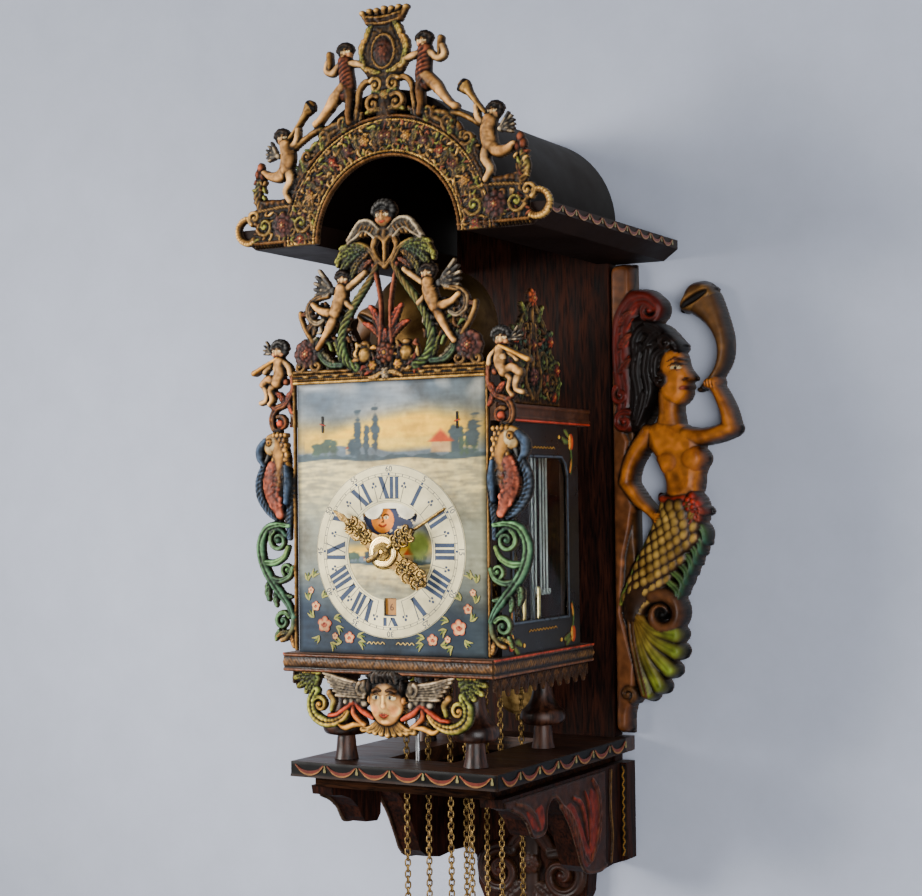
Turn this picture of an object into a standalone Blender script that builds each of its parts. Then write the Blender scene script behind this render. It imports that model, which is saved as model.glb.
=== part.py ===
"""Wall clock on a bracket: painted dial, moon phase, striking bell, chains and carved figures.

Metres, +Z up. The rear face of the back board lies in Y = 0, the front looks along -Y, and the
origin is on that face, on the centre line, level with the top of the shelf.
"""
import math

import bmesh
import bpy
from mathutils import Euler, Vector

# Running and seating clearances
GAP = 0.0003
PIVOT_GAP = 0.0004

# Bracket: back boards, shelf and consoles
BACK_HALF = 0.0905
BACK_T = 0.018
SHELF_HALF = 0.1035
SHELF_SET = 0.007
SHELF_EDGE = 0.0137
SHELF_COVE = 0.010
COVE_INSET = 0.015
SLOT_HALF = 0.034
SLOT_FRONT_SET = 0.0135
SLOT_REAR_SET = 0.0185
LOWER_T = 0.020
LOWER_DROP = 0.1165
PENDANT_H = 0.0785
CONSOLE_T = 0.022
CONSOLE_INSET = 0.0065
MERMAID_T = 0.022
MERMAID_FOOT = 0.0292
NAIL_R = 0.004

# Canopy: eaves, vault and cast crest
HEADROOM = 0.1468
EAVES_T = 0.019
EAVES_HALF = 0.1415
EAVES_FLARE = 0.0145
EAVES_REST = 0.0065
CANOPY_SET = 0.005
VAULT_R = 0.091
VAULT_T = 0.0065
VAULT_LEG = 0.0195
CREST_T = 0.0082
CREST_SET = 0.0075

# Case: feet, base, posts, top, dial and doors
FOOT_H = 0.080
FOOT_RIM = 0.021
FOOT_SET = 0.039
FOOT_REAR_SET = 0.019
FOOT_REAR_IN = 0.003
BASE_T = 0.0163
BASE_LIP = 0.0035
BASE_FRONT_LIP = 0.009
CASE_HALF = 0.1015
CASE_STANDOFF = 0.098
CASE_DEPTH = 0.182
CASE_H = 0.2006
POST = 0.010
POST_SET = 0.0045
TOP_T = 0.0155
TOP_LIP = 0.003
DIAL_SET = 0.006
DIAL_H = 0.239
DIAL_T = 0.002
DOOR_T = 0.004
DOOR_FRONT_SET = 0.012
DOOR_REAR_SET = 0.0175
DOOR_PIN_R = 0.0012
DOOR_PIN_L = 0.004
STILE_FRONT = 0.019
STILE_REAR = 0.0235
RAIL_LOW = 0.0265
RAIL_HIGH = 0.0281
WINDOW_CHAMFER = 0.018
GLASS_T = 0.002
CAST_T = 0.0042
STRIP_SHORT = 0.002
APRON_IN = 0.006
SIDE_CREST_IN = 0.017
FRINGE_ROOT = 0.004
FRINGE_DROP = 0.0155

# Dial work
HUB_RISE = 0.0899
HOUR_TIP = 0.0634
HOUR_TAIL = 0.0507
MINUTE_TIP = 0.0742
MINUTE_TAIL = 0.016
HAND_T = 0.0015
ALARM_R = 0.0135
MOON_R = 0.031
MOON_CLEAR = 0.0055
MOON_OPEN_HALF = 0.028
DATE_IN = 0.0410
DATE_W = 0.015
DATE_OPEN_HALF = 0.006
DATE_OPEN_H = 0.0145
LEAF_T = 0.001
REST_MINUTES = 10
REST_HOURS = 10

# Movement: bars, arbors and wheels, with tooth counts
BAR_T = 0.005
BAR_HALF = 0.011
DIAL_SPACE = 0.018
GOING_SPACE = 0.061
STRIKE_SPACE = 0.051
ARBOR_R = 0.0025
PIVOT_R = 0.0014
MINUTE_R = 0.0018
PIPE_WALL = 0.0014
WHEEL_T = 0.002
PINION_T = 0.006
GREAT_TEETH = 48
CENTRE_LEAVES = 8
GREAT_MODULE = 0.0011
CENTRE_TEETH = 48
ESCAPE_LEAVES = 8
CENTRE_MODULE = 0.0008
ESCAPE_TEETH = 24
ESCAPE_R = 0.0175
CANNON_TEETH = 8
MOTION_TEETH = 24
MOTION_LEAVES = 8
HOUR_TEETH = 32
MOTION_CENTRES = 0.025
ANCHOR_CLEAR = 0.0101
CRUTCH_L = 0.070
CHAIN_RISE = 0.0384
STRIKE_PINS = 8
STUD_R = 0.003

# Chains: two endless loops, each over two chain wheels
CHAIN_R = 0.003
GOING_R = 0.0228
STRIKE_R = 0.0222
ALARM_CHAIN_R = 0.0187
IDLER_R = 0.0195
MIDDLE_CHAIN_SET = 0.019
ALARM_CHAIN_SET = 0.032
IDLER_CHAIN_SET = 0.0415
SPROCKET_T = 0.009
PULLEY_Z = -0.200
RING_Z = -0.150
WEIGHT_R = 0.020
WEIGHT_L = 0.100
RING_R = 0.004
RING_MAJOR = 0.0125

# Pendulum, bell and hammer
PENDULUM_SET = 0.050
BOB_CLEAR = 0.021
BOB_R = 0.0215
BOB_T = 0.012
ROD_R = 0.0015
BELL_SET = 0.011
BELL_R = 0.060
BELL_RISE = 0.0453
BELL_H = 0.080
BELL_T = 0.003
HAMMER_SIDE = 0.020
HAMMER_BACK = 0.030
HAMMER_R = 0.002
HAMMER_LEAN = 0.009
HAMMER_REACH = 0.030
HAMMER_LIFT = 0.009
HAMMER_TAIL = 0.012
STAY_SET = 0.0436
STAY_R = 0.002

# Levels, widths and depths worked out from the sizes above
SHELF_UNDER = -(SHELF_EDGE + SHELF_COVE)
BASE_Z = FOOT_H + GAP
BASE_TOP = BASE_Z + BASE_T
CASE_TOP = BASE_TOP + CASE_H
TOP_Z = CASE_TOP + TOP_T
CANOPY_Z = TOP_Z + HEADROOM
DIAL_Z0 = BASE_TOP + GAP
DOOR_OUT = CASE_HALF
BASE_HALF = CASE_HALF + BASE_LIP
TOP_HALF = CASE_HALF + TOP_LIP
DIAL_HALF = CASE_HALF - DIAL_SET
POST_X = CASE_HALF - DOOR_T - POST_SET - POST / 2
CASE_BACK = -CASE_STANDOFF
DIAL_REAR = CASE_BACK - CASE_DEPTH
DIAL_FRONT = DIAL_REAR - DIAL_T
BASE_FRONT = DIAL_FRONT - BASE_FRONT_LIP
DOOR_FRONT = DIAL_REAR + DOOR_FRONT_SET
DOOR_REAR = CASE_BACK - DOOR_REAR_SET
SHELF_DEPTH = -BASE_FRONT - SHELF_SET
CANOPY_DEPTH = SHELF_DEPTH - CANOPY_SET
EAVES_INNER = VAULT_R - VAULT_T - EAVES_REST
CREST_ARCH = EAVES_INNER - CREST_SET
FOOT_FRONT = (BASE_HALF - FOOT_SET, BASE_FRONT + FOOT_SET)
FOOT_REAR = (BASE_HALF - FOOT_SET - FOOT_REAR_IN, CASE_BACK - FOOT_REAR_SET)
HUB_Z = BASE_TOP + HUB_RISE
STRIKE_Z = BASE_TOP + CHAIN_RISE
ALARM_Z = STRIKE_Z
FRONT_BAR_Y = DIAL_REAR + DIAL_SPACE
MIDDLE_BAR_Y = FRONT_BAR_Y + GOING_SPACE
REAR_BAR_Y = MIDDLE_BAR_Y + STRIKE_SPACE
GOING_SPROCKET = (GOING_R, MIDDLE_BAR_Y - MIDDLE_CHAIN_SET)
STRIKE_SPROCKET = (STRIKE_R, MIDDLE_BAR_Y + MIDDLE_CHAIN_SET)
ALARM_SPROCKET = (ALARM_CHAIN_R, REAR_BAR_Y + ALARM_CHAIN_SET)
IDLER_SPROCKET = (IDLER_R, ALARM_SPROCKET[1] + IDLER_CHAIN_SET)
SLOT_FRONT = GOING_SPROCKET[1] - SLOT_FRONT_SET
SLOT_REAR = IDLER_SPROCKET[1] + SLOT_REAR_SET
PENDULUM_Y = CASE_BACK + PENDULUM_SET
BOB_Z = BOB_R + BOB_CLEAR
BELL_Y = (DIAL_REAR + CASE_BACK) / 2 - BELL_SET
BELL_RIM_Z = TOP_Z + BELL_RISE
BELL_TOP_Z = BELL_RIM_Z + BELL_H
HAMMER_AT = (BELL_R + HAMMER_SIDE, BELL_Y + HAMMER_BACK)
STAY_Y = DIAL_FRONT + STAY_SET
DATE_OUT = DATE_IN + DATE_W
FRONT_CAST = DIAL_FRONT - GAP - CAST_T
EAVES_TOP = CANOPY_Z + EAVES_T
VAULT_FOOT = EAVES_TOP + GAP
VAULT_SPRING = VAULT_FOOT + VAULT_LEG
CREST_REAR = -(CANOPY_DEPTH + GAP)
GREAT_Z = HUB_Z - GREAT_MODULE * (GREAT_TEETH + CENTRE_LEAVES) / 2
ESCAPE_Z = HUB_Z + CENTRE_MODULE * (CENTRE_TEETH + ESCAPE_LEAVES) / 2
ANCHOR_RISE = ESCAPE_R + ANCHOR_CLEAR
ANCHOR_Z = ESCAPE_Z + ANCHOR_RISE
PIPE_IN = MINUTE_R + GAP
PIPE_OUT = PIPE_IN + PIPE_WALL
MOON_Z = HUB_Z + PIPE_OUT + MOON_R + MOON_CLEAR
DATE_Y = DIAL_REAR + GAP
MOON_Y = DATE_Y + LEAF_T + 2 * GAP
FRONT_BAR_FACE = FRONT_BAR_Y - BAR_T / 2
HOUR_WHEEL_Y = FRONT_BAR_FACE - 0.0078
CANNON_Y = FRONT_BAR_FACE - 0.0038
HOUR_HAND_Y = DIAL_FRONT - 0.0092
ALARM_Y = HOUR_HAND_Y - HAND_T - 2 * GAP
MINUTE_HAND_Y = ALARM_Y - HAND_T - 3 * GAP
HUB_FRONT = MINUTE_HAND_Y - HAND_T - GAP
GREAT_Y = FRONT_BAR_Y + 0.0145
CENTRE_Y = GREAT_Y + 0.015
ESCAPE_Y = MIDDLE_BAR_Y - 0.0095

# Flat colours for the working model
COLOURS = {
    "dark_wood": (0.09, 0.05, 0.03, 0.6, 0.0),
    "carved_wood": (0.42, 0.24, 0.08, 0.5, 0.0),
    "black_paint": (0.03, 0.03, 0.03, 0.4, 0.0),
    "cast_lead": (0.33, 0.24, 0.13, 0.5, 0.3),
    "painted_iron": (0.24, 0.30, 0.34, 0.4, 0.0),
    "iron": (0.22, 0.22, 0.23, 0.45, 1.0),
    "brass": (0.62, 0.45, 0.17, 0.35, 1.0),
    "steel": (0.60, 0.60, 0.60, 0.3, 1.0),
    "bronze": (0.36, 0.24, 0.12, 0.4, 1.0),
    "glass": (0.80, 0.86, 0.86, 0.05, 0.0),
}

for leftover in list(bpy.data.objects):
    bpy.data.objects.remove(leftover, do_unlink=True)

PARTS = bpy.data.collections.new("bracket_clock")
CUTTERS = bpy.data.collections.new("cutters")
bpy.context.scene.collection.children.link(PARTS)
bpy.context.scene.collection.children.link(CUTTERS)


def material(kind):
    """One Principled material per kind of surface."""
    found = bpy.data.materials.get(kind)
    if found:
        return found
    red, green, blue, rough, metal = COLOURS[kind]
    made = bpy.data.materials.new(kind)
    made.use_nodes = True
    shader = made.node_tree.nodes["Principled BSDF"]
    shader.inputs["Base Color"].default_value = (red, green, blue, 1.0)
    shader.inputs["Roughness"].default_value = rough
    shader.inputs["Metallic"].default_value = metal
    return made


def place(obj, kind):
    """Put a finished piece in the parts collection, smooth, with its material."""
    PARTS.objects.link(obj)
    obj.data.materials.clear()
    obj.data.materials.append(material(kind))
    obj.data.shade_smooth()
    obj.data.set_sharp_from_angle(angle=math.radians(35))
    return obj


def mesh_object(name, mesh, matrix=None):
    obj = bpy.data.objects.new(name, mesh)
    if matrix is not None:
        obj.matrix_world = matrix
    return obj


def baked(source, name):
    """The evaluated mesh of a curve or a modified object, welded, as a new loose object."""
    bpy.context.scene.collection.objects.link(source)
    bpy.context.view_layer.update()
    graph = bpy.context.evaluated_depsgraph_get()
    mesh = bpy.data.meshes.new_from_object(source.evaluated_get(graph))
    mesh.transform(source.matrix_world)
    shape = bmesh.new()
    shape.from_mesh(mesh)
    bmesh.ops.remove_doubles(shape, verts=shape.verts, dist=1e-6)
    bmesh.ops.recalc_face_normals(shape, faces=shape.faces)
    shape.to_mesh(mesh)
    shape.free()
    bpy.data.objects.remove(source, do_unlink=True)
    mesh.name = name
    return mesh_object(name, mesh)


def box(name, low, high):
    """A block between two corners."""
    shape = bmesh.new()
    bmesh.ops.create_cube(shape, size=1.0)
    size = Vector(high) - Vector(low)
    middle = (Vector(high) + Vector(low)) / 2
    bmesh.ops.scale(shape, vec=size, verts=shape.verts)
    bmesh.ops.translate(shape, vec=middle, verts=shape.verts)
    mesh = bpy.data.meshes.new(name)
    shape.to_mesh(mesh)
    shape.free()
    return mesh_object(name, mesh)


def rod(name, start, end, radius, sides=16):
    """A straight round bar between two points."""
    start = Vector(start)
    end = Vector(end)
    shape = bmesh.new()
    bmesh.ops.create_cone(shape, cap_ends=True, segments=sides, radius1=radius, radius2=radius,
                          depth=(end - start).length)
    turn = (end - start).to_track_quat("Z", "Y").to_matrix().to_4x4()
    bmesh.ops.transform(shape, matrix=turn, verts=shape.verts)
    bmesh.ops.translate(shape, vec=(start + end) / 2, verts=shape.verts)
    mesh = bpy.data.meshes.new(name)
    shape.to_mesh(mesh)
    shape.free()
    return mesh_object(name, mesh)


# Turns that lay a flat outline into the plane it is drawn for
FACING = {
    "xz": Euler((math.pi / 2, 0.0, 0.0)),
    "yz": Euler((math.pi / 2, 0.0, math.pi / 2)),
    "xy": Euler((0.0, 0.0, 0.0)),
}


def plate(name, outline, plane, low, high, holes=(), smooth=0):
    """A flat outline with holes, extruded from low to high across its plane.

    smooth is the number of steps between points of a smooth outline, or 0 for straight runs.
    """
    flat = bpy.data.curves.new(name, "CURVE")
    flat.dimensions = "2D"
    flat.fill_mode = "BOTH"
    flat.extrude = (high - low) / 2
    for ring, steps in [(outline, smooth)] + [(hole, 0) for hole in holes]:
        if steps:
            spline = flat.splines.new("BEZIER")
            spline.bezier_points.add(len(ring) - 1)
            spline.resolution_u = steps
            for point, (u, v) in zip(spline.bezier_points, ring):
                point.co = (u, v, 0.0)
                point.handle_left_type = "AUTO"
                point.handle_right_type = "AUTO"
        else:
            spline = flat.splines.new("POLY")
            spline.points.add(len(ring) - 1)
            for point, (u, v) in zip(spline.points, ring):
                point.co = (u, v, 0.0, 1.0)
        spline.use_cyclic_u = True
    drawn = bpy.data.objects.new(name, flat)
    drawn.rotation_euler = FACING[plane]
    middle = (low + high) / 2
    places = {"xz": (0.0, middle, 0.0), "yz": (middle, 0.0, 0.0), "xy": (0.0, 0.0, middle)}
    drawn.location = places[plane]
    return baked(drawn, name)


def turned(name, profile, at, axis="z", sides=24):
    """A profile of (radius, height) points, top to bottom, turned about an axis through at."""
    mesh = bpy.data.meshes.new(name)
    edges = [(i, i + 1) for i in range(len(profile) - 1)]
    mesh.from_pydata([(r, 0.0, h) for r, h in profile], edges, [])
    spun = bpy.data.objects.new(name, mesh)
    screw = spun.modifiers.new("turn", "SCREW")
    screw.steps = sides
    screw.render_steps = sides
    screw.use_merge_vertices = True
    screw.merge_threshold = 0.00001
    turns = {"z": (0.0, 0.0, 0.0), "y": (math.pi / 2, 0.0, 0.0), "x": (0.0, math.pi / 2, 0.0)}
    spun.rotation_euler = turns[axis]
    spun.location = at
    return baked(spun, name)


def boolean(obj, other, operation):
    """Join or cut with another loose object, which is kept as a hidden cutter."""
    CUTTERS.objects.link(other)
    other.name = obj.name + "_" + operation.lower()
    other.hide_render = True
    other.display_type = "WIRE"
    step = obj.modifiers.new(operation.lower(), "BOOLEAN")
    step.operation = operation
    step.solver = "EXACT"
    step.object = other
    return obj


def joined(obj, *others):
    for other in others:
        boolean(obj, other, "UNION")
    return obj


def cut(obj, *others):
    for other in others:
        boolean(obj, other, "DIFFERENCE")
    return obj


def mirrored(half):
    """A closed outline from its right half, which starts and ends on the centre line."""
    return list(half) + [(-u, v) for u, v in reversed(half[1:-1])]


def arc(centre, radius, start, end, steps):
    """Points on a circle, angles in degrees."""
    points = []
    for step in range(steps + 1):
        angle = math.radians(start + (end - start) * step / steps)
        points.append((centre[0] + radius * math.cos(angle), centre[1] + radius * math.sin(angle)))
    return points


def circle(centre, radius, sides=16):
    return arc(centre, radius, 0, 360, sides)[:-1]


def shifted(points, du, dv):
    return [(u + du, v + dv) for u, v in points]


def stretched(points, across, up):
    return [(u * across, v * up) for u, v in points]


def flipped(points):
    return [(-u, v) for u, v in points]


def gear(teeth, module, phase, centre):
    """Straight-sided clock teeth, thin enough to run free, the first one at phase degrees."""
    radius = module * teeth / 2
    pitch = 2 * math.pi / teeth
    points = []
    for tooth in range(teeth):
        middle = math.radians(phase) + tooth * pitch
        for reach, share in ((-1.25, -0.26), (0.9, -0.10), (0.9, 0.10), (-1.25, 0.26)):
            angle = middle + share * pitch
            length = radius + reach * module
            points.append((centre[0] + length * math.cos(angle), centre[1] + length * math.sin(angle)))
    return points


def wheel(name, outline, middle, thick):
    """A flat wheel across Y with its middle plane at middle."""
    return plate(name, outline, "xz", middle - thick / 2, middle + thick / 2)


def arbor(name, x, z, runs):
    """A stepped shaft along Y from (y, radius) runs, front to back, each run ending at its y."""
    front = runs[0][0]
    profile = [(0.0, -front)]
    for (start, _), (end, radius) in zip(runs, runs[1:]):
        profile += [(radius, -start), (radius, -end)]
    profile.append((0.0, -runs[-1][0]))
    return turned(name, profile, (x, 0.0, z), "y", 12)


def groove(radius):
    """Outer profile of a chain wheel whose chain runs at the given radius, about its middle plane."""
    root = radius - CHAIN_R - GAP
    lip = radius + 0.4 * CHAIN_R
    half = SPROCKET_T / 2
    return [(lip, half), (lip, half * 0.8), (root, half * 0.72), (root, -half * 0.72),
            (lip, -half * 0.8), (lip, -half)]


def sprocket(name, radius, y, z):
    """A grooved chain wheel whose chain runs at the given radius."""
    half = SPROCKET_T / 2
    return turned(name, [(0.0, half)] + groove(radius) + [(0.0, -half)], (0.0, y, z), "y", 20)


# Bracket
def back_board():
    """Tall board that hangs on the wall, shouldered to pass between the eaves into the vault."""
    inner = VAULT_R - VAULT_T - GAP
    neck = EAVES_INNER - GAP
    rise = math.degrees(math.acos(neck / inner))
    shoulder = CANOPY_Z - GAP
    half = [(0.0, SHELF_UNDER), (BACK_HALF, SHELF_UNDER), (BACK_HALF, shoulder), (neck, shoulder)]
    half += arc((0.0, VAULT_SPRING), inner, rise, 90, 8)
    board = plate("back_board", mirrored(half), "xz", -BACK_T, 0.0,
                  holes=[circle((0.0, VAULT_SPRING + inner * 0.6), NAIL_R)])
    return place(board, "dark_wood")


def lower_back_board():
    """Board under the shelf, with a scalloped foot and a carved scroll pendant."""
    top = SHELF_UNDER - GAP
    lobe = -LOWER_DROP
    tip = lobe - PENDANT_H
    half = [(0.0, top), (SHELF_HALF, top), (SHELF_HALF, lobe), (0.086, lobe - 0.006),
            (0.070, lobe - 0.001), (0.062, lobe - 0.010), (0.060, tip + 0.042), (0.052, tip + 0.024),
            (0.036, tip + 0.017), (0.024, tip + 0.022), (0.014, tip + 0.008), (0.0, tip)]
    return place(plate("lower_back_board", mirrored(half), "xz", -LOWER_T, 0.0), "dark_wood")


def shelf():
    """Seat board with a cove under its edge, a slot for the chains and a notch for the back board."""
    seat = box("seat_shelf", (-SHELF_HALF, -SHELF_DEPTH, -SHELF_EDGE), (SHELF_HALF, 0.0, 0.0))
    inner = SHELF_HALF - COVE_INSET
    cove_front = -SHELF_DEPTH + COVE_INSET
    cove = box("cove", (-inner, cove_front, SHELF_UNDER), (inner, 0.0, -SHELF_EDGE + 0.002))
    slot = box("slot", (-SLOT_HALF, SLOT_FRONT, SHELF_UNDER - 0.01), (SLOT_HALF, SLOT_REAR, 0.01))
    notch = BACK_HALF + GAP
    back = box("notch", (-notch, -BACK_T - GAP, SHELF_UNDER - 0.01), (notch, 0.01, 0.01))
    return place(cut(joined(seat, cove), slot, back), "dark_wood")


def console(name, side):
    """Fretted side bracket: a short front leg, hollowed towards the front, and a large rear leg."""
    top = SHELF_UNDER - GAP
    foot = -LOWER_DROP
    back = -LOWER_T - GAP
    front = -SHELF_DEPTH + 0.021
    outline = [(front, top), (front + 0.002, top - 0.008), (front + 0.016, top - 0.010),
               (front + 0.031, top - 0.015), (front + 0.043, top - 0.024), (front + 0.051, top - 0.035),
               (front + 0.056, top - 0.040), (front + 0.076, top - 0.042), (front + 0.082, top - 0.036),
               (front + 0.083, top - 0.020), (front + 0.089, top - 0.011), (front + 0.098, top - 0.010),
               (front + 0.109, top - 0.017), (front + 0.123, top - 0.032), (front + 0.136, top - 0.050),
               (front + 0.146, top - 0.068), (front + 0.154, foot + 0.009), (front + 0.168, foot + 0.001),
               (front + 0.191, foot - 0.003), (back, foot), (back, top)]
    outer = SHELF_HALF - CONSOLE_INSET
    low = outer - CONSOLE_T if side > 0 else -outer
    return place(plate(name, outline, "yz", low, low + CONSOLE_T), "dark_wood")


# Carved figure seen from the front, right-hand side, from the board's edge and the eaves down
MERMAID = [(0.0000, 0.430), (0.0000, 0.003), (0.016, 0.004), (0.030, 0.003), (0.043, 0.009),
           (0.056, 0.013), (0.067, 0.034), (0.073, 0.052), (0.073, 0.070), (0.062, 0.082),
           (0.068, 0.095), (0.066, 0.106), (0.079, 0.118), (0.091, 0.134), (0.097, 0.156),
           (0.091, 0.184), (0.087, 0.205), (0.092, 0.222), (0.099, 0.237), (0.098, 0.246),
           (0.113, 0.252), (0.131, 0.264), (0.126, 0.284), (0.119, 0.302), (0.117, 0.318),
           (0.121, 0.334), (0.117, 0.350), (0.112, 0.374), (0.107, 0.399), (0.087, 0.386),
           (0.070, 0.378), (0.077, 0.371), (0.086, 0.369), (0.096, 0.352), (0.097, 0.334),
           (0.089, 0.318), (0.087, 0.311), (0.080, 0.324), (0.075, 0.340), (0.062, 0.353),
           (0.057, 0.374), (0.050, 0.392), (0.040, 0.398), (0.030, 0.399), (0.026, 0.430)]


def mermaid(name, side):
    """Carved board beside the back board: a horn blower with a scaled tail on an edge strip."""
    start = BACK_HALF + GAP
    tall = CANOPY_Z - GAP - MERMAID_FOOT
    outline = shifted(stretched(MERMAID, 1.0, tall / MERMAID[0][1]), start, MERMAID_FOOT)
    if side < 0:
        outline = flipped(outline)
    return place(plate(name, outline, "xz", -MERMAID_T, 0.0), "carved_wood")


# Canopy
def eaves(name, side):
    """Eaves board beside the vault with a flared edge."""
    outline = [(EAVES_INNER, CANOPY_Z), (EAVES_HALF, CANOPY_Z),
               (EAVES_HALF + EAVES_FLARE, CANOPY_Z + 0.55 * EAVES_T),
               (EAVES_HALF + EAVES_FLARE, EAVES_TOP), (EAVES_INNER, EAVES_TOP)]
    if side < 0:
        outline = flipped(outline)
    return place(plate(name, outline, "xz", -CANOPY_DEPTH, 0.0), "black_paint")


def vault():
    """Bent half-barrel roof standing on the eaves."""
    centre = (0.0, VAULT_SPRING)
    outline = [(VAULT_R, VAULT_FOOT)] + arc(centre, VAULT_R, 0, 180, 24) + [(-VAULT_R, VAULT_FOOT)]
    inner = VAULT_R - VAULT_T
    outline += [(-inner, VAULT_FOOT)] + arc(centre, inner, 180, 0, 20) + [(inner, VAULT_FOOT)]
    return place(plate("canopy_vault", outline, "xz", -CANOPY_DEPTH, 0.0), "black_paint")


# Right half of the canopy crest above the eaves: scroll, kneeling trumpeter, standing child and crown
CREST = [(0.139, 0.0), (0.152, 0.0005), (0.161, 0.0095), (0.1605, 0.0245), (0.150, 0.0345), (0.137, 0.037),
         (0.134, 0.050), (0.1365, 0.066), (0.129, 0.080), (0.122, 0.092), (0.117, 0.106),
         (0.108, 0.1125), (0.101, 0.107), (0.093, 0.117), (0.087, 0.131), (0.079, 0.1365),
         (0.0755, 0.128), (0.083, 0.113), (0.086, 0.104), (0.078, 0.106), (0.070, 0.1125),
         (0.063, 0.123), (0.057, 0.132), (0.059, 0.141), (0.067, 0.147), (0.068, 0.160),
         (0.062, 0.168), (0.057, 0.159), (0.052, 0.161), (0.0495, 0.171), (0.049, 0.183),
         (0.041, 0.190), (0.033, 0.186), (0.030, 0.172), (0.024, 0.178), (0.0235, 0.186),
         (0.0275, 0.193), (0.0255, 0.2005), (0.016, 0.1985), (0.008, 0.2035)]
CREST_HOLES = (((0.030, 0.131), 0.0075), ((0.052, 0.126), 0.004), ((0.095, 0.086), 0.0065),
               ((0.151, 0.0175), 0.0055))


def canopy_crest():
    """Cast lead crest in front of the vault, around an arched opening."""
    foot_x = EAVES_HALF - 0.0025
    across = foot_x / CREST[0][0]
    drawn = shifted(stretched(CREST, across, 1.0), 0.0, CANOPY_Z)
    half = [(0.0, CANOPY_Z + 0.204)] + drawn[::-1]
    half.append((CREST_ARCH, CANOPY_Z))
    half += arc((0.0, CANOPY_Z), CREST_ARCH, 8, 90, 9)
    holes = []
    for side in (-1, 1):
        for (u, v), radius in CREST_HOLES:
            ring = arc((across * u, CANOPY_Z + v), radius, 0, 320, 8)
            holes.append([(side * x, z) for x, z in ring])
    crest = plate("canopy_crest", mirrored(half), "xz", CREST_REAR - CREST_T, CREST_REAR, holes)
    return place(crest, "cast_lead")


# Case
def foot(name, at):
    """Turned foot: short stem, wide rim and a bell-shaped neck."""
    top = FOOT_H
    profile = [(0.0, top), (0.013, top), (0.013, top - 0.008), (0.009, top - 0.018),
               (0.010, top - 0.030), (0.014, top - 0.039), (FOOT_RIM - 0.002, top - 0.045),
               (FOOT_RIM, top - 0.050), (FOOT_RIM - 0.002, top - 0.056), (0.008, top - 0.058),
               (0.009, top - 0.060), (0.011, GAP), (0.0, GAP)]
    return place(turned(name, profile, (at[0], at[1], 0.0), "z", 16), "dark_wood")


def base_board():
    """Floor of the case with a slot for the chains and bearings for the doors."""
    floor = box("base_board", (-BASE_HALF, BASE_FRONT, BASE_Z), (BASE_HALF, CASE_BACK, BASE_TOP))
    slot_rear = CASE_BACK - 0.006
    slot = box("slot", (-SLOT_HALF, SLOT_FRONT, BASE_Z - 0.01), (SLOT_HALF, slot_rear, BASE_TOP + 0.01))
    bearings = [door_bearing(side, BASE_TOP) for side in (-1, 1)]
    return place(cut(floor, slot, *bearings), "dark_wood")


def door_axis(side):
    """Where a door turns: in its own thickness, near its rear edge."""
    return (side * (DOOR_OUT - DOOR_T / 2), DOOR_REAR - 0.003)


def door_bearing(side, face):
    x, y = door_axis(side)
    depth = DOOR_PIN_L + GAP
    return rod("bearing", (x, y, face - depth), (x, y, face + depth), DOOR_PIN_R + PIVOT_GAP, 12)


def top_board():
    """Roof of the case with bearings for the doors and a hole for the hammer's arbor."""
    roof = box("top_board", (-TOP_HALF, DIAL_REAR + GAP, CASE_TOP), (TOP_HALF, CASE_BACK, TOP_Z))
    x, y = HAMMER_AT
    hole = rod("hole", (x, y, CASE_TOP - 0.01), (x, y, TOP_Z + 0.01), HAMMER_R + PIVOT_GAP, 12)
    bearings = [door_bearing(side, CASE_TOP) for side in (-1, 1)]
    return place(cut(roof, hole, *bearings), "dark_wood")


def post(name, x, front):
    """Square iron corner post between base and top."""
    low = (x - POST / 2, front, BASE_TOP + GAP)
    return place(box(name, low, (x + POST / 2, front + POST, CASE_TOP - GAP)), "iron")


def dial_plate():
    """Painted iron dial with a centre hole, a moon opening and a date window."""
    half = MOON_OPEN_HALF
    high = MOON_Z - 0.0025
    hump = half * 0.36
    moon = [(half, MOON_Z - 0.008)]
    moon += arc((half * 0.62, high), hump, -30, -150, 5)
    moon += [(0.0, high)]
    moon += arc((-half * 0.62, high), hump, -30, -150, 5)
    moon += [(-half, MOON_Z - 0.008)]
    moon += arc((0.0, MOON_Z), MOON_R - 0.0005, 200, 340, 12)
    wide = DATE_OPEN_HALF
    low = HUB_Z - DATE_OUT + 0.001
    date = [(-wide, low), (wide, low), (wide, low + DATE_OPEN_H), (-wide, low + DATE_OPEN_H)]
    centre = circle((0.0, HUB_Z), PIPE_OUT + PIVOT_GAP)
    outline = [(-DIAL_HALF, DIAL_Z0), (DIAL_HALF, DIAL_Z0), (DIAL_HALF, DIAL_Z0 + DIAL_H),
               (-DIAL_HALF, DIAL_Z0 + DIAL_H)]
    dial = plate("dial_plate", outline, "xz", DIAL_FRONT, DIAL_REAR, [moon, date, centre])
    return place(dial, "painted_iron")


def window(grow):
    """Door window with cut upper corners, grown outward by a margin."""
    front = DOOR_FRONT + STILE_FRONT - grow
    rear = DOOR_REAR - STILE_REAR + grow
    low = BASE_TOP + RAIL_LOW - grow
    high = CASE_TOP - RAIL_HIGH + grow
    chop = WINDOW_CHAMFER
    bow = 0.35 * chop
    return [(front, low), (rear, low), (rear, high - chop), (rear - bow, high - bow),
            (rear - chop, high), (front + chop, high), (front + bow, high - bow), (front, high - chop)]


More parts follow.
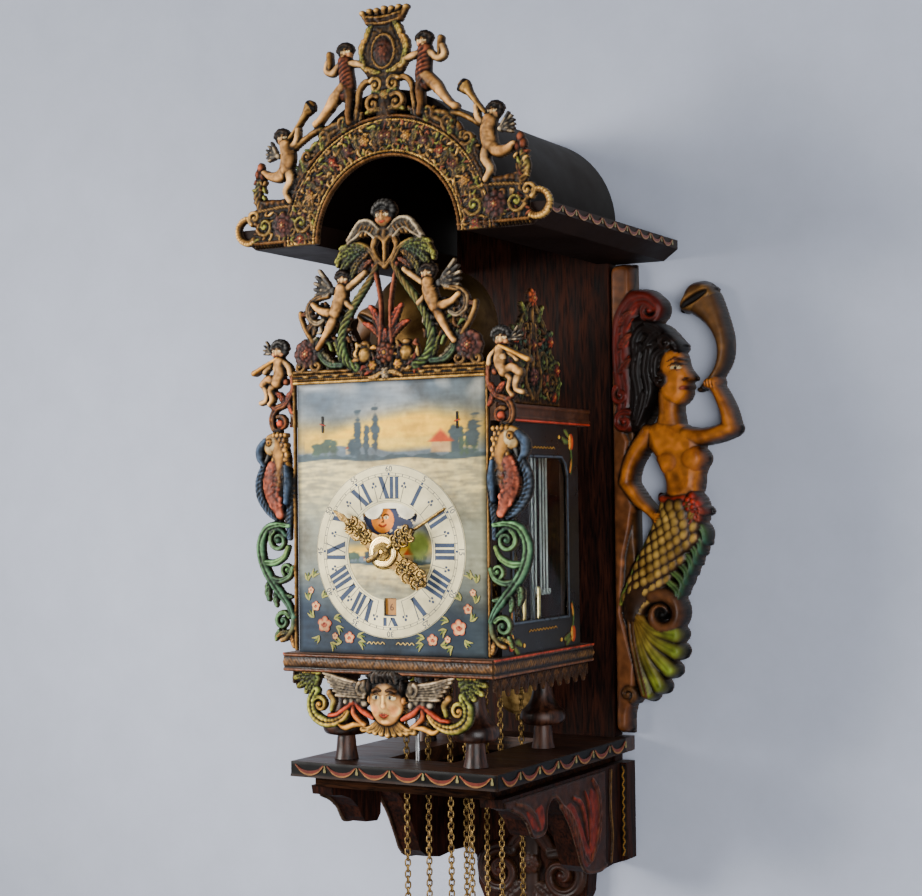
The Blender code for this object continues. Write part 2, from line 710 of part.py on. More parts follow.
def door(name, side):
    """Side door frame on two pivot pins."""
    low, high = BASE_TOP + GAP, CASE_TOP - GAP
    inner, outer = DOOR_OUT - DOOR_T, DOOR_OUT
    outline = [(DOOR_FRONT, low), (DOOR_REAR, low), (DOOR_REAR, high), (DOOR_FRONT, high)]
    span = (inner, outer) if side > 0 else (-outer, -inner)
    frame = plate(name, outline, "yz", span[0], span[1], [window(0.0)])
    x, y = door_axis(side)
    lower = rod("pin", (x, y, low - DOOR_PIN_L), (x, y, low + 0.002), DOOR_PIN_R, 8)
    upper = rod("pin", (x, y, high - 0.002), (x, y, high + DOOR_PIN_L), DOOR_PIN_R, 8)
    return place(joined(frame, lower, upper), "black_paint")


def glass(name, side):
    """Pane held in a door's window."""
    middle = side * (DOOR_OUT - DOOR_T / 2)
    pane = plate(name, window(-GAP), "yz", middle - GLASS_T / 2, middle + GLASS_T / 2)
    return place(pane, "glass")


# Right half of the front crest above its moulding: urn, flying child, leaves, wings and head
FRONT_CREST = [(0.0975, 0.0), (0.0975, 0.0125), (0.0935, 0.018), (0.0925, 0.034), (0.086, 0.044),
               (0.0905, 0.058), (0.084, 0.072), (0.073, 0.069), (0.066, 0.079), (0.056, 0.086),
               (0.053, 0.096), (0.046, 0.1025), (0.0425, 0.1045), (0.0485, 0.111), (0.044, 0.119),
               (0.034, 0.117), (0.039, 0.124), (0.034, 0.134), (0.022, 0.138), (0.0135, 0.1385),
               (0.0135, 0.150), (0.008, 0.157)]


def front_crest():
    """Cast crest on the dial's upper edge."""
    foot_z = DIAL_Z0 + DIAL_H - 0.0014
    across = (DIAL_HALF + 0.002) / FRONT_CREST[0][0]
    half = [(0.0, foot_z)] + shifted(stretched(FRONT_CREST, across, 1.0), 0.0, foot_z)
    half.append((0.0, foot_z + 0.159))
    holes = []
    for side in (-1, 1):
        for at, radius in (((0.0165, 0.098), 0.0065), ((0.060, 0.052), 0.0075)):
            holes.append([(side * u, foot_z + v) for u, v in arc(at, radius, 0, 330, 11)])
    crest = plate("front_crest", mirrored(half), "xz", FRONT_CAST, DIAL_FRONT - GAP, holes)
    return place(crest, "cast_lead")


# Cast column beside the dial: edge strip, foliage scroll, parrot and flute player
COLUMN = [(0.0, 0.0), (0.0037, 0.0), (0.009, 0.009), (0.017, 0.022), (0.012, 0.040), (0.022, 0.052),
          (0.034, 0.066), (0.040, 0.083), (0.035, 0.098), (0.024, 0.108), (0.015, 0.112),
          (0.029, 0.124), (0.042, 0.137), (0.0448, 0.150), (0.041, 0.164), (0.0405, 0.175),
          (0.037, 0.187), (0.028, 0.195), (0.019, 0.194), (0.016, 0.200), (0.021, 0.207),
          (0.017, 0.213), (0.025, 0.215), (0.036, 0.2215), (0.033, 0.236), (0.043, 0.242),
          (0.043, 0.256), (0.032, 0.259), (0.033, 0.272), (0.024, 0.280), (0.014, 0.277),
          (0.010, 0.264), (0.0037, 0.254), (0.0037, 0.237), (0.0, 0.237)]


def column(name, side):
    """Cast ornament along the dial's edge."""
    outline = stretched(COLUMN, 1.0, (DIAL_H - STRIP_SHORT) / COLUMN[-1][1])
    outline = shifted(outline, DIAL_HALF + GAP, DIAL_Z0)
    if side < 0:
        outline = flipped(outline)
    return place(plate(name, outline, "xz", FRONT_CAST, DIAL_FRONT + DIAL_T / 2), "cast_lead")


# Right half of the apron below the base: winged head between foliage scrolls
APRON = [(0.099, 0.0), (0.0995, -0.010), (0.093, -0.018), (0.096, -0.028), (0.086, -0.034),
         (0.079, -0.041), (0.0625, -0.044), (0.051, -0.040), (0.040, -0.036), (0.029, -0.043),
         (0.022, -0.051), (0.010, -0.054)]


def apron():
    """Cast apron hanging below the front of the base."""
    drawn = stretched(APRON, (BASE_HALF - APRON_IN) / APRON[0][0], 1.0)
    half = [(0.0, FOOT_H)] + shifted(drawn, 0.0, FOOT_H) + [(0.0, FOOT_H - 0.0535)]
    front = BASE_FRONT + 0.0022
    return place(plate("apron", mirrored(half), "xz", front, front + CAST_T), "cast_lead")


# Half of a side crest about its middle, above the top board
SIDE_CREST = [(0.074, 0.0), (0.074, 0.012), (0.062, 0.021), (0.056, 0.036), (0.045, 0.043), (0.040, 0.060),
              (0.026, 0.066), (0.021, 0.084), (0.010, 0.092), (0.006, 0.102)]


def side_crest(name, side):
    """Cast crest standing on the top board above a door."""
    low = TOP_Z + GAP
    drawn = stretched(SIDE_CREST, (CASE_DEPTH / 2 - SIDE_CREST_IN) / SIDE_CREST[0][0], 1.0)
    half = [(0.0, low)] + shifted(drawn, 0.0, low) + [(0.0, low + 0.104)]
    outline = shifted(mirrored(half), (DOOR_FRONT + CASE_BACK) / 2 - 0.016, 0.0)
    inner = TOP_HALF - 0.004 - CAST_T
    span = (inner, inner + CAST_T) if side > 0 else (-inner - CAST_T, -inner)
    return place(plate(name, outline, "yz", span[0], span[1]), "cast_lead")


def fringe(name, side):
    """Zigzag cast fringe under the side of the base."""
    points = 11
    front, rear = BASE_FRONT + 0.008, CASE_BACK - 0.004
    outline = [(rear, FOOT_H), (front, FOOT_H)]
    for tooth in range(points):
        start = front + (rear - front) * tooth / points
        tip = start + (rear - front) / points / 2
        outline += [(start, FOOT_H - FRINGE_ROOT), (tip, FOOT_H - FRINGE_DROP)]
    outline.append((rear, FOOT_H - FRINGE_ROOT))
    outer = BASE_HALF - 0.0015
    span = (outer - 0.003, outer) if side > 0 else (-outer, -outer + 0.003)
    return place(plate(name, outline, "yz", span[0], span[1]), "cast_lead")


# Dial work: half widths of the hands at shares of their length
HOUR_HALF = [(0.0030, 0.83), (0.0022, 0.74), (0.0075, 0.64), (0.0092, 0.52), (0.0058, 0.41),
             (0.0072, 0.28), (0.0095, 0.14), (0.0105, 0.0)]
HOUR_TAIL_HALF = [(0.0095, 0.18), (0.0064, 0.36), (0.0095, 0.53), (0.0090, 0.71), (0.0048, 0.85),
                  (0.0062, 0.93)]
MINUTE_HALF = [(0.0026, 0.89), (0.0020, 0.81), (0.0062, 0.70), (0.0068, 0.62), (0.0032, 0.51),
               (0.0043, 0.38), (0.0030, 0.24), (0.0070, 0.12), (0.0085, 0.0)]


def hand_outline(half, tail_half, tip, tail):
    """A closed hand pointing up from the hub, from half widths along the tip and the tail."""
    right = [(0.0, -tail)] + [(w, -tail * t) for w, t in reversed(tail_half)]
    right += [(w, tip * t) for w, t in reversed(half)] + [(0.0, tip)]
    return mirrored(right)


def pointed(outline, degrees):
    """Turn an outline clockwise about the hub."""
    turn = math.radians(-degrees)
    c, s = math.cos(turn), math.sin(turn)
    return [(u * c - v * s, HUB_Z + u * s + v * c) for u, v in outline]


def hour_hand():
    """Hour hand on its pipe with the hour wheel behind the dial."""
    outline = hand_outline(HOUR_HALF, HOUR_TAIL_HALF, HOUR_TIP, HOUR_TAIL)
    angle = (REST_HOURS + REST_MINUTES / 60) * 30
    hand = plate("hour_hand", pointed(outline, angle), "xz", HOUR_HAND_Y - HAND_T, HOUR_HAND_Y)
    teeth = gear(HOUR_TEETH, 2 * MOTION_CENTRES / (HOUR_TEETH + MOTION_LEAVES), 0, (0.0, HUB_Z))
    rim = wheel("rim", teeth, HOUR_WHEEL_Y, WHEEL_T)
    pipe_front = ALARM_Y - HAND_T - GAP
    pipe_rear = HOUR_WHEEL_Y + WHEEL_T / 2
    pipe = rod("pipe", (0, pipe_front, HUB_Z), (0, pipe_rear, HUB_Z), PIPE_OUT)
    bore = rod("bore", (0, HUB_FRONT, HUB_Z), (0, FRONT_BAR_Y, HUB_Z), PIPE_IN)
    return place(cut(joined(hand, rim, pipe), bore), "brass")


def minute_hand():
    """Minute hand clamped on the front of the centre arbor."""
    outline = hand_outline(MINUTE_HALF, [(0.0070, 0.45), (0.0030, 0.85)], MINUTE_TIP, MINUTE_TAIL)
    hole = circle((0.0, HUB_Z), MINUTE_R + GAP)
    front = MINUTE_HAND_Y - HAND_T
    turned_outline = pointed(outline, REST_MINUTES * 6)
    hand = plate("minute_hand", turned_outline, "xz", front, MINUTE_HAND_Y, [hole])
    return place(hand, "brass")


def alarm_disc():
    """Alarm setting disc on the hour pipe, with a notch to read it by."""
    outline = arc((0.0, HUB_Z), ALARM_R, 95, 445, 30) + [(0.0, HUB_Z + ALARM_R * 0.8)]
    hole = circle((0.0, HUB_Z), PIPE_OUT + GAP)
    return place(plate("alarm_disc", outline, "xz", ALARM_Y - HAND_T, ALARM_Y, [hole]), "brass")


def moon_disc():
    """Disc with two painted moons behind the dial, on its own arbor."""
    disc = plate("moon_disc", circle((0.0, MOON_Z), MOON_R, 40), "xz", MOON_Y, MOON_Y + LEAF_T)
    shaft = arbor("shaft", 0.0, MOON_Z, [(MOON_Y + LEAF_T / 2, 0), (FRONT_BAR_FACE - GAP, ARBOR_R),
                                         (FRONT_BAR_Y + BAR_T / 2, PIVOT_R)])
    return place(joined(disc, shaft), "painted_iron")


def date_ring():
    """Ring of day figures turning close behind the dial."""
    ring = plate("date_ring", circle((0.0, HUB_Z), DATE_OUT, 48), "xz", DATE_Y, DATE_Y + LEAF_T,
                 [circle((0.0, HUB_Z), DATE_IN, 40)])
    return place(ring, "painted_iron")


# Movement
def pivot_hole(x, y, z, radius=PIVOT_R):
    return rod("pivot", (x, y - BAR_T, z), (x, y + BAR_T, z), radius + PIVOT_GAP, 12)


def bar(name, y, holes, lug=0.0):
    """Upright iron bar between base and top with pivot holes, and a side lug where needed."""
    low, high = BASE_TOP + GAP, CASE_TOP - GAP
    side = BAR_HALF
    outline = [(-side, low), (side, low)]
    if lug:
        outline += [(side, HUB_Z - 0.008), (lug + 0.006, HUB_Z - 0.008), (lug + 0.006, HUB_Z + 0.008),
                    (side, HUB_Z + 0.008)]
    outline += [(side, high), (-side, high)]
    upright = plate(name, outline, "xz", y - BAR_T / 2, y + BAR_T / 2)
    return cut(upright, *[pivot_hole(x, y, z, radius) for x, z, radius in holes])


def front_bar():
    holes = [(0.0, GREAT_Z, PIVOT_R), (0.0, HUB_Z, MINUTE_R), (0.0, ESCAPE_Z, PIVOT_R),
             (0.0, MOON_Z, PIVOT_R), (0.0, ANCHOR_Z, PIVOT_R), (MOTION_CENTRES, HUB_Z, PIVOT_R)]
    return place(bar("front_bar", FRONT_BAR_Y, holes, MOTION_CENTRES), "iron")


def middle_bar():
    holes = [(0.0, GREAT_Z, PIVOT_R), (0.0, HUB_Z, PIVOT_R), (0.0, ESCAPE_Z, PIVOT_R),
             (0.0, ANCHOR_Z, ARBOR_R), (0.0, STRIKE_Z, PIVOT_R)]
    return place(bar("middle_bar", MIDDLE_BAR_Y, holes), "iron")


def rear_bar():
    """Rear bar with the stud of the two rear chain wheels and the cock that hangs the pendulum."""
    upright = bar("rear_bar", REAR_BAR_Y, [(0.0, ANCHOR_Z, ARBOR_R)])
    strike_bearing = pivot_hole(0.0, REAR_BAR_Y - BAR_T, STRIKE_Z)
    stud_end = IDLER_SPROCKET[1] + SPROCKET_T / 2 + 0.002
    stud = rod("stud", (0, REAR_BAR_Y, ALARM_Z), (0, stud_end, ALARM_Z), STUD_R, 12)
    arm_z = ANCHOR_Z + 0.020
    drop_y = PENDULUM_Y + 0.006
    arm = box("arm", (-0.005, REAR_BAR_Y, arm_z), (0.005, drop_y + 0.004, arm_z + 0.006))
    drop = box("drop", (-0.005, drop_y, ANCHOR_Z - 0.005), (0.005, drop_y + 0.004, arm_z + 0.003))
    pin = rod("pin", (0, PENDULUM_Y - 0.004, ANCHOR_Z), (0, drop_y + 0.002, ANCHOR_Z), ROD_R, 12)
    return place(cut(joined(upright, stud, arm, drop, pin), strike_bearing), "iron")


def great_wheel():
    """Going great wheel with its chain wheel on one arbor."""
    front, rear = FRONT_BAR_Y - BAR_T / 2, MIDDLE_BAR_Y + BAR_T / 2
    shaft = arbor("great_wheel", 0.0, GREAT_Z, [(front, 0), (front + BAR_T + GAP, PIVOT_R),
                                                (rear - BAR_T - GAP, ARBOR_R), (rear, PIVOT_R)])
    teeth = gear(GREAT_TEETH, GREAT_MODULE, 90, (0.0, GREAT_Z))
    rim = wheel("rim", teeth, GREAT_Y, WHEEL_T)
    return place(joined(shaft, rim, sprocket("groove", *GOING_SPROCKET, GREAT_Z)), "brass")


def centre_wheel():
    """Centre arbor: pinion, second wheel, cannon pinion and the seat of the minute hand."""
    front, rear = FRONT_BAR_Y - BAR_T / 2, MIDDLE_BAR_Y + BAR_T / 2
    shaft = arbor("centre_wheel", 0.0, HUB_Z, [(HUB_FRONT, 0), (front + BAR_T + GAP, MINUTE_R),
                                               (rear - BAR_T - GAP, ARBOR_R), (rear, PIVOT_R)])
    pinion = gear(CENTRE_LEAVES, GREAT_MODULE, -90 + 180 / CENTRE_LEAVES, (0.0, HUB_Z))
    teeth = gear(CENTRE_TEETH, CENTRE_MODULE, 90, (0.0, HUB_Z))
    cannon_module = 2 * MOTION_CENTRES / (CANNON_TEETH + MOTION_TEETH)
    cannon = gear(CANNON_TEETH, cannon_module, 0, (0.0, HUB_Z))
    wheels = [wheel("leaves", pinion, GREAT_Y, PINION_T), wheel("rim", teeth, CENTRE_Y, WHEEL_T),
              wheel("cannon", cannon, CANNON_Y, WHEEL_T)]
    return place(joined(shaft, *wheels), "brass")


def motion_wheel():
    """Motion-work wheel and pinion that bring the hour wheel down to a twelfth."""
    x = MOTION_CENTRES
    front = HOUR_WHEEL_Y - WHEEL_T
    shaft = arbor("motion_wheel", x, HUB_Z, [(front, 0), (FRONT_BAR_FACE - GAP, ARBOR_R),
                                             (FRONT_BAR_Y + BAR_T / 2, PIVOT_R)])
    wheel_module = 2 * x / (CANNON_TEETH + MOTION_TEETH)
    leaf_module = 2 * x / (HOUR_TEETH + MOTION_LEAVES)
    teeth = gear(MOTION_TEETH, wheel_module, 180 + 180 / MOTION_TEETH, (x, HUB_Z))
    leaves = gear(MOTION_LEAVES, leaf_module, 180 + 180 / MOTION_LEAVES, (x, HUB_Z))
    return place(joined(shaft, wheel("rim", teeth, CANNON_Y, WHEEL_T),
                        wheel("leaves", leaves, HOUR_WHEEL_Y, WHEEL_T)), "brass")


def escape_wheel():
    """Escape wheel with raked teeth and its pinion."""
    front, rear = FRONT_BAR_Y - BAR_T / 2, MIDDLE_BAR_Y + BAR_T / 2
    shaft = arbor("escape_wheel", 0.0, ESCAPE_Z, [(front, 0), (front + BAR_T + GAP, PIVOT_R),
                                                  (rear - BAR_T - GAP, 0.7 * ARBOR_R), (rear, PIVOT_R)])
    leaves = gear(ESCAPE_LEAVES, CENTRE_MODULE, -90 + 180 / ESCAPE_LEAVES, (0.0, ESCAPE_Z))
    rake = []
    for tooth in range(ESCAPE_TEETH):
        angle = 360 * tooth / ESCAPE_TEETH
        rake += arc((0.0, ESCAPE_Z), ESCAPE_R, angle, angle + 1.5, 1)
        rake += arc((0.0, ESCAPE_Z), 0.84 * ESCAPE_R, angle + 3.5, angle + 9.5, 1)
    return place(joined(shaft, wheel("leaves", leaves, CENTRE_Y, PINION_T),
                        wheel("rim", rake, ESCAPE_Y, WHEEL_T)), "brass")


def anchor():
    """Anchor over the escape wheel, its long arbor and the crutch that meets the pendulum rod."""
    crutch_y = PENDULUM_Y - 0.014
    fork_z = ANCHOR_Z - CRUTCH_L
    shaft = arbor("anchor", 0.0, ANCHOR_Z, [(FRONT_BAR_Y - BAR_T / 2, 0),
                                            (FRONT_BAR_Y + BAR_T / 2 + GAP, PIVOT_R),
                                            (crutch_y + 0.002, ARBOR_R)])
    reach = ANCHOR_RISE - ESCAPE_R - 0.002
    half = [(0.0, ANCHOR_Z - reach + 0.0015), (0.010, ANCHOR_Z - reach - 0.0005),
            (0.0165, ANCHOR_Z - 0.0165), (0.0195, ANCHOR_Z - 0.0170), (0.014, ANCHOR_Z - 0.003),
            (0.0, ANCHOR_Z + 0.005)]
    pallets = wheel("pallets", mirrored(half), ESCAPE_Y, PINION_T / 2)
    stem = box("stem", (-0.0015, crutch_y, fork_z), (0.0015, crutch_y + 0.002, ANCHOR_Z))
    wide = ROD_R + 2 * PIVOT_GAP + 0.002
    bridge = box("bridge", (-wide, crutch_y, fork_z - 0.003), (wide, crutch_y + 0.002, fork_z + 0.001))
    tines = [box("tine", (min(s * wide, s * (wide - 0.002)), crutch_y + 0.001, fork_z - 0.003),
                 (max(s * wide, s * (wide - 0.002)), PENDULUM_Y + 0.003, fork_z)) for s in (-1, 1)]
    return place(joined(shaft, pallets, stem, bridge, *tines), "steel")


def pendulum():
    """Pendulum: eye on the cock's pin, thin rod and a lens-shaped bob."""
    eye_out = ROD_R + PIVOT_GAP + 0.002
    eye = rod("pendulum", (0, PENDULUM_Y - 0.002, ANCHOR_Z), (0, PENDULUM_Y + 0.002, ANCHOR_Z), eye_out)
    stem_top = ANCHOR_Z - eye_out + 0.001
    stem_end = BOB_Z - BOB_R - 0.006
    stem = rod("stem", (0, PENDULUM_Y, stem_top), (0, PENDULUM_Y, stem_end), ROD_R, 10)
    bow = [(0.0, 0.5), (0.5, 0.42), (0.85, 0.22), (1.0, 0.05)]
    lens = [(BOB_R * r, BOB_T * y) for r, y in bow]
    lens += [(BOB_R * r, -BOB_T * y) for r, y in reversed(bow)]
    bob = turned("bob", lens, (0, PENDULUM_Y, BOB_Z), "y", 22)
    front, rear = PENDULUM_Y - 0.01, PENDULUM_Y + 0.01
    hole = rod("hole", (0, front, ANCHOR_Z), (0, rear, ANCHOR_Z), ROD_R + PIVOT_GAP)
    return place(cut(joined(eye, stem, bob), hole), "brass")


def strike_wheel():
    """Strike chain wheel with a pin wheel that lifts the hammer, turned in one piece, with its pins."""
    front, rear = MIDDLE_BAR_Y - BAR_T / 2 + GAP, REAR_BAR_Y - 0.5 * BAR_T
    radius, groove_y = STRIKE_SPROCKET
    rim_y = groove_y + 0.016
    rim_r = radius + 0.003
    half = WHEEL_T / 2
    profile = [(0.0, -front), (PIVOT_R, -front), (PIVOT_R, -front - BAR_T), (ARBOR_R, -front - BAR_T)]
    profile += [(ARBOR_R, SPROCKET_T / 2 - groove_y)]
    profile += [(r, h - groove_y) for r, h in groove(radius)]
    profile += [(ARBOR_R, -SPROCKET_T / 2 - groove_y), (ARBOR_R, half - rim_y), (rim_r, half - rim_y),
                (rim_r, -half - rim_y), (ARBOR_R, -half - rim_y), (ARBOR_R, GAP - rear),
                (PIVOT_R, GAP - rear), (PIVOT_R, -rear - 0.4 * BAR_T), (0.0, -rear - 0.4 * BAR_T)]
    body = turned("strike_wheel", profile, (0.0, 0.0, STRIKE_Z), "y", 24)
    pins = []
    for x, z in circle((0.0, STRIKE_Z), rim_r - 0.004, STRIKE_PINS):
        pins.append(rod("pin", (x, rim_y, z), (x, rim_y + 0.007, z), 0.0011, 6))
    return place(joined(body, *pins), "brass")


def rear_sprocket(name, size):
    """Loose chain wheel on the rear bar's stud."""
    radius, y = size
    rim = sprocket(name, radius, y, ALARM_Z)
    hole = rod("hole", (0, y - SPROCKET_T, ALARM_Z), (0, y + SPROCKET_T, ALARM_Z), STUD_R + GAP, 12)
    return place(cut(rim, hole), "brass")


# Chains, weights and rings
def half_turn(centre, radius, across, start, end, steps=12):
    """Points of a half circle in the plane of across and Z, ends left out."""
    points = []
    for step in range(1, steps):
        angle = math.radians(start + (end - start) * step / steps)
        aside = math.cos(angle) * Vector(across)
        points.append(Vector(centre) + radius * (aside + Vector((0, 0, math.sin(angle)))))
    return points


def strand(top, bottom, steps=3):
    """Points of a straight hanging strand, both ends included."""
    return [Vector(top).lerp(Vector(bottom), step / steps) for step in range(steps + 1)]


def chain(name, front, front_z, rear, rear_z):
    """Endless chain over two chain wheels, with a weight's pulley and a ring in its two bights."""
    front_r, front_y = front
    rear_r, rear_y = rear
    middle = (front_y + rear_y) / 2
    half = (rear_y - front_y) / 2
    mean = (front_r + rear_r) / 2
    route = strand((front_r, front_y, front_z), (front_r, front_y, PULLEY_Z))
    route += half_turn((mean, middle, PULLEY_Z), half, (0, 1, 0), 180, 360)
    route += strand((rear_r, rear_y, PULLEY_Z), (rear_r, rear_y, rear_z))
    route += half_turn((0, rear_y, rear_z), rear_r, (1, 0, 0), 0, 180)
    route += strand((-rear_r, rear_y, rear_z), (-rear_r, rear_y, RING_Z))
    route += half_turn((-mean, middle, RING_Z), half, (0, 1, 0), 360, 180)
    route += strand((-front_r, front_y, RING_Z), (-front_r, front_y, front_z))
    route += half_turn((0, front_y, front_z), front_r, (1, 0, 0), 180, 0)
    line = bpy.data.curves.new(name, "CURVE")
    line.dimensions = "3D"
    line.bevel_depth = CHAIN_R
    line.bevel_resolution = 2
    spline = line.splines.new("POLY")
    spline.points.add(len(route) - 1)
    for point, at in zip(spline.points, route):
        point.co = (*at, 1.0)
    spline.use_cyclic_u = True
    return place(baked(bpy.data.objects.new(name, line), name), "brass")


def weight(name, front, rear):
    """Driving weight hung from a pulley that rides in the chain's bight."""
    x = (front[0] + rear[0]) / 2
    y = (front[1] + rear[1]) / 2
    root = (rear[1] - front[1]) / 2 - CHAIN_R - GAP
    lip = root + 1.2 * CHAIN_R
    half = CHAIN_R + 0.0022
    cheek = half + CHAIN_R
    end = cheek + 0.002
    edge = [(0.0, end), (0.002, end), (0.002, half), (lip, half), (lip, CHAIN_R + 0.0012), (root, CHAIN_R)]
    profile = edge + [(r, -across) for r, across in reversed(edge)]
    pulley = turned(name, profile, (x, y, PULLEY_Z), "x", 16)
    low = PULLEY_Z - (rear[1] - front[1]) / 2 - CHAIN_R - 0.006
    strap_t = 0.0012
    front_y, rear_y = y - 0.004, y + 0.004
    straps = []
    for at in (x - cheek, x + cheek):
        strap_low = (at - strap_t, front_y, low - 0.001)
        straps.append(box("strap", strap_low, (at + strap_t, rear_y, PULLEY_Z + 0.004)))
    bridge = box("bridge", (x - cheek - strap_t, front_y, low - 0.003), (x + cheek + strap_t, rear_y, low))
    top = low - 0.014
    body = [(0.0, low - 0.002), (0.0025, low - 0.002), (0.0025, top + 0.003), (WEIGHT_R * 0.6, top + 0.002),
            (WEIGHT_R, top - 0.006), (WEIGHT_R, top - WEIGHT_L + 0.006), (WEIGHT_R * 0.7, top - WEIGHT_L),
            (0.0, top - WEIGHT_L)]
    lead = turned("lead", body, (x, y, 0.0), "z", 16)
    return place(joined(pulley, *straps, bridge, lead), "brass")


def counter_ring(name, front, rear):
    """Small ring that keeps the slack side of a chain taut."""
    x = -(front[0] + rear[0]) / 2
    y = (front[1] + rear[1]) / 2
    bight = RING_Z - (rear[1] - front[1]) / 2
    centre = bight + CHAIN_R + GAP - (RING_MAJOR - RING_R)
    rim = arc((RING_MAJOR, 0.0), RING_R, 90, -270, 8)
    return place(turned(name, rim, (x, y, centre), "y", 16), "cast_lead")


# Bell, hammer and stay
def bell():
    """Bell on its post above the case."""
    drop = BELL_TOP_Z - BELL_RIM_Z
    outer = [(0.33, 0.0), (0.70, 0.15), (0.92, 0.45), (1.0, 0.85), (1.02, 1.0)]
    profile = [(0.0, BELL_TOP_Z + 0.0075), (0.004, BELL_TOP_Z + 0.0075), (0.004, BELL_TOP_Z + 0.001)]
    profile += [(BELL_R * r, BELL_TOP_Z - drop * z) for r, z in outer]
    profile += [(BELL_R * r - BELL_T, BELL_TOP_Z - BELL_T * (1 - z) - drop * z) for r, z in reversed(outer)]
    profile += [(0.004, BELL_TOP_Z - BELL_T - 0.001), (0.004, TOP_Z + GAP), (0.0, TOP_Z + GAP)]
    return place(turned("bell", profile, (0.0, BELL_Y, 0.0), "z", 26), "bronze")


def hammer():
    """Strike hammer on an upright arbor beside the bell."""
    x, y = HAMMER_AT
    head_z = BELL_RIM_Z + HAMMER_LIFT
    arbor_rod = rod("hammer", (x, y, BASE_TOP + GAP), (x, y, head_z + 0.004), HAMMER_R, 12)
    head_at = Vector((x - HAMMER_LEAN, y - HAMMER_REACH, head_z))
    arm = rod("arm", (x, y, head_z), head_at, 0.0016, 8)
    across = Vector((-0.006, 0.0, 0.0))
    head = rod("head", head_at - across, head_at + across, 0.005, 12)
    tail_z = STRIKE_Z + STRIKE_R + 0.0078
    tail = rod("tail", (x, y, tail_z), (x - HAMMER_TAIL, y + HAMMER_TAIL / 2, tail_z), 0.0014, 8)
    return place(joined(arbor_rod, arm, head, tail), "steel")


def stay_rod():
    """Steel rod between the shelf and the floor of the case."""
    return place(rod("stay_rod", (0, STAY_Y, GAP), (0, STAY_Y, FOOT_H), STAY_R, 12), "steel")


def set_origin(obj, at):
    """Move a moving piece's origin onto its joint's axis without moving its shape."""
    at = Vector(at)
    obj.data.transform(obj.matrix_world)
    obj.matrix_world.identity()
    for vertex in obj.data.vertices:
        vertex.co -= at
    obj.location = at


def main():
    back_board()
    lower_back_board()
    shelf()
    for name, side in (("left", -1), ("right", 1)):
        console("console_" + name, side)
        mermaid("mermaid_" + name, side)
        eaves("canopy_eaves_" + name, side)
        foot("foot_front_" + name, (side * FOOT_FRONT[0], FOOT_FRONT[1]))
        foot("foot_rear_" + name, (side * FOOT_REAR[0], FOOT_REAR[1]))
        post("post_front_" + name, side * POST_X, DIAL_REAR + GAP)
        post("post_rear_" + name, side * POST_X, CASE_BACK - 2 * POST)
        x, y = door_axis(side)
        for leaf in (door("door_" + name, side), glass("door_glass_" + name, side)):
            set_origin(leaf, (x, y, BASE_TOP))
        side_crest("side_crest_" + name, side)
        column("column_" + name, side)
        fringe("fringe_" + name, side)
    vault()
    canopy_crest()
    base_board()
    top_board()
    dial_plate()
    front_crest()
    apron()
    for piece in (hour_hand(), minute_hand(), alarm_disc(), centre_wheel(), date_ring()):
        set_origin(piece, (0.0, 0.0, HUB_Z))
    set_origin(moon_disc(), (0.0, 0.0, MOON_Z))
    set_origin(great_wheel(), (0.0, 0.0, GREAT_Z))
    set_origin(motion_wheel(), (MOTION_CENTRES, 0.0, HUB_Z))
    set_origin(escape_wheel(), (0.0, 0.0, ESCAPE_Z))
    set_origin(anchor(), (0.0, 0.0, ANCHOR_Z))
    set_origin(pendulum(), (0.0, PENDULUM_Y, ANCHOR_Z))
    set_origin(strike_wheel(), (0.0, 0.0, STRIKE_Z))
    set_origin(rear_sprocket("alarm_wheel", ALARM_SPROCKET), (0.0, 0.0, ALARM_Z))
    set_origin(rear_sprocket("idler_wheel", IDLER_SPROCKET), (0.0, 0.0, ALARM_Z))
    front_bar()
    middle_bar()
    rear_bar()
    chain("chain_front", GOING_SPROCKET, GREAT_Z, STRIKE_SPROCKET, STRIKE_Z)
    chain("chain_rear", ALARM_SPROCKET, ALARM_Z, IDLER_SPROCKET, ALARM_Z)
    loops = (("front", GOING_SPROCKET, STRIKE_SPROCKET), ("rear", ALARM_SPROCKET, IDLER_SPROCKET))
    for name, front, rear in loops:
        x = (front[0] + rear[0]) / 2
        y = (front[1] + rear[1]) / 2
        set_origin(weight("weight_" + name, front, rear), (x, y, PULLEY_Z))
        set_origin(counter_ring("ring_" + name, front, rear), (-x, y, RING_Z))
    bell()
    set_origin(hammer(), (HAMMER_AT[0], HAMMER_AT[1], TOP_Z))
    stay_rod()


main()
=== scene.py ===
"""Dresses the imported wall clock: finishes, carved and cast ornament, painted dial, chains.

Ornament is drawn in millimetres as strokes, domes and leaves on a height field, one field for each
casting or carving, and each field becomes one closed mesh with a painted colour attribute.
"""
import logging
import math
from contextlib import contextmanager
from dataclasses import dataclass
from enum import Enum
from typing import Callable, Iterator, Optional, Sequence, Union

import bmesh
import bpy
import numpy as np
from mathutils import Matrix, Vector

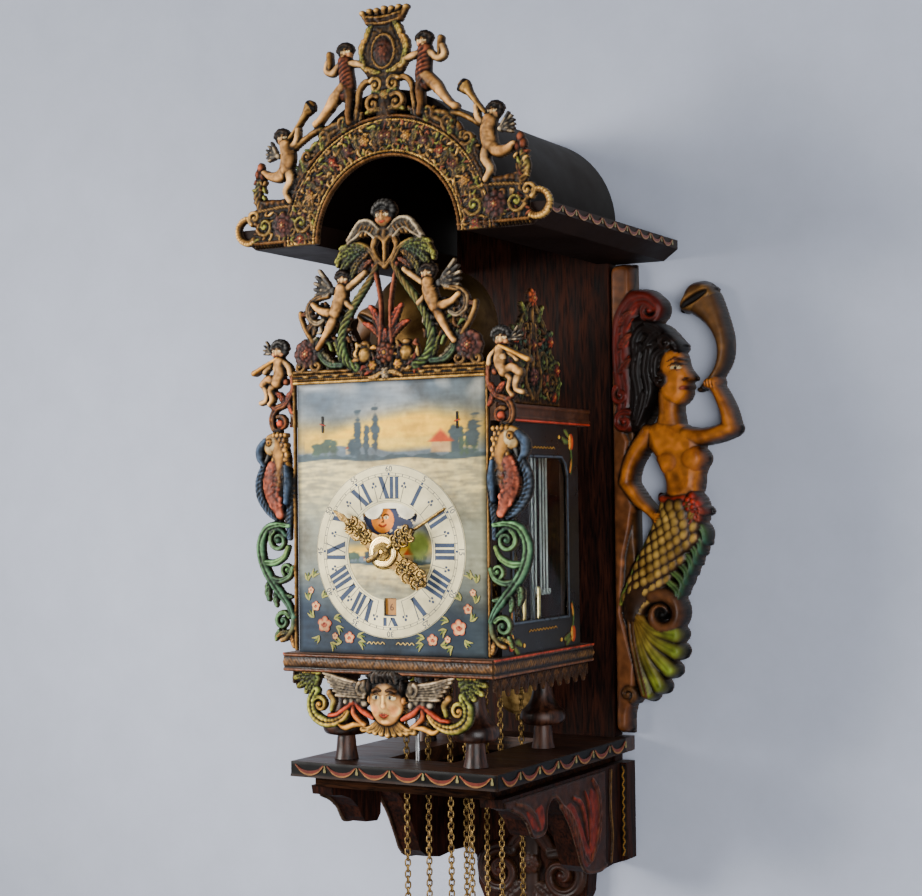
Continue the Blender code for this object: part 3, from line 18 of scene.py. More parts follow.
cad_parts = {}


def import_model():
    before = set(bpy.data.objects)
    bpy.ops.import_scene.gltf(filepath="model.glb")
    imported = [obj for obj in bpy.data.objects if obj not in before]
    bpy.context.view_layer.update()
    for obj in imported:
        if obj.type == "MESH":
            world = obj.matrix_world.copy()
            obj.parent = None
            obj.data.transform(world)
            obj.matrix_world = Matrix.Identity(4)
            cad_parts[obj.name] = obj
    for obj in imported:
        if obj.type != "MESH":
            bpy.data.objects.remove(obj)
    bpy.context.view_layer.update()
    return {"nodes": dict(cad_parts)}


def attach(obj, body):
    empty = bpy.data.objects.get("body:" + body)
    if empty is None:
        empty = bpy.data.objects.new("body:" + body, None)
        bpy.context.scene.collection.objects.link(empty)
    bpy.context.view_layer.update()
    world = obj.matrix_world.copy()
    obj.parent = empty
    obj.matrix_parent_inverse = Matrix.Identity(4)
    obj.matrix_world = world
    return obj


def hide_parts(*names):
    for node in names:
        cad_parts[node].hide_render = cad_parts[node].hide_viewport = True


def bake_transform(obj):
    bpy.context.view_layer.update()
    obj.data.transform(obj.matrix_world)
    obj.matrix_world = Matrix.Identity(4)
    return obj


LOG = logging.getLogger("clock")
MM = 0.001
Point = tuple[float, float]
Rgba = tuple[float, float, float, float]
Widths = Union[float, Sequence[float]]
Colour = Union[bpy.types.NodeSocket, Sequence[float]]
ROOT = "bracket_and_case"
SIDES = ((1.0, "right"), (-1.0, "left"))
# Power that turns a seen colour into the scene's values
GAMMA = 2.2

# Paints, as seen (sRGB), with the share of bare gilding in the fourth place
GOLD: Rgba = (0.62, 0.47, 0.23, 0.25)
BRONZE: Rgba = (0.42, 0.30, 0.15, 0.2)
BROWN: Rgba = (0.31, 0.20, 0.10, 0.05)
UMBER: Rgba = (0.20, 0.13, 0.08, 0.05)
GREEN: Rgba = (0.44, 0.47, 0.18, 0.1)
LEAF: Rgba = (0.28, 0.37, 0.18, 0.05)
TEAL: Rgba = (0.17, 0.295, 0.24, 0.0)
RED: Rgba = (0.58, 0.19, 0.12, 0.0)
BRICK: Rgba = (0.42, 0.20, 0.14, 0.05)
PLUM: Rgba = (0.40, 0.22, 0.22, 0.05)
SKIN: Rgba = (0.74, 0.56, 0.35, 0.0)
TAN: Rgba = (0.66, 0.47, 0.27, 0.0)
HAIR: Rgba = (0.14, 0.11, 0.09, 0.0)
GREY: Rgba = (0.50, 0.46, 0.39, 0.05)
SLATE: Rgba = (0.22, 0.23, 0.24, 0.0)
CREAM: Rgba = (0.86, 0.78, 0.60, 0.0)
BLUE: Rgba = (0.15, 0.22, 0.31, 0.0)
OCHRE: Rgba = (0.80, 0.55, 0.22, 0.1)
BRASSY: Rgba = (0.50, 0.41, 0.21, 0.9)
BLACK: Rgba = (0.06, 0.05, 0.045, 0.0)
# Tones of an old surface: grime and painted shade in hollows, varnish, bare gilding on ridges, and the back
# of a casting
GRIME_AND_SHADE = (0.105, 0.07, 0.042)
VARNISH = (1.05, 0.80, 0.50)
BARE_GILT = (0.66, 0.52, 0.29)
RAW_BACK: Rgba = (0.05, 0.029, 0.017, 0.0)
# Painted shade and grime in hollows, bare ridges, mottle, brown varnish, grit with painted light and shade,
# and painted shade on the rims of an old casting
WEAR_AND_SHADE = (0.98, 0.8, 1.4, 0.22, 0.15, 0.45)


class Kind(Enum):
    """Families of surface, each with its own node set."""

    WOOD = "wood"
    PAINT = "paint"
    METAL = "metal"
    GLASS = "glass"
    CAST = "cast"
    PLAIN = "plain"


class Axis(Enum):
    """Which way a turned piece's axis runs: up, to the front or to the right."""

    UP = "up"
    FRONT = "front"
    RIGHT = "right"


class Facing(Enum):
    """Which way a relief looks."""

    FRONT = "front"
    RIGHT = "right"
    LEFT = "left"


def linear(colour: Sequence[float]) -> tuple[float, ...]:
    """Turn a seen colour into scene values.

    Args:
        colour: red, green, blue and perhaps more, from 0 to 1.
    Returns:
        The first three on a linear scale, the rest as they were.
    """
    return tuple(c ** GAMMA for c in colour[:3]) + tuple(colour[3:])


def placed(name: str, data: bpy.types.ID) -> bpy.types.Object:
    """Make an object of a mesh, curve, light or camera and put it in the scene.

    Args:
        name: the object's name.
        data: what it shows.
    Returns:
        The new object.
    """
    obj = bpy.data.objects.new(name, data)
    bpy.context.scene.collection.objects.link(obj)
    return obj


@contextmanager
def edited(mesh: bpy.types.Mesh) -> Iterator[bmesh.types.BMesh]:
    """Open a mesh for editing and write it back afterwards.

    Args:
        mesh: the mesh that is edited.
    Returns:
        The mesh in its editable form.
    """
    shape = bmesh.new()
    shape.from_mesh(mesh)
    yield shape
    shape.to_mesh(mesh)
    shape.free()


def welded(mesh: bpy.types.Mesh) -> None:
    """Join points that lie on each other and turn all faces outwards.

    Args:
        mesh: the mesh that is mended.
    """
    with edited(mesh) as shape:
        bmesh.ops.remove_doubles(shape, verts=shape.verts, dist=1e-6)
        bmesh.ops.recalc_face_normals(shape, faces=shape.faces)


class NodeSet:
    """Short calls for building a material's nodes."""

    # Half the height over which the step at a level sets in, in metres
    EDGE = 0.0004

    def __init__(self, name: str) -> None:
        """Start a material with one shader.

        Args:
            name: the material's name.
        """
        self.material = bpy.data.materials.new(name)
        self.material.use_nodes = True
        self.tree = self.material.node_tree
        self.shader = self.tree.nodes["Principled BSDF"]

    def add(self, kind: str, **values: object) -> bpy.types.Node:
        """Add a node and set its properties or inputs.

        Args:
            kind: the node's type name without the ShaderNode prefix.
            values: inputs by name with spaces as underscores, or properties.
        Returns:
            The new node.
        """
        node = self.tree.nodes.new("ShaderNode" + kind)
        for key, value in values.items():
            label = key.replace("_", " ")
            if label in node.inputs:
                node.inputs[label].default_value = value
            else:
                setattr(node, key, value)
        return node

    def link(self, source: bpy.types.NodeSocket, target: bpy.types.NodeSocket) -> None:
        """Join an output to an input."""
        self.tree.links.new(source, target)

    def coordinates(self, stretch: Sequence[float]) -> bpy.types.NodeSocket:
        """Object coordinates stretched along the three axes.

        Args:
            stretch: scale along each axis.
        Returns:
            The socket with the result.
        """
        where = self.add("TexCoord")
        mapping = self.add("Mapping", Scale=tuple(stretch))
        self.link(where.outputs["Object"], mapping.inputs["Vector"])
        return mapping.outputs["Vector"]

    def noise(self, vector: bpy.types.NodeSocket, scale: float, detail: float = 6.0,
              rough: float = 0.6, distort: float = 0.0) -> bpy.types.NodeSocket:
        """Add a noise.

        Args:
            vector: where it is looked up.
            scale: its scale.
            detail: its octaves.
            rough: how much the fine octaves count.
            distort: how far it is warped.
        Returns:
            The socket with the result.
        """
        node = self.add("TexNoise", Scale=scale, Detail=detail, Roughness=rough, Distortion=distort)
        self.link(vector, node.inputs["Vector"])
        return node.outputs["Fac"]

    def ramp(self, source: bpy.types.NodeSocket,
             stops: Sequence[tuple[float, Sequence[float]]]) -> bpy.types.NodeSocket:
        """A colour ramp with stops of (place, seen colour).

        Args:
            source: what is looked up on the ramp.
            stops: place and seen colour of each stop.
        Returns:
            The socket with the result.
        """
        node = self.add("ValToRGB")
        while len(node.color_ramp.elements) < len(stops):
            node.color_ramp.elements.new(0.5)
        for element, (place, colour) in zip(node.color_ramp.elements, stops):
            element.position = place
            element.color = tuple(linear(colour[:3])) + (1.0,)
        self.link(source, node.inputs["Fac"])
        return node.outputs["Color"]

    def spread(self, source: bpy.types.NodeSocket, low: float, high: float) -> bpy.types.NodeSocket:
        """Map 0.3 to 0.7 of a noise onto a range.

        Args:
            source: the noise.
            low: value at 0.3.
            high: value at 0.7.
        Returns:
            The socket with the result.
        """
        node = self.add("MapRange")
        for at, value in ((1, 0.3), (2, 0.7), (3, low), (4, high)):
            node.inputs[at].default_value = value
        self.link(source, node.inputs[0])
        return node.outputs[0]

    def stain(self, level: float, low: float, high: float) -> bpy.types.NodeSocket:
        """A value that is high over a level of the object and low under it.

        Args:
            level: the level, in metres.
            low: value under it.
            high: value over it.
        Returns:
            The socket with the result.
        """
        split, node = self.add("SeparateXYZ"), self.add("MapRange")
        self.link(self.coordinates((1.0, 1.0, 1.0)), split.inputs[0])
        for at, value in ((1, level - self.EDGE), (2, level + self.EDGE), (3, low), (4, high)):
            node.inputs[at].default_value = value
        self.link(split.outputs["Z"], node.inputs[0])
        return node.outputs[0]

    def bump(self, source: bpy.types.NodeSocket, strength: float, distance: float) -> None:
        """Feed a height into the shader's normal.

        Args:
            source: the height.
            strength: how strong it shows.
            distance: its depth in metres.
        """
        node = self.add("Bump", Strength=strength, Distance=distance)
        self.link(source, node.inputs["Height"])
        self.link(node.outputs["Normal"], self.shader.inputs["Normal"])

    def mix(self, fac: Union[float, bpy.types.NodeSocket], first: Colour, second: Colour,
            blend: str = "MIX") -> bpy.types.NodeSocket:
        """Mix two colours, each a socket or a seen colour.

        Args:
            fac: share of the second colour.
            first: the first colour.
            second: the second colour.
            blend: how they are mixed.
        Returns:
            The socket with the result.
        """
        node = self.add("Mix", data_type="RGBA", blend_type=blend)
        if isinstance(fac, float):
            node.inputs[0].default_value = fac
        else:
            self.link(fac, node.inputs[0])
        for at, value in ((6, first), (7, second)):
            if isinstance(value, bpy.types.NodeSocket):
                self.link(value, node.inputs[at])
            else:
                node.inputs[at].default_value = tuple(linear(value[:3])) + (1.0,)
        return node.outputs[2]


@dataclass(frozen=True)
class Finish:
    """One finish: its family, two seen colours and the pattern's size."""

    name: str
    kind: Kind
    colour: tuple[float, float, float] = (0.5, 0.5, 0.5)
    second: tuple[float, float, float] = (0.3, 0.3, 0.3)
    rough: float = 0.5
    scale: float = 60.0
    grain: tuple[float, float, float] = (1.0, 1.0, 1.0)
    bump: float = 0.15
    shine: float = 0.3
    stain_under: Optional[float] = None

    def material(self) -> bpy.types.Material:
        """Build the material, or give the one that was built before.

        Returns:
            The material with this finish's name.
        """
        found = bpy.data.materials.get(self.name)
        if found:
            return found
        nodes = NodeSet(self.name)
        self.fill(nodes)
        return nodes.material

    def fill(self, nodes: NodeSet) -> None:
        """Build this finish in a node set.

        Args:
            nodes: the node set that is filled.
        """
        makers: dict[Kind, Callable[[NodeSet], None]] = {
            Kind.WOOD: self._wood, Kind.PAINT: self._paint, Kind.METAL: self._metal,
            Kind.GLASS: self._glass, Kind.CAST: self._cast, Kind.PLAIN: self._plain}
        makers[self.kind](nodes)

    def _wood(self, n: NodeSet) -> None:
        """Streaks, dark pores and, where wanted, a darker lower part.

        Args:
            n: the node set that is filled.
        """
        at = n.coordinates(self.grain)
        long = n.noise(at, self.scale, 8.0, 0.65, 1.2)
        pores = n.noise(at, self.scale * 6.0, 3.0, 0.5)
        deep = tuple(0.55 * c for c in self.second)
        streaks = n.ramp(long, [(0.25, deep), (0.45, self.second), (0.62, self.colour),
                                (0.8, self.second)])
        dark = n.ramp(pores, [(0.35, (0.45, 0.42, 0.4)), (0.55, (1.0, 1.0, 1.0))])
        colour = n.mix(1.0, streaks, dark, "MULTIPLY")
        # Darker and less shiny under a level
        if self.stain_under is not None:
            colour = n.mix(1.0, colour, n.stain(self.stain_under, 0.36, 1.0), "MULTIPLY")
            n.link(n.stain(self.stain_under, 0.02, self.shine), n.shader.inputs["Specular IOR Level"])
        n.link(colour, n.shader.inputs["Base Color"])
        n.link(n.spread(long, self.rough - 0.1, self.rough + 0.12), n.shader.inputs["Roughness"])
        n.shader.inputs["Specular IOR Level"].default_value = self.shine
        n.bump(pores, self.bump, 0.0006)

    def _paint(self, n: NodeSet) -> None:
        """Clouded paint with worn specks.

        Args:
            n: the node set that is filled.
        """
        at = n.coordinates(self.grain)
        cloud = n.noise(at, self.scale, 5.0)
        grit = n.noise(at, self.scale * 14.0, 4.0, 0.7)
        worn = n.ramp(grit, [(0.0, self.colour), (0.66, self.colour), (0.74, self.second)])
        shade = n.ramp(cloud, [(0.3, (0.72, 0.72, 0.72)), (0.7, (1.0, 1.0, 1.0))])
        n.link(n.mix(1.0, worn, shade, "MULTIPLY"), n.shader.inputs["Base Color"])
        n.link(n.spread(cloud, self.rough - 0.08, self.rough + 0.14), n.shader.inputs["Roughness"])
        n.shader.inputs["Specular IOR Level"].default_value = self.shine
        n.bump(grit, self.bump, 0.0004)

    def _metal(self, n: NodeSet) -> None:
        """Metal with clouded tarnish.

        Args:
            n: the node set that is filled.
        """
        at = n.coordinates(self.grain)
        cloud = n.noise(at, self.scale, 6.0, 0.62, 0.4)
        grit = n.noise(at, self.scale * 9.0, 3.0)
        n.link(n.ramp(cloud, [(0.32, self.second), (0.6, self.colour)]), n.shader.inputs["Base Color"])
        n.link(n.spread(cloud, self.rough + 0.18, self.rough - 0.06), n.shader.inputs["Roughness"])
        n.shader.inputs["Metallic"].default_value = 1.0
        n.bump(grit, self.bump, 0.0003)

    def _glass(self, n: NodeSet) -> None:
        """Thin glass with slight waves.

        Args:
            n: the node set that is filled.
        """
        at = n.coordinates(self.grain)
        wave = n.noise(at, self.scale, 2.0)
        n.shader.inputs["Base Color"].default_value = tuple(linear(self.colour)) + (1.0,)
        n.link(n.spread(wave, 0.01, 0.05), n.shader.inputs["Roughness"])
        n.shader.inputs["Transmission Weight"].default_value = 1.0
        n.shader.inputs["IOR"].default_value = 1.12
        n.bump(wave, self.bump, 0.0005)

    def _cast(self, n: NodeSet) -> None:
        """The colour attribute of a relief, with grime; its fourth value is bare metal.

        Args:
            n: the node set that is filled.
        """
        at = n.coordinates(self.grain)
        cloud = n.noise(at, self.scale, 6.0)
        grit = n.noise(at, self.scale * 10.0, 4.0, 0.7)
        paint = n.add("Attribute", attribute_name="paint")
        grime = n.ramp(cloud, [(0.28, (0.62, 0.56, 0.5)), (0.55, (1.0, 1.0, 1.0))])
        n.link(n.mix(1.0, paint.outputs["Color"], grime, "MULTIPLY"), n.shader.inputs["Base Color"])
        n.link(paint.outputs["Alpha"], n.shader.inputs["Metallic"])
        n.shader.inputs["Specular IOR Level"].default_value = self.shine
        n.link(n.spread(cloud, self.rough - 0.12, self.rough + 0.16), n.shader.inputs["Roughness"])
        n.bump(grit, self.bump, 0.0005)

    def _plain(self, n: NodeSet) -> None:
        """Plain, faintly clouded plaster.

        Args:
            n: the node set that is filled.
        """
        at = n.coordinates(self.grain)
        cloud = n.noise(at, self.scale, 5.0, 0.7)
        low = tuple(0.96 * c for c in self.colour)
        n.link(n.ramp(cloud, [(0.3, low), (0.7, self.colour)]), n.shader.inputs["Base Color"])
        n.shader.inputs["Roughness"].default_value = self.rough
        n.bump(cloud, self.bump, 0.001)


OAK = Finish("dark_oak", Kind.WOOD, (0.20, 0.105, 0.07), (0.13, 0.07, 0.048), 0.62, 9.0,
             (9.0, 9.0, 0.9), 0.35, 0.08)
SHELF_OAK = Finish("shelf_oak", Kind.WOOD, (0.30, 0.18, 0.11), (0.19, 0.12, 0.08), 0.45, 9.0,
                   (1.0, 9.0, 9.0), 0.3, stain_under=-0.0139)
FOOT_WOOD = Finish("turned_wood", Kind.WOOD, (0.28, 0.17, 0.115), (0.155, 0.09, 0.065), 0.4, 14.0,
                   (4.0, 4.0, 1.0), 0.2)
CASE_WOOD = Finish("case_wood", Kind.WOOD, (0.31, 0.18, 0.10), (0.20, 0.115, 0.07), 0.45, 12.0,
                   (1.0, 1.0, 7.0), 0.2)
BLACKED = Finish("black_paint", Kind.PAINT, (0.075, 0.05, 0.04), (0.125, 0.08, 0.055), 0.7, 18.0, shine=0.05)
EAVES_PAINT = Finish("eaves_paint", Kind.PAINT, (0.135, 0.09, 0.072), (0.18, 0.115, 0.085), 0.6,
                     18.0, shine=0.1)
DOOR_BLACK = Finish("door_black", Kind.PAINT, (0.11, 0.095, 0.085), (0.2, 0.15, 0.11), 0.3, 24.0)
CAST = Finish("painted_casting", Kind.CAST, rough=0.5, scale=70.0, bump=0.3, shine=0.12)
CARVED = Finish("painted_carving", Kind.CAST, rough=0.45, scale=40.0, bump=0.25, shine=0.22)
PANEL = Finish("painted_panel", Kind.CAST, rough=0.45, scale=24.0, bump=0.12, shine=0.1)
BRASS = Finish("aged_brass", Kind.METAL, (0.80, 0.66, 0.38), (0.52, 0.38, 0.18), 0.34, 60.0)
DULL_BRASS = Finish("dull_brass", Kind.METAL, (0.58, 0.47, 0.29), (0.30, 0.22, 0.12), 0.42, 90.0)
STEEL = Finish("filed_steel", Kind.METAL, (0.66, 0.66, 0.66), (0.42, 0.41, 0.40), 0.3, 80.0)
TINNED = Finish("tinned_wire", Kind.PAINT, (0.74, 0.74, 0.71), (0.58, 0.57, 0.54), 0.35, 80.0, shine=0.5)
IRON = Finish("black_iron", Kind.METAL, (0.33, 0.32, 0.32), (0.17, 0.15, 0.14), 0.5, 50.0)
BELL_METAL = Finish("bell_metal", Kind.METAL, (0.44, 0.34, 0.20), (0.24, 0.17, 0.10), 0.45, 22.0)
LEAD = Finish("lead", Kind.METAL, (0.44, 0.44, 0.45), (0.28, 0.28, 0.29), 0.55, 60.0)
RING_CREAM = Finish("ring_cream", Kind.PAINT, (0.95, 0.89, 0.69), (0.84, 0.74, 0.50), 0.5, 30.0, shine=0.1)
INK = Finish("blue_grey_paint", Kind.PAINT, (0.27, 0.31, 0.39), (0.36, 0.39, 0.46), 0.5, 60.0, shine=0.1)
INK_BROWN = Finish("brown_paint", Kind.PAINT, (0.30, 0.17, 0.08), (0.4, 0.24, 0.12), 0.5, 60.0)
DATE_OCHRE = Finish("date_ochre", Kind.PAINT, (0.72, 0.48, 0.20), (0.60, 0.36, 0.14), 0.45, 60.0)
CASTBRASS = Finish("cast_brass", Kind.CAST, rough=0.34, scale=120.0, bump=0.2)
PALE_BRASS = Finish("pale_brass", Kind.METAL, (0.90, 0.80, 0.55), (0.72, 0.58, 0.33), 0.26, 60.0)
PANE = Finish("window_glass", Kind.GLASS, (0.93, 0.96, 0.95), scale=30.0, bump=0.02)
# Dark glass for one door: painted shade of the case's dark inside
SHADE_PANE = Finish("backed_glass", Kind.GLASS, (0.10, 0.10, 0.10), scale=30.0, bump=0.02)
WALL = Finish("plaster_wall", Kind.PLAIN, (0.655, 0.675, 0.735), rough=0.9, scale=16.0, bump=0.25)


@dataclass
class Studio:
    """Camera, lights and the pale wall that the clock hangs on."""

    eye: tuple[float, float, float] = (0.8221, -1.6224, 0.2289)
    yaw: float = 29.2416
    pitch: float = 1.6962
    roll: float = -0.6552
    lens: float = 70.70
    sensor: float = 36.0
    sky: Rgba = (0.82, 0.87, 0.95, 1.0)
    sky_strength: float = 0.22
    wall_gap: float = 0.0008
    wall_half: Point = (4.0, 3.0)

    def build(self) -> None:
        """Make the camera, lights, world and wall."""
        self._camera()
        self._light("key", (-1.40, -1.45, 0.70), (-0.12, 0.0, 0.25), 0.9, 38.0, (1.0, 0.985, 0.95))
        self._spot("window", (-1.25, -1.70, 0.45), (-0.08, 0.0, 0.10), 40.0, 205.0, (1.0, 0.98, 0.94))
        self._light("fill", (1.6, -2.0, 0.1), (0.15, -0.1, -0.1), 1.4, 62.0, (0.96, 0.98, 1.0))
        self._light("low", (-0.3, -1.8, -1.3), (0.0, -0.1, 0.1), 1.2, 9.0, (1.0, 0.97, 0.94))
        self._light("behind", (0.5, 2.0, 1.2), (0.0, 0.0, 0.15), 1.8, 40.0, (1.0, 1.0, 1.0))
        world = bpy.data.worlds.new("studio")
        world.use_nodes = True
        world.node_tree.nodes["Background"].inputs["Color"].default_value = self.sky
        world.node_tree.nodes["Background"].inputs["Strength"].default_value = self.sky_strength
        bpy.context.scene.world = world
        self._wall()

    def _camera(self) -> None:
        """The camera, from its eye point and its three angles in degrees."""
        yaw, pitch, roll = (math.radians(a) for a in (self.yaw, self.pitch, self.roll))
        ahead = Vector((-math.sin(yaw) * math.cos(pitch), math.cos(yaw) * math.cos(pitch), math.sin(pitch)))
        level = Vector((math.cos(yaw), math.sin(yaw), 0.0))
        over = level.cross(ahead)
        right = level * math.cos(roll) + over * math.sin(roll)
        up = over * math.cos(roll) - level * math.sin(roll)
        data = bpy.data.cameras.new("camera")
        data.lens = self.lens
        data.sensor_width = self.sensor
        camera = placed("camera", data)
        camera.matrix_world = Matrix.Translation(self.eye) @ Matrix((right, up, -ahead)).transposed().to_4x4()
        bpy.context.scene.camera = camera

    def _light(self, name: str, at: Sequence[float], look: Sequence[float], size: float,
               power: float, colour: Sequence[float]) -> None:
        """Add a square area light.

        Args:
            name: the light's name.
            at: where it hangs.
            look: what it points at.
            size: its width in metres.
            power: its power in watts.
            colour: its colour.
        """
        data = bpy.data.lights.new(name, "AREA")
        data.size = size
        self._hang(data, at, look, power, colour)

    def _spot(self, name: str, at: Sequence[float], look: Sequence[float], wide: float,
              power: float, colour: Sequence[float]) -> None:
        """Add a soft-edged spot light that dims towards the picture's corners.

        Args:
            name: the light's name.
            at: where it hangs.
            look: what it points at.
            wide: the cone's angle in degrees.
            power: its power in watts.
            colour: its colour.
        """
        data = bpy.data.lights.new(name, "SPOT")
        data.spot_size = math.radians(wide)
        data.spot_blend = 1.0
        data.shadow_soft_size = 0.35
        self._hang(data, at, look, power, colour)

    def _hang(self, data: bpy.types.Light, at: Sequence[float], look: Sequence[float], power: float,
              colour: Sequence[float]) -> None:
        """Set a light's power and colour and point it at a place.

        Args:
            data: the light.
            at: where it hangs.
            look: what it points at.
            power: its power in watts.
            colour: its colour.
        """
        data.energy = power
        data.color = colour
        lamp = placed(data.name, data)
        lamp.location = at
        lamp.rotation_euler = (Vector(look) - Vector(at)).to_track_quat("-Z", "Y").to_euler()

    def _wall(self) -> None:
        """A wall just behind the clock; seen from behind it lets the view through."""
        mesh = bpy.data.meshes.new("wall")
        (x, z), y = self.wall_half, self.wall_gap
        mesh.from_pydata([(-x, y, -z), (x, y, -z), (x, y, z), (-x, y, z)], [], [(0, 1, 2, 3)])
        wall = placed("wall", mesh)
        nodes = NodeSet("wall_stage")
        WALL.fill(nodes)
        side = nodes.add("NewGeometry")
        clear = nodes.add("BsdfTransparent")
        pick = nodes.add("MixShader")
        output = nodes.tree.nodes["Material Output"]
        nodes.link(side.outputs["Backfacing"], pick.inputs[0])
        nodes.link(nodes.shader.outputs[0], pick.inputs[1])
        nodes.link(clear.outputs[0], pick.inputs[2])
        nodes.link(pick.outputs[0], output.inputs["Surface"])
        mesh.materials.append(nodes.material)
        wall.visible_shadow = False


def paint_node(frame: dict, finish: Finish, *names: str) -> None:
    """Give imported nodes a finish.

    Args:
        finish: the finish to give.
        names: node names.
    """
    for name in names:
        node = frame["nodes"][name]
        node.data.materials.clear()
        node.data.materials.append(finish.material())


def smooth(rows: Sequence[Sequence[float]], steps: int = 6) -> np.ndarray:
    """A smooth curve through rows of numbers (place, width and so on).

    Args:
        rows: the rows that the curve goes through, in order.
        steps: how many steps lie between two rows.
    Returns:
        The rows of the curve.
    """
    p = np.asarray(rows, float)
    if len(p) < 3:
        t = np.linspace(0.0, 1.0, steps + 1)[:, None]
        return p[0] + t * (p[-1] - p[0])
    p = np.vstack([2 * p[0] - p[1], p, 2 * p[-1] - p[-2]])
    t = np.linspace(0.0, 1.0, steps, endpoint=False)[:, None]
    runs = []
    for a, b, c, d in zip(p, p[1:], p[2:], p[3:]):
        runs.append(0.5 * (2 * b + (c - a) * t + (2 * a - 5 * b + 4 * c - d) * t ** 2
                           + (3 * b - a - 3 * c + d) * t ** 3))
    return np.vstack(runs + [p[-2:-1]])


def polar(radius: float, angle: float, middle: Point = (0.0, 0.0)) -> Point:
    """A place at a radius and an angle in radians about a middle."""
    return middle[0] + radius * math.cos(angle), middle[1] + radius * math.sin(angle)


def ring_points(middle: Point, radius: float, start: float, end: float, count: int) -> list[Point]:
    """Points on an arc between two angles in degrees."""
    return [polar(radius, math.radians(a), middle) for a in np.linspace(start, end, count)]


def travelled(path: np.ndarray) -> np.ndarray:
    """Length of a path up to each of its points, from their first two numbers."""
    return np.concatenate([[0.0], np.cumsum(np.hypot(*np.diff(path[:, :2], axis=0).T))])


def spot_on(path: np.ndarray, run: np.ndarray, at: float) -> Point:
    """The place on a path at a length, with the lengths up to its points given."""
    return np.interp(at, run, path[:, 0]), np.interp(at, run, path[:, 1])


def blurred(values: np.ndarray, reach: float) -> np.ndarray:
    """Blur a field with a bell of the given reach in cells.

    Args:
        values: the field.
        reach: the bell's reach, in cells.
    Returns:
        The blurred field.
    """
    size = max(1, int(round(2.2 * reach)))
    taps = np.exp(-0.5 * (np.arange(-size, size + 1) / reach) ** 2)
    taps /= taps.sum()
    pad = np.pad(values, size, mode="edge")
    rows = sum(w * pad[:, k:k + values.shape[1]] for k, w in enumerate(taps))
    return sum(w * rows[k:k + values.shape[0]] for k, w in enumerate(taps))


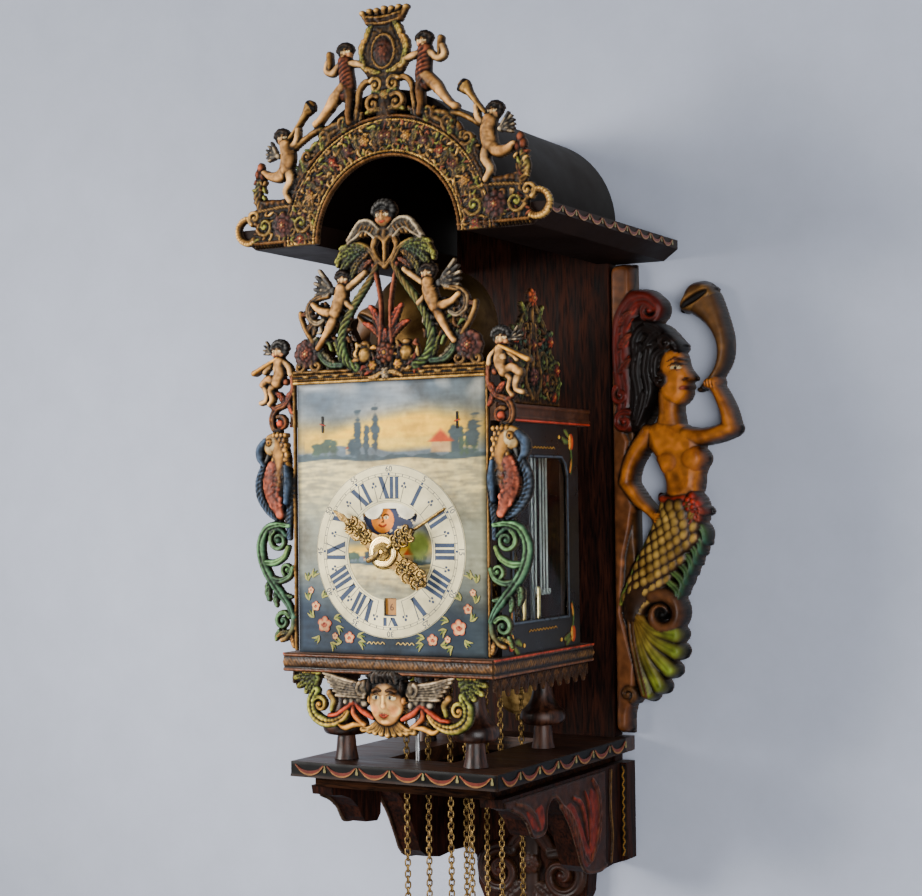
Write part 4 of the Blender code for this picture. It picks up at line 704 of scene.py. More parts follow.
class Relief:
    """A height field in millimetres that is drawn on and then turned into a closed mesh."""

    # Least height, and what an empty field holds as the distance inside the outline
    THIN = 0.8
    EMPTY = -9.0
    # How far over the outline a shape is drawn, in steps
    OVER = 0.8

    def __init__(self, low: Point, high: Point, step: float) -> None:
        """Lay out an empty field.

        Args:
            low: lowest corner in millimetres.
            high: highest corner.
            step: distance between samples.
        """
        self.step = step
        self.flip = 1.0
        self.press = (0.0, 1.0)
        self.ground = 0.0
        self.u = np.arange(low[0] - 3 * step, high[0] + 3 * step, step)
        self.v = np.arange(low[1] - 3 * step, high[1] + 3 * step, step)
        shape = (len(self.v), len(self.u))
        self.tall = np.full(shape, -1.0)
        self.inside = np.full(shape, self.EMPTY)
        self.paint = np.zeros(shape + (4,))
        self.chance = np.random.default_rng(7)

    def _put(self, x: float, y: float) -> Point:
        """A place after mirroring and after its height over a level is pressed down."""
        level, share = self.press
        return self.flip * x, level + (y - level) * share

    def _window(self, low: np.ndarray, high: np.ndarray) -> Optional[tuple[slice, slice]]:
        """Find the part of the field between two corners.

        Args:
            low: lowest corner.
            high: highest corner.
        Returns:
            Rows and columns, or nothing where the field ends before.
        """
        i0 = max(0, int((low[1] - self.v[0]) / self.step))
        i1 = min(len(self.v), int((high[1] - self.v[0]) / self.step) + 2)
        j0 = max(0, int((low[0] - self.u[0]) / self.step))
        j1 = min(len(self.u), int((high[0] - self.u[0]) / self.step) + 2)
        if i1 <= i0 or j1 <= j0:
            return None
        return slice(i0, i1), slice(j0, j1)

    def _lay(self, win: tuple[slice, slice], tall: np.ndarray, inside: np.ndarray, paint: np.ndarray) -> None:
        """Put a shape on the field where it stands higher than what is there.

        Args:
            win: rows and columns that the shape covers.
            tall: its heights.
            inside: how far inside its outline each place lies.
            paint: its paint.
        """
        field_in = self.inside[win]
        np.maximum(field_in, inside, out=field_in)
        tall = tall + self.ground
        higher = (inside > -self.OVER * self.step) & (tall > self.tall[win])
        view = self.tall[win]
        view[higher] = tall[higher]
        colours = self.paint[win]
        colours[higher] = paint[higher]

    def stroke(self, points: Sequence[Point], widths: Widths, height: float, colour: Rgba, base: float = 2.0,
               tip: Optional[Rgba] = None, edge: Optional[Rgba] = None, groove: float = 0.0,
               rib: tuple[float, float] = (0.0, 0.0), twist: float = 0.0, flat: bool = False,
               sink: bool = False, steps: int = 6) -> None:
        """Draw a rounded stroke along a smooth curve.

        Args:
            points: points that the curve passes through.
            widths: half width, one number or one for each point.
            height: height of the crown over base.
            colour: paint, with tip for the far end and edge for the borders.
            base: height of the foot over the back plane.
            tip: paint at the far end.
            edge: paint at the borders.
            groove: depth share of a channel along the middle.
            rib: number of cross ribs and their depth share.
            twist: slant of the ribs, for rope and veins.
            flat: a flat top in place of a round one.
            sink: press the shape into what is there instead of adding it.
            steps: smoothness between points.
        """
        wide = [float(widths)] * len(points) if np.isscalar(widths) else list(widths)
        if len(wide) != len(points):
            wide = list(np.interp(np.linspace(0, 1, len(points)), np.linspace(0, 1, len(wide)), wide))
        path = smooth([(*self._put(x, y), w) for (x, y), w in zip(points, wide)], steps)
        path[:, 2] = np.maximum(path[:, 2], 0.05)
        reach = path[:, 2].max() + self.step
        win = self._window(path[:, :2].min(0) - reach, path[:, :2].max(0) + reach)
        if win is None:
            return
        gu, gv = np.meshgrid(self.u[win[1]], self.v[win[0]])
        shape = gu.shape
        spot = np.column_stack([gu.ravel(), gv.ravel()])
        run = travelled(path)
        total = max(run[-1], 1e-6)
        best = np.full(len(spot), -1e9)
        far = np.ones(len(spot))
        along = np.zeros(len(spot))
        side = np.zeros(len(spot))
        for k in range(0, len(path) - 1, 16):
            a, b = path[k:k + 17][:-1], path[k:k + 17][1:]
            d = b[:, :2] - a[:, :2]
            long2 = np.maximum((d ** 2).sum(1), 1e-9)
            rel = spot[:, None, :] - a[None, :, :2]
            t = np.clip((rel * d).sum(2) / long2, 0.0, 1.0)
            gap = rel - t[..., None] * d
            dist = np.hypot(gap[..., 0], gap[..., 1])
            rad = a[:, 2] + t * (b[:, 2] - a[:, 2])
            deep = rad - dist
            pick = deep.argmax(1)
            rows = np.arange(len(spot))
            better = deep[rows, pick] > best
            best = np.where(better, deep[rows, pick], best)
            far = np.where(better, (dist / rad)[rows, pick], far)
            place = (run[k:k + len(a)] + t * np.sqrt(long2))[rows, pick] / total
            along = np.where(better, place, along)
            sign = np.sign(d[pick, 0] * gap[rows, pick, 1] - d[pick, 1] * gap[rows, pick, 0])
            side = np.where(better, sign * np.minimum((dist / rad)[rows, pick], 1.0), side)
        ratio = np.clip(far, 0.0, 1.0)
        dome = np.minimum(1.0, 3.0 * (1.0 - ratio)) ** 0.5 if flat else np.sqrt(1.0 - ratio ** 2)
        dome = dome * (1.0 - groove * np.exp(-(ratio / 0.22) ** 2))
        if rib[1]:
            phase = rib[0] * along + twist * side
            dome = dome * (1.0 - rib[1] * (0.5 + 0.5 * np.cos(2 * math.pi * phase)))
        paint = np.tile(np.asarray(colour, float), (len(spot), 1))
        if tip is not None:
            paint += (along ** 1.3)[:, None] * (np.asarray(tip) - np.asarray(colour))
        if edge is not None:
            paint += (ratio ** 2)[:, None] * (np.asarray(edge) - paint)
        if sink:
            self._sink(win, (height * dome).reshape(shape), best.reshape(shape), paint.reshape(shape + (4,)))
        else:
            self._lay(win, (base + height * dome).reshape(shape), best.reshape(shape),
                      paint.reshape(shape + (4,)))

    def _sink(self, win: tuple[slice, slice], depth: np.ndarray, inside: np.ndarray,
              paint: np.ndarray) -> None:
        """Press a shape into what is there and paint it.

        Args:
            win: rows and columns that the shape covers.
            depth: its depths.
            inside: how far inside its outline each place lies.
            paint: its paint.
        """
        hit = (inside > 0) & (self.tall[win] > 0)
        view = self.tall[win]
        view[hit] = np.maximum(view[hit] - depth[hit], self.THIN)
        colours = self.paint[win]
        share = np.clip(inside[hit] / (self.OVER * self.step), 0, 1)[:, None]
        colours[hit] = colours[hit] * (1 - share) + paint[hit] * share

    def dome(self, at: Point, size: Widths, height: float, colour: Rgba, base: float = 2.0, turn: float = 0.0,
             edge: Optional[Rgba] = None, sink: bool = False, power: float = 0.5) -> None:
        """Draw an oval dome.

        Args:
            at: its middle.
            size: one radius, or two.
            height: height of the crown over base.
            colour: paint, with edge for the border.
            base: height of the foot over the back plane.
            turn: turn of the oval in degrees.
            edge: paint at the border.
            sink: press the dome in instead of adding it.
            power: 0.5 for a round dome, less for a flatter top.
        """
        a, b = (size, size) if np.isscalar(size) else size
        mid = np.array(self._put(*at))
        reach = max(a, b) + self.step
        win = self._window(mid - reach, mid + reach)
        if win is None:
            return
        gu, gv = np.meshgrid(self.u[win[1]] - mid[0], self.v[win[0]] - mid[1])
        angle = math.radians(turn) * self.flip
        x = gu * math.cos(angle) + gv * math.sin(angle)
        y = gv * math.cos(angle) - gu * math.sin(angle)
        ratio = np.hypot(x / a, y / b)
        inside = (1.0 - ratio) * min(a, b)
        rise = height * np.clip(1.0 - ratio ** 2, 0, 1) ** power
        paint = np.tile(np.asarray(colour, float), gu.shape + (1,))
        if edge is not None:
            paint += np.clip(ratio, 0, 1)[..., None] ** 2 * (np.asarray(edge) - paint)
        if sink:
            self._sink(win, rise, inside, paint)
        else:
            self._lay(win, base + rise, inside, paint)

    def area(self, points: Sequence[Point], height: float, colour: Rgba, base: float = 2.0,
             bevel: float = 2.0, steps: int = 0) -> None:
        """Draw a filled outline with a rounded border.

        Args:
            points: the outline, in order.
            height: height of the top over base.
            colour: paint.
            base: height of the foot over the back plane.
            bevel: width of the rounded border.
            steps: smoothness of the outline, or 0 for straight runs.
        """
        ring = np.array([self._put(x, y) for x, y in points], float)
        if steps:
            ring = smooth(np.vstack([ring, ring[:1]]), steps)[:-1]
        win = self._window(ring.min(0) - self.step, ring.max(0) + self.step)
        if win is None:
            return
        gu, gv = np.meshgrid(self.u[win[1]], self.v[win[0]])
        odd = np.zeros(gu.shape, bool)
        near = np.full(gu.shape, 1e9)
        for (x0, y0), (x1, y1) in zip(ring, np.roll(ring, -1, axis=0)):
            crosses = (y0 > gv) != (y1 > gv)
            with np.errstate(divide="ignore", invalid="ignore"):
                odd ^= crosses & (gu < (x1 - x0) * (gv - y0) / (y1 - y0) + x0)
            dx, dy = x1 - x0, y1 - y0
            t = np.clip(((gu - x0) * dx + (gv - y0) * dy) / max(dx * dx + dy * dy, 1e-9), 0, 1)
            near = np.minimum(near, np.hypot(gu - x0 - t * dx, gv - y0 - t * dy))
        inside = np.where(odd, near, -near)
        rise = height * np.clip(inside / bevel, 0, 1) ** 0.5
        self._lay(win, base + rise, inside, np.tile(np.asarray(colour, float), gu.shape + (1,)))

    def pierce(self, points: Sequence[Point], widths: Widths) -> None:
        """Cut a way through along a stroke.

        Args:
            points: points that the cut passes through.
            widths: half width.
        """
        kept = self.inside.copy(), self.tall.copy(), self.paint.copy()
        self.inside[:] = self.EMPTY
        self.stroke(points, widths, 0.1, BLACK)
        hole = self.inside
        self.inside, self.tall, self.paint = kept
        self.inside = np.minimum(self.inside, -hole)

    # Motifs
    def leaf(self, root: Point, tip: Point, width: float, colour: Rgba, tip_colour: Optional[Rgba] = None,
             bend: float = 0.0, height: float = 3.0, base: float = 2.0, lobes: int = 4) -> None:
        """A lobed leaf with a channel and slanting veins.

        Args:
            root: where it starts.
            tip: where it ends.
            width: half width at its widest.
            colour: paint at the root.
            tip_colour: paint at the tip.
            bend: sideways bend as a share of the length.
            height: height of the crown over base.
            base: height of the foot over the back plane.
            lobes: lobes along each side.
        """
        (x0, y0), (x1, y1) = root, tip
        nx, ny = -(y1 - y0), x1 - x0
        rows, wide = [], []
        for k, t in enumerate(np.linspace(0, 1, 2 * lobes + 1)):
            rows.append((x0 + (x1 - x0) * t + nx * bend * 4 * t * (1 - t),
                         y0 + (y1 - y0) * t + ny * bend * 4 * t * (1 - t)))
            swell = 0.25 + 0.9 * math.sin(math.pi * min(1, 0.12 + 0.86 * t)) ** 0.8
            wide.append(width * swell * (1.0 if k % 2 else 0.72))
        wide[-1] = 0.35
        self.stroke(rows, wide, height, colour, base, tip=tip_colour or colour, edge=UMBER, groove=0.35,
                    rib=(2.2 * lobes, 0.3), twist=0.8, steps=3)

    def curl(self, middle: Point, start: float, turns: float, outer: float, width: float, colour: Rgba,
             height: float = 3.0, base: float = 2.0, tip: Optional[Rgba] = None, groove: float = 0.3) -> None:
        """A volute that winds in towards its middle, from a start angle in degrees.

        Args:
            middle: where it winds to.
            start: angle of its start.
            turns: turns, negative for clockwise.
            outer: radius at the start.
            width: half width at the start.
            colour: paint.
            height: height of the crown over base.
            base: height of the foot over the back plane.
            tip: paint at the middle.
            groove: depth share of a channel along the middle.
        """
        count = max(8, int(abs(turns) * 14))
        rows, wide = [], []
        for t in np.linspace(0, 1, count):
            angle = math.radians(start) + 2 * math.pi * turns * t
            r = outer * (1 - t) ** 0.9 + 0.1 * outer
            rows.append(polar(r, angle, middle))
            wide.append(width * (1 - 0.55 * t))
        self.stroke(rows, wide, height, colour, base, tip=tip, edge=UMBER, groove=groove, steps=2)
        self.dome(middle, outer * 0.24 + 0.5, height * 1.1, tip or colour, base)

    def rose(self, at: Point, radius: float, colour: Rgba, eye: Rgba = GOLD, petals: int = 6,
             height: float = 2.5, base: float = 3.0) -> None:
        """A rosette of two rings of petals and an eye.

        Args:
            at: its middle.
            radius: its radius.
            colour: paint of the petals.
            eye: paint of the eye.
            petals: petals in a ring.
            height: height of the petals over base.
            base: height of the foot over the back plane.
        """
        self.dome(at, radius, height * 0.5, tuple(0.6 * c for c in colour[:3]) + (0.0,), base)
        for ring, (reach, size) in enumerate(((0.64, 0.42), (0.36, 0.3))):
            for k in range(petals):
                angle = 2 * math.pi * (k + 0.5 * ring) / petals
                self.dome(polar(reach * radius, angle, at), size * radius, height * (0.7 + 0.3 * ring),
                          colour, base, edge=UMBER)
        self.dome(at, 0.22 * radius, height * 1.25, eye, base)

    def wing(self, root: Point, angles: tuple[float, float], reach: float, count: int, dark: Rgba,
             light: Rgba, base: float = 3.0, height: float = 2.5) -> None:
        """A fan of feathers in two rows from a root, between two angles in degrees.

        Args:
            root: where the feathers start.
            angles: angles of the first and last feather.
            reach: length of the longest feather.
            count: feathers in a row.
            dark: paint of one feather.
            light: paint of the next.
            base: height of the foot over the back plane.
            height: height of the feathers over base.
        """
        for row, (share, lift) in enumerate(((1.0, 0.0), (0.6, 1.0))):
            for k in range(count):
                t = k / max(count - 1, 1)
                angle = math.radians(angles[0] + (angles[1] - angles[0]) * t)
                length = reach * share * (1.0 - 0.28 * t)
                start, end = polar(0.12 * reach, angle, root), polar(length, angle, root)
                paint = light if (k + row) % 2 else dark
                self.stroke([start, ((start[0] + end[0]) / 2, (start[1] + end[1]) / 2), end],
                            [0.05 * reach, 0.1 * reach, 0.07 * reach], height, paint, base + lift, edge=UMBER,
                            groove=0.25)
        self.dome(root, 0.16 * reach, height + 1.5, light, base)

    def face(self, at: Point, size: float, skin: Rgba, hair: Rgba, base: float = 4.0, look: float = 0.0,
             deep: float = 1.0) -> None:
        """A child's head with curls.

        Args:
            at: middle of the head.
            size: its radius.
            skin: paint of the face.
            hair: paint of the hair.
            base: height of the foot over the back plane.
            look: moves the features sideways, from -1 to 1.
            deep: depth of the relief as a share of the size.
        """
        x, y = at
        h = deep * size
        skin = tuple(min(1.0, 1.16 * c) for c in skin[:3]) + (skin[3],)
        shade = tuple(0.78 * c for c in skin[:3]) + (skin[3],)
        warm = (skin[0], 0.84 * skin[1], 0.84 * skin[2], skin[3])
        self.dome((x, y + 0.15 * size), (1.02 * size, 1.0 * size), 0.9 * h, hair, base)
        self.dome((x + 0.18 * look * size, y - 0.14 * size), (0.80 * size, 0.96 * size), h, skin, base,
                  edge=shade)
        for k in range(9):
            angle = math.radians(6 + 168 * k / 8)
            self.dome((x + 0.90 * size * math.cos(angle), y + 0.18 * size + 0.84 * size * math.sin(angle)),
                      0.3 * size, 0.55 * h, hair, base + 0.25 * h, edge=BLACK)
        for k in range(5):
            angle = math.radians(35 + 110 * k / 4)
            self.dome((x + 0.6 * size * math.cos(angle), y + 0.46 * size + 0.44 * size * math.sin(angle)),
                      0.24 * size, 0.4 * h, hair, base + 0.66 * h, edge=BLACK)
        mid = x + 0.3 * look * size
        for s in (-1, 1):
            eye = (mid + s * 0.31 * size, y - 0.04 * size)
            self.dome(eye, (0.17 * size, 0.1 * size), 0.14 * h, CREAM, base + 0.9 * h)
            self.dome(eye, 0.075 * size, 0.2 * h, BLACK, base + 0.9 * h)
            self.stroke([(eye[0] - 0.2 * size, eye[1] + 0.17 * size), (eye[0], eye[1] + 0.24 * size),
                         (eye[0] + 0.2 * size, eye[1] + 0.17 * size)], 0.05 * size, 0.1 * h, UMBER,
                        base + 0.93 * h)
            self.dome((mid + s * 0.40 * size, y - 0.38 * size), 0.25 * size, 0.26 * h, warm, base + 0.62 * h)
        self.stroke([(mid, y + 0.05 * size), (mid, y - 0.3 * size)], [0.07 * size, 0.13 * size], 0.26 * h,
                    skin, base + 0.95 * h)
        self.stroke([(mid - 0.18 * size, y - 0.54 * size), (mid, y - 0.57 * size),
                     (mid + 0.18 * size, y - 0.54 * size)], 0.07 * size, 0.14 * h, RED, base + 0.86 * h)

    def limb(self, points: Sequence[Point], widths: Widths, skin: Rgba, base: float = 4.0,
             height: Optional[float] = None) -> None:
        """An arm, a leg or a body as one rounded stroke.

        Args:
            points: points along the limb.
            widths: half width.
            skin: paint.
            base: height of the foot over the back plane.
            height: height of the crown over base, or by the widest place.
        """
        widest = max(widths) if not np.isscalar(widths) else widths
        # The limb's edges are painted darker, as shade where it rounds away
        self.stroke(points, widths, height or 1.1 * widest, skin, base,
                    edge=tuple(0.42 * c for c in skin[:3]) + (skin[3],))

    def bead_row(self, points: Sequence[Point], pitch: float, size: float, colour: Rgba, base: float,
                 height: float = 1.2) -> None:
        """Small domes along a curve.

        Args:
            points: points that the curve passes through.
            pitch: distance between beads.
            size: a bead's radius.
            colour: paint.
            base: height of the foot over the back plane.
            height: height of a bead over base.
        """
        path = smooth(points, 12)
        run = travelled(path)
        for at in np.arange(pitch / 2, run[-1], pitch):
            self.dome(spot_on(path, run, at), size, height, colour, base)

    def scatter(self, spots: Sequence[Point], length: float, width: float, base: float,
                paints: Sequence[Rgba] = (GOLD, BRONZE, GOLD, GREEN, BROWN, BRONZE, BRICK)) -> None:
        """Small bent leaves in every direction at the given spots.

        Args:
            spots: where the leaves go.
            length: their length.
            width: half width at the widest.
            base: height of the foot over the back plane.
            paints: paints to choose from.
        """
        for x, y in spots:
            x, y = x + self.chance.normal(0, 0.9), y + self.chance.normal(0, 0.9)
            angle = self.chance.uniform(0, 2 * math.pi)
            bend = self.chance.uniform(-0.9, 0.9)
            half = 0.5 * length * self.chance.uniform(0.8, 1.25)
            rows = [(x + half * t * math.cos(angle + bend * t), y + half * t * math.sin(angle + bend * t))
                    for t in (-1.0, 0.0, 1.0)]
            paint = paints[int(self.chance.integers(len(paints)))]
            self.stroke(rows, [0.5 * width, width, 0.35 * width], self.chance.uniform(1.6, 2.8), paint, base,
                        edge=UMBER, groove=0.2, steps=3)

    def cut_below(self, level: float) -> None:
        """Cut everything off under a level."""
        self.inside = np.minimum(self.inside, (self.v - level)[:, None])

    def cut_beside(self, low: float, high: float) -> None:
        """Cut everything off outside two sides."""
        self.inside = np.minimum(self.inside, np.minimum(self.u - low, high - self.u)[None, :])

    def finished(self, patina_and_shade: float = 0.75, lift: float = 0.35, mottle: float = 1.0, age: float = 0.0,
                 grit: float = 0.0, rim: float = 0.0, roll: float = 0.0) -> None:
        """Soften the field, then darken its hollows with grime and painted shade, and brighten its ridges
        with bare gilding and painted highlights.

        Args:
            patina_and_shade: how dark the hollows get, by grime and painted shade.
            lift: how bare the gilding is on ridges.
            mottle: strength of the uneven colour.
            age: share of brown varnish over all paint.
            grit: height of the fine unevenness of a rough casting; it also strengthens the painted light and
                shade by height and the painted highlights on ridges.
            rim: how dark the paint gets along the outline and on the sides, as painted shade.
            roll: width of the rounding along the outline, which is also painted darker there as shade.
        """
        on = self.inside > -self.OVER * self.step
        self.tall = np.where(on, np.maximum(self.tall, self.THIN), self.THIN)
        self.tall = 0.55 * self.tall + 0.45 * blurred(self.tall, 0.7)
        if roll:
            share = blurred((self.inside > 0).astype(float), 0.5 * roll / self.step)
            share = np.clip((share - 0.5) / 0.45, 0, 1)
            self.tall = np.maximum(self.tall * (0.3 + 0.7 * np.sqrt(share * (2 - share))), self.THIN)
        if grit:
            rough = blurred(self.chance.standard_normal(self.tall.shape), 0.8 / self.step)
            calm = np.clip((self.paint[..., 0] - 0.62) / 0.12, 0, 1)
            rough = grit * (1 - 0.9 * calm) * np.clip(rough / rough.std(), -2, 2)
            self.tall = np.maximum(self.tall + rough * np.clip(self.tall - 1, 0, 1), self.THIN)
        # Painted shade and grime: places under their blurred surroundings, near and wide, get darker
        hollow = blurred(self.tall, 1.6 / self.step) - self.tall
        wide = blurred(self.tall, 3.6 / self.step) - self.tall
        deep = np.clip(np.maximum(hollow / (0.8 - grit), wide / 1.5 * (grit > 0)), 0, 1)[..., None]
        ridge = np.clip(-hollow / 1.1, 0, 1)[..., None]
        patchy = 1.0 + 0.36 * mottle * blurred(self.chance.standard_normal(self.tall.shape), 2.0)[..., None]
        rgb = np.clip(self.paint[..., :3] * np.clip(patchy, 0.72, 1.3), 0, 1)
        rgb = rgb * (1 - age) + age * rgb.mean(-1, keepdims=True) * np.array(VARNISH)
        rgb = rgb * (1 - patina_and_shade * deep) + patina_and_shade * deep * np.array(GRIME_AND_SHADE)
        # Painted light and shade: places above their surroundings lighter, places below darker
        if grit:
            stand = (self.tall - blurred(self.tall, 2.4 / self.step)) / 0.9
            rgb = rgb * np.clip(0.58 + 0.24 * calm + 0.55 * (1 - 0.5 * calm) * stand, 0.16, 1.15)[..., None]
        rgb = rgb + lift * ridge * (np.array(BARE_GILT) - rgb) * self.paint[..., 3:4]
        # Painted highlights on ridges, softer on pale paint
        soft = 0.75 * calm[..., None] if grit else 0.0
        rgb = np.clip(rgb * (1 + (0.28 + 1.2 * grit) * (1 - soft) * ridge), 0, 1)
        # Painted shade along the rounded outline
        if roll:
            rgb = rgb * (0.5 + 0.5 * share[..., None])
        # Painted shade along the outline and on the sides
        rgb = rgb * (1 - rim * np.clip(1 - self.inside / 2.2, 0, 1)[..., None] ** 1.5)
        self.paint[..., 3] *= (1 - deep[..., 0])
        self.paint[..., :3] = rgb ** GAMMA

    def mesh(self, name: str, facing: Facing, plane: float) -> bpy.types.Object:
        """Turn the field into one closed mesh on a plane of the clock's frame.

        Args:
            name: the piece's name.
            facing: which way the relief looks.
            plane: where the back plane lies, in metres.
        Returns:
            The new object.
        """
        keep = self.inside > -0.45 * self.step
        cell = keep[:-1, :-1] & keep[1:, :-1] & keep[:-1, 1:] & keep[1:, 1:]
        # Cells that meet at one corner only are joined, so that the mesh stays closed
        for _ in range(3):
            a, b, c, d = cell[:-1, :-1], cell[:-1, 1:], cell[1:, :-1], cell[1:, 1:]
            one, two = a & d & ~b & ~c, b & c & ~a & ~d
            cell[:-1, 1:] |= one
            cell[:-1, :-1] |= two
        used = np.zeros(keep.shape, bool)
        for di, dj in ((0, 0), (0, 1), (1, 0), (1, 1)):
            used[di:di + cell.shape[0], dj:dj + cell.shape[1]] |= cell
        # Points near the outline move onto it
        slope_v, slope_u = np.gradient(self.inside, self.step)
        steep = slope_u ** 2 + slope_v ** 2 + 1e-6
        near = self.inside < 0.55 * self.step
        shift = np.where(near & used, np.clip(self.inside, -0.6 * self.step, 0.6 * self.step), 0.0) / steep
        limit = 0.42 * self.step
        gu, gv = np.meshgrid(self.u, self.v)
        gu = gu - np.clip(shift * slope_u, -limit, limit)
        gv = gv - np.clip(shift * slope_v, -limit, limit)
        index = np.full(keep.shape, -1)
        index[used] = np.arange(used.sum())
        count = int(used.sum())
        u, v, h = gu[used] * MM, gv[used] * MM, self.tall[used] * MM
        place = {Facing.FRONT: lambda r: (u, plane - r, v), Facing.RIGHT: lambda r: (plane + r, u, v),
                 Facing.LEFT: lambda r: (plane - r, -u, v)}[facing]
        verts = np.vstack([np.column_stack(np.broadcast_arrays(*place(h))),
                           np.column_stack(np.broadcast_arrays(*place(np.zeros_like(h))))])
        # Front, back and the sides between them
        i, j = np.nonzero(cell)
        quads = np.column_stack([index[i, j], index[i, j + 1], index[i + 1, j + 1], index[i + 1, j]])
        faces = [quads, quads[:, ::-1] + count]
        padded = np.pad(cell, 1)
        for di, dj, p, q in ((-1, 0, (0, 0), (0, 1)), (1, 0, (1, 1), (1, 0)), (0, -1, (1, 0), (0, 0)),
                             (0, 1, (0, 1), (1, 1))):
            open_side = cell & ~padded[1 + di:1 + di + cell.shape[0], 1 + dj:1 + dj + cell.shape[1]]
            i, j = np.nonzero(open_side)
            first, last = index[i + p[0], j + p[1]], index[i + q[0], j + q[1]]
            faces.append(np.column_stack([last, first, first + count, last + count]))
        quads = np.vstack(faces)
        mesh = bpy.data.meshes.new(name)
        mesh.vertices.add(len(verts))
        mesh.vertices.foreach_set("co", verts.astype(np.float32).ravel())
        mesh.loops.add(quads.size)
        mesh.loops.foreach_set("vertex_index", quads.astype(np.int32).ravel())
        mesh.polygons.add(len(quads))
        mesh.polygons.foreach_set("loop_start", np.arange(0, quads.size, 4, dtype=np.int32))
        mesh.update(calc_edges=True)
        paint = mesh.color_attributes.new("paint", "FLOAT_COLOR", "POINT")
        colour = self.paint[used]
        back = np.tile(np.array(RAW_BACK), (count, 1))
        paint.data.foreach_set("color", np.vstack([colour, back]).astype(np.float32).ravel())
        mesh.shade_smooth()
        mesh.set_sharp_from_angle(angle=math.radians(62))
        return placed(name, mesh)


def settle(obj: bpy.types.Object, finish: Finish, body: str, slot: str, *nodes: str) -> bpy.types.Object:
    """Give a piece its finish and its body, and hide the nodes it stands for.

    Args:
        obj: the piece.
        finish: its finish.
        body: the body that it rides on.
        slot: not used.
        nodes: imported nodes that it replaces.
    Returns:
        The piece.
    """
    obj.data.materials.clear()
    obj.data.materials.append(finish.material())
    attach(obj, body)
    if nodes:
        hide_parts(*nodes)
    LOG.info("%s: %d faces on %s", obj.name, len(obj.data.polygons), body)
    return obj


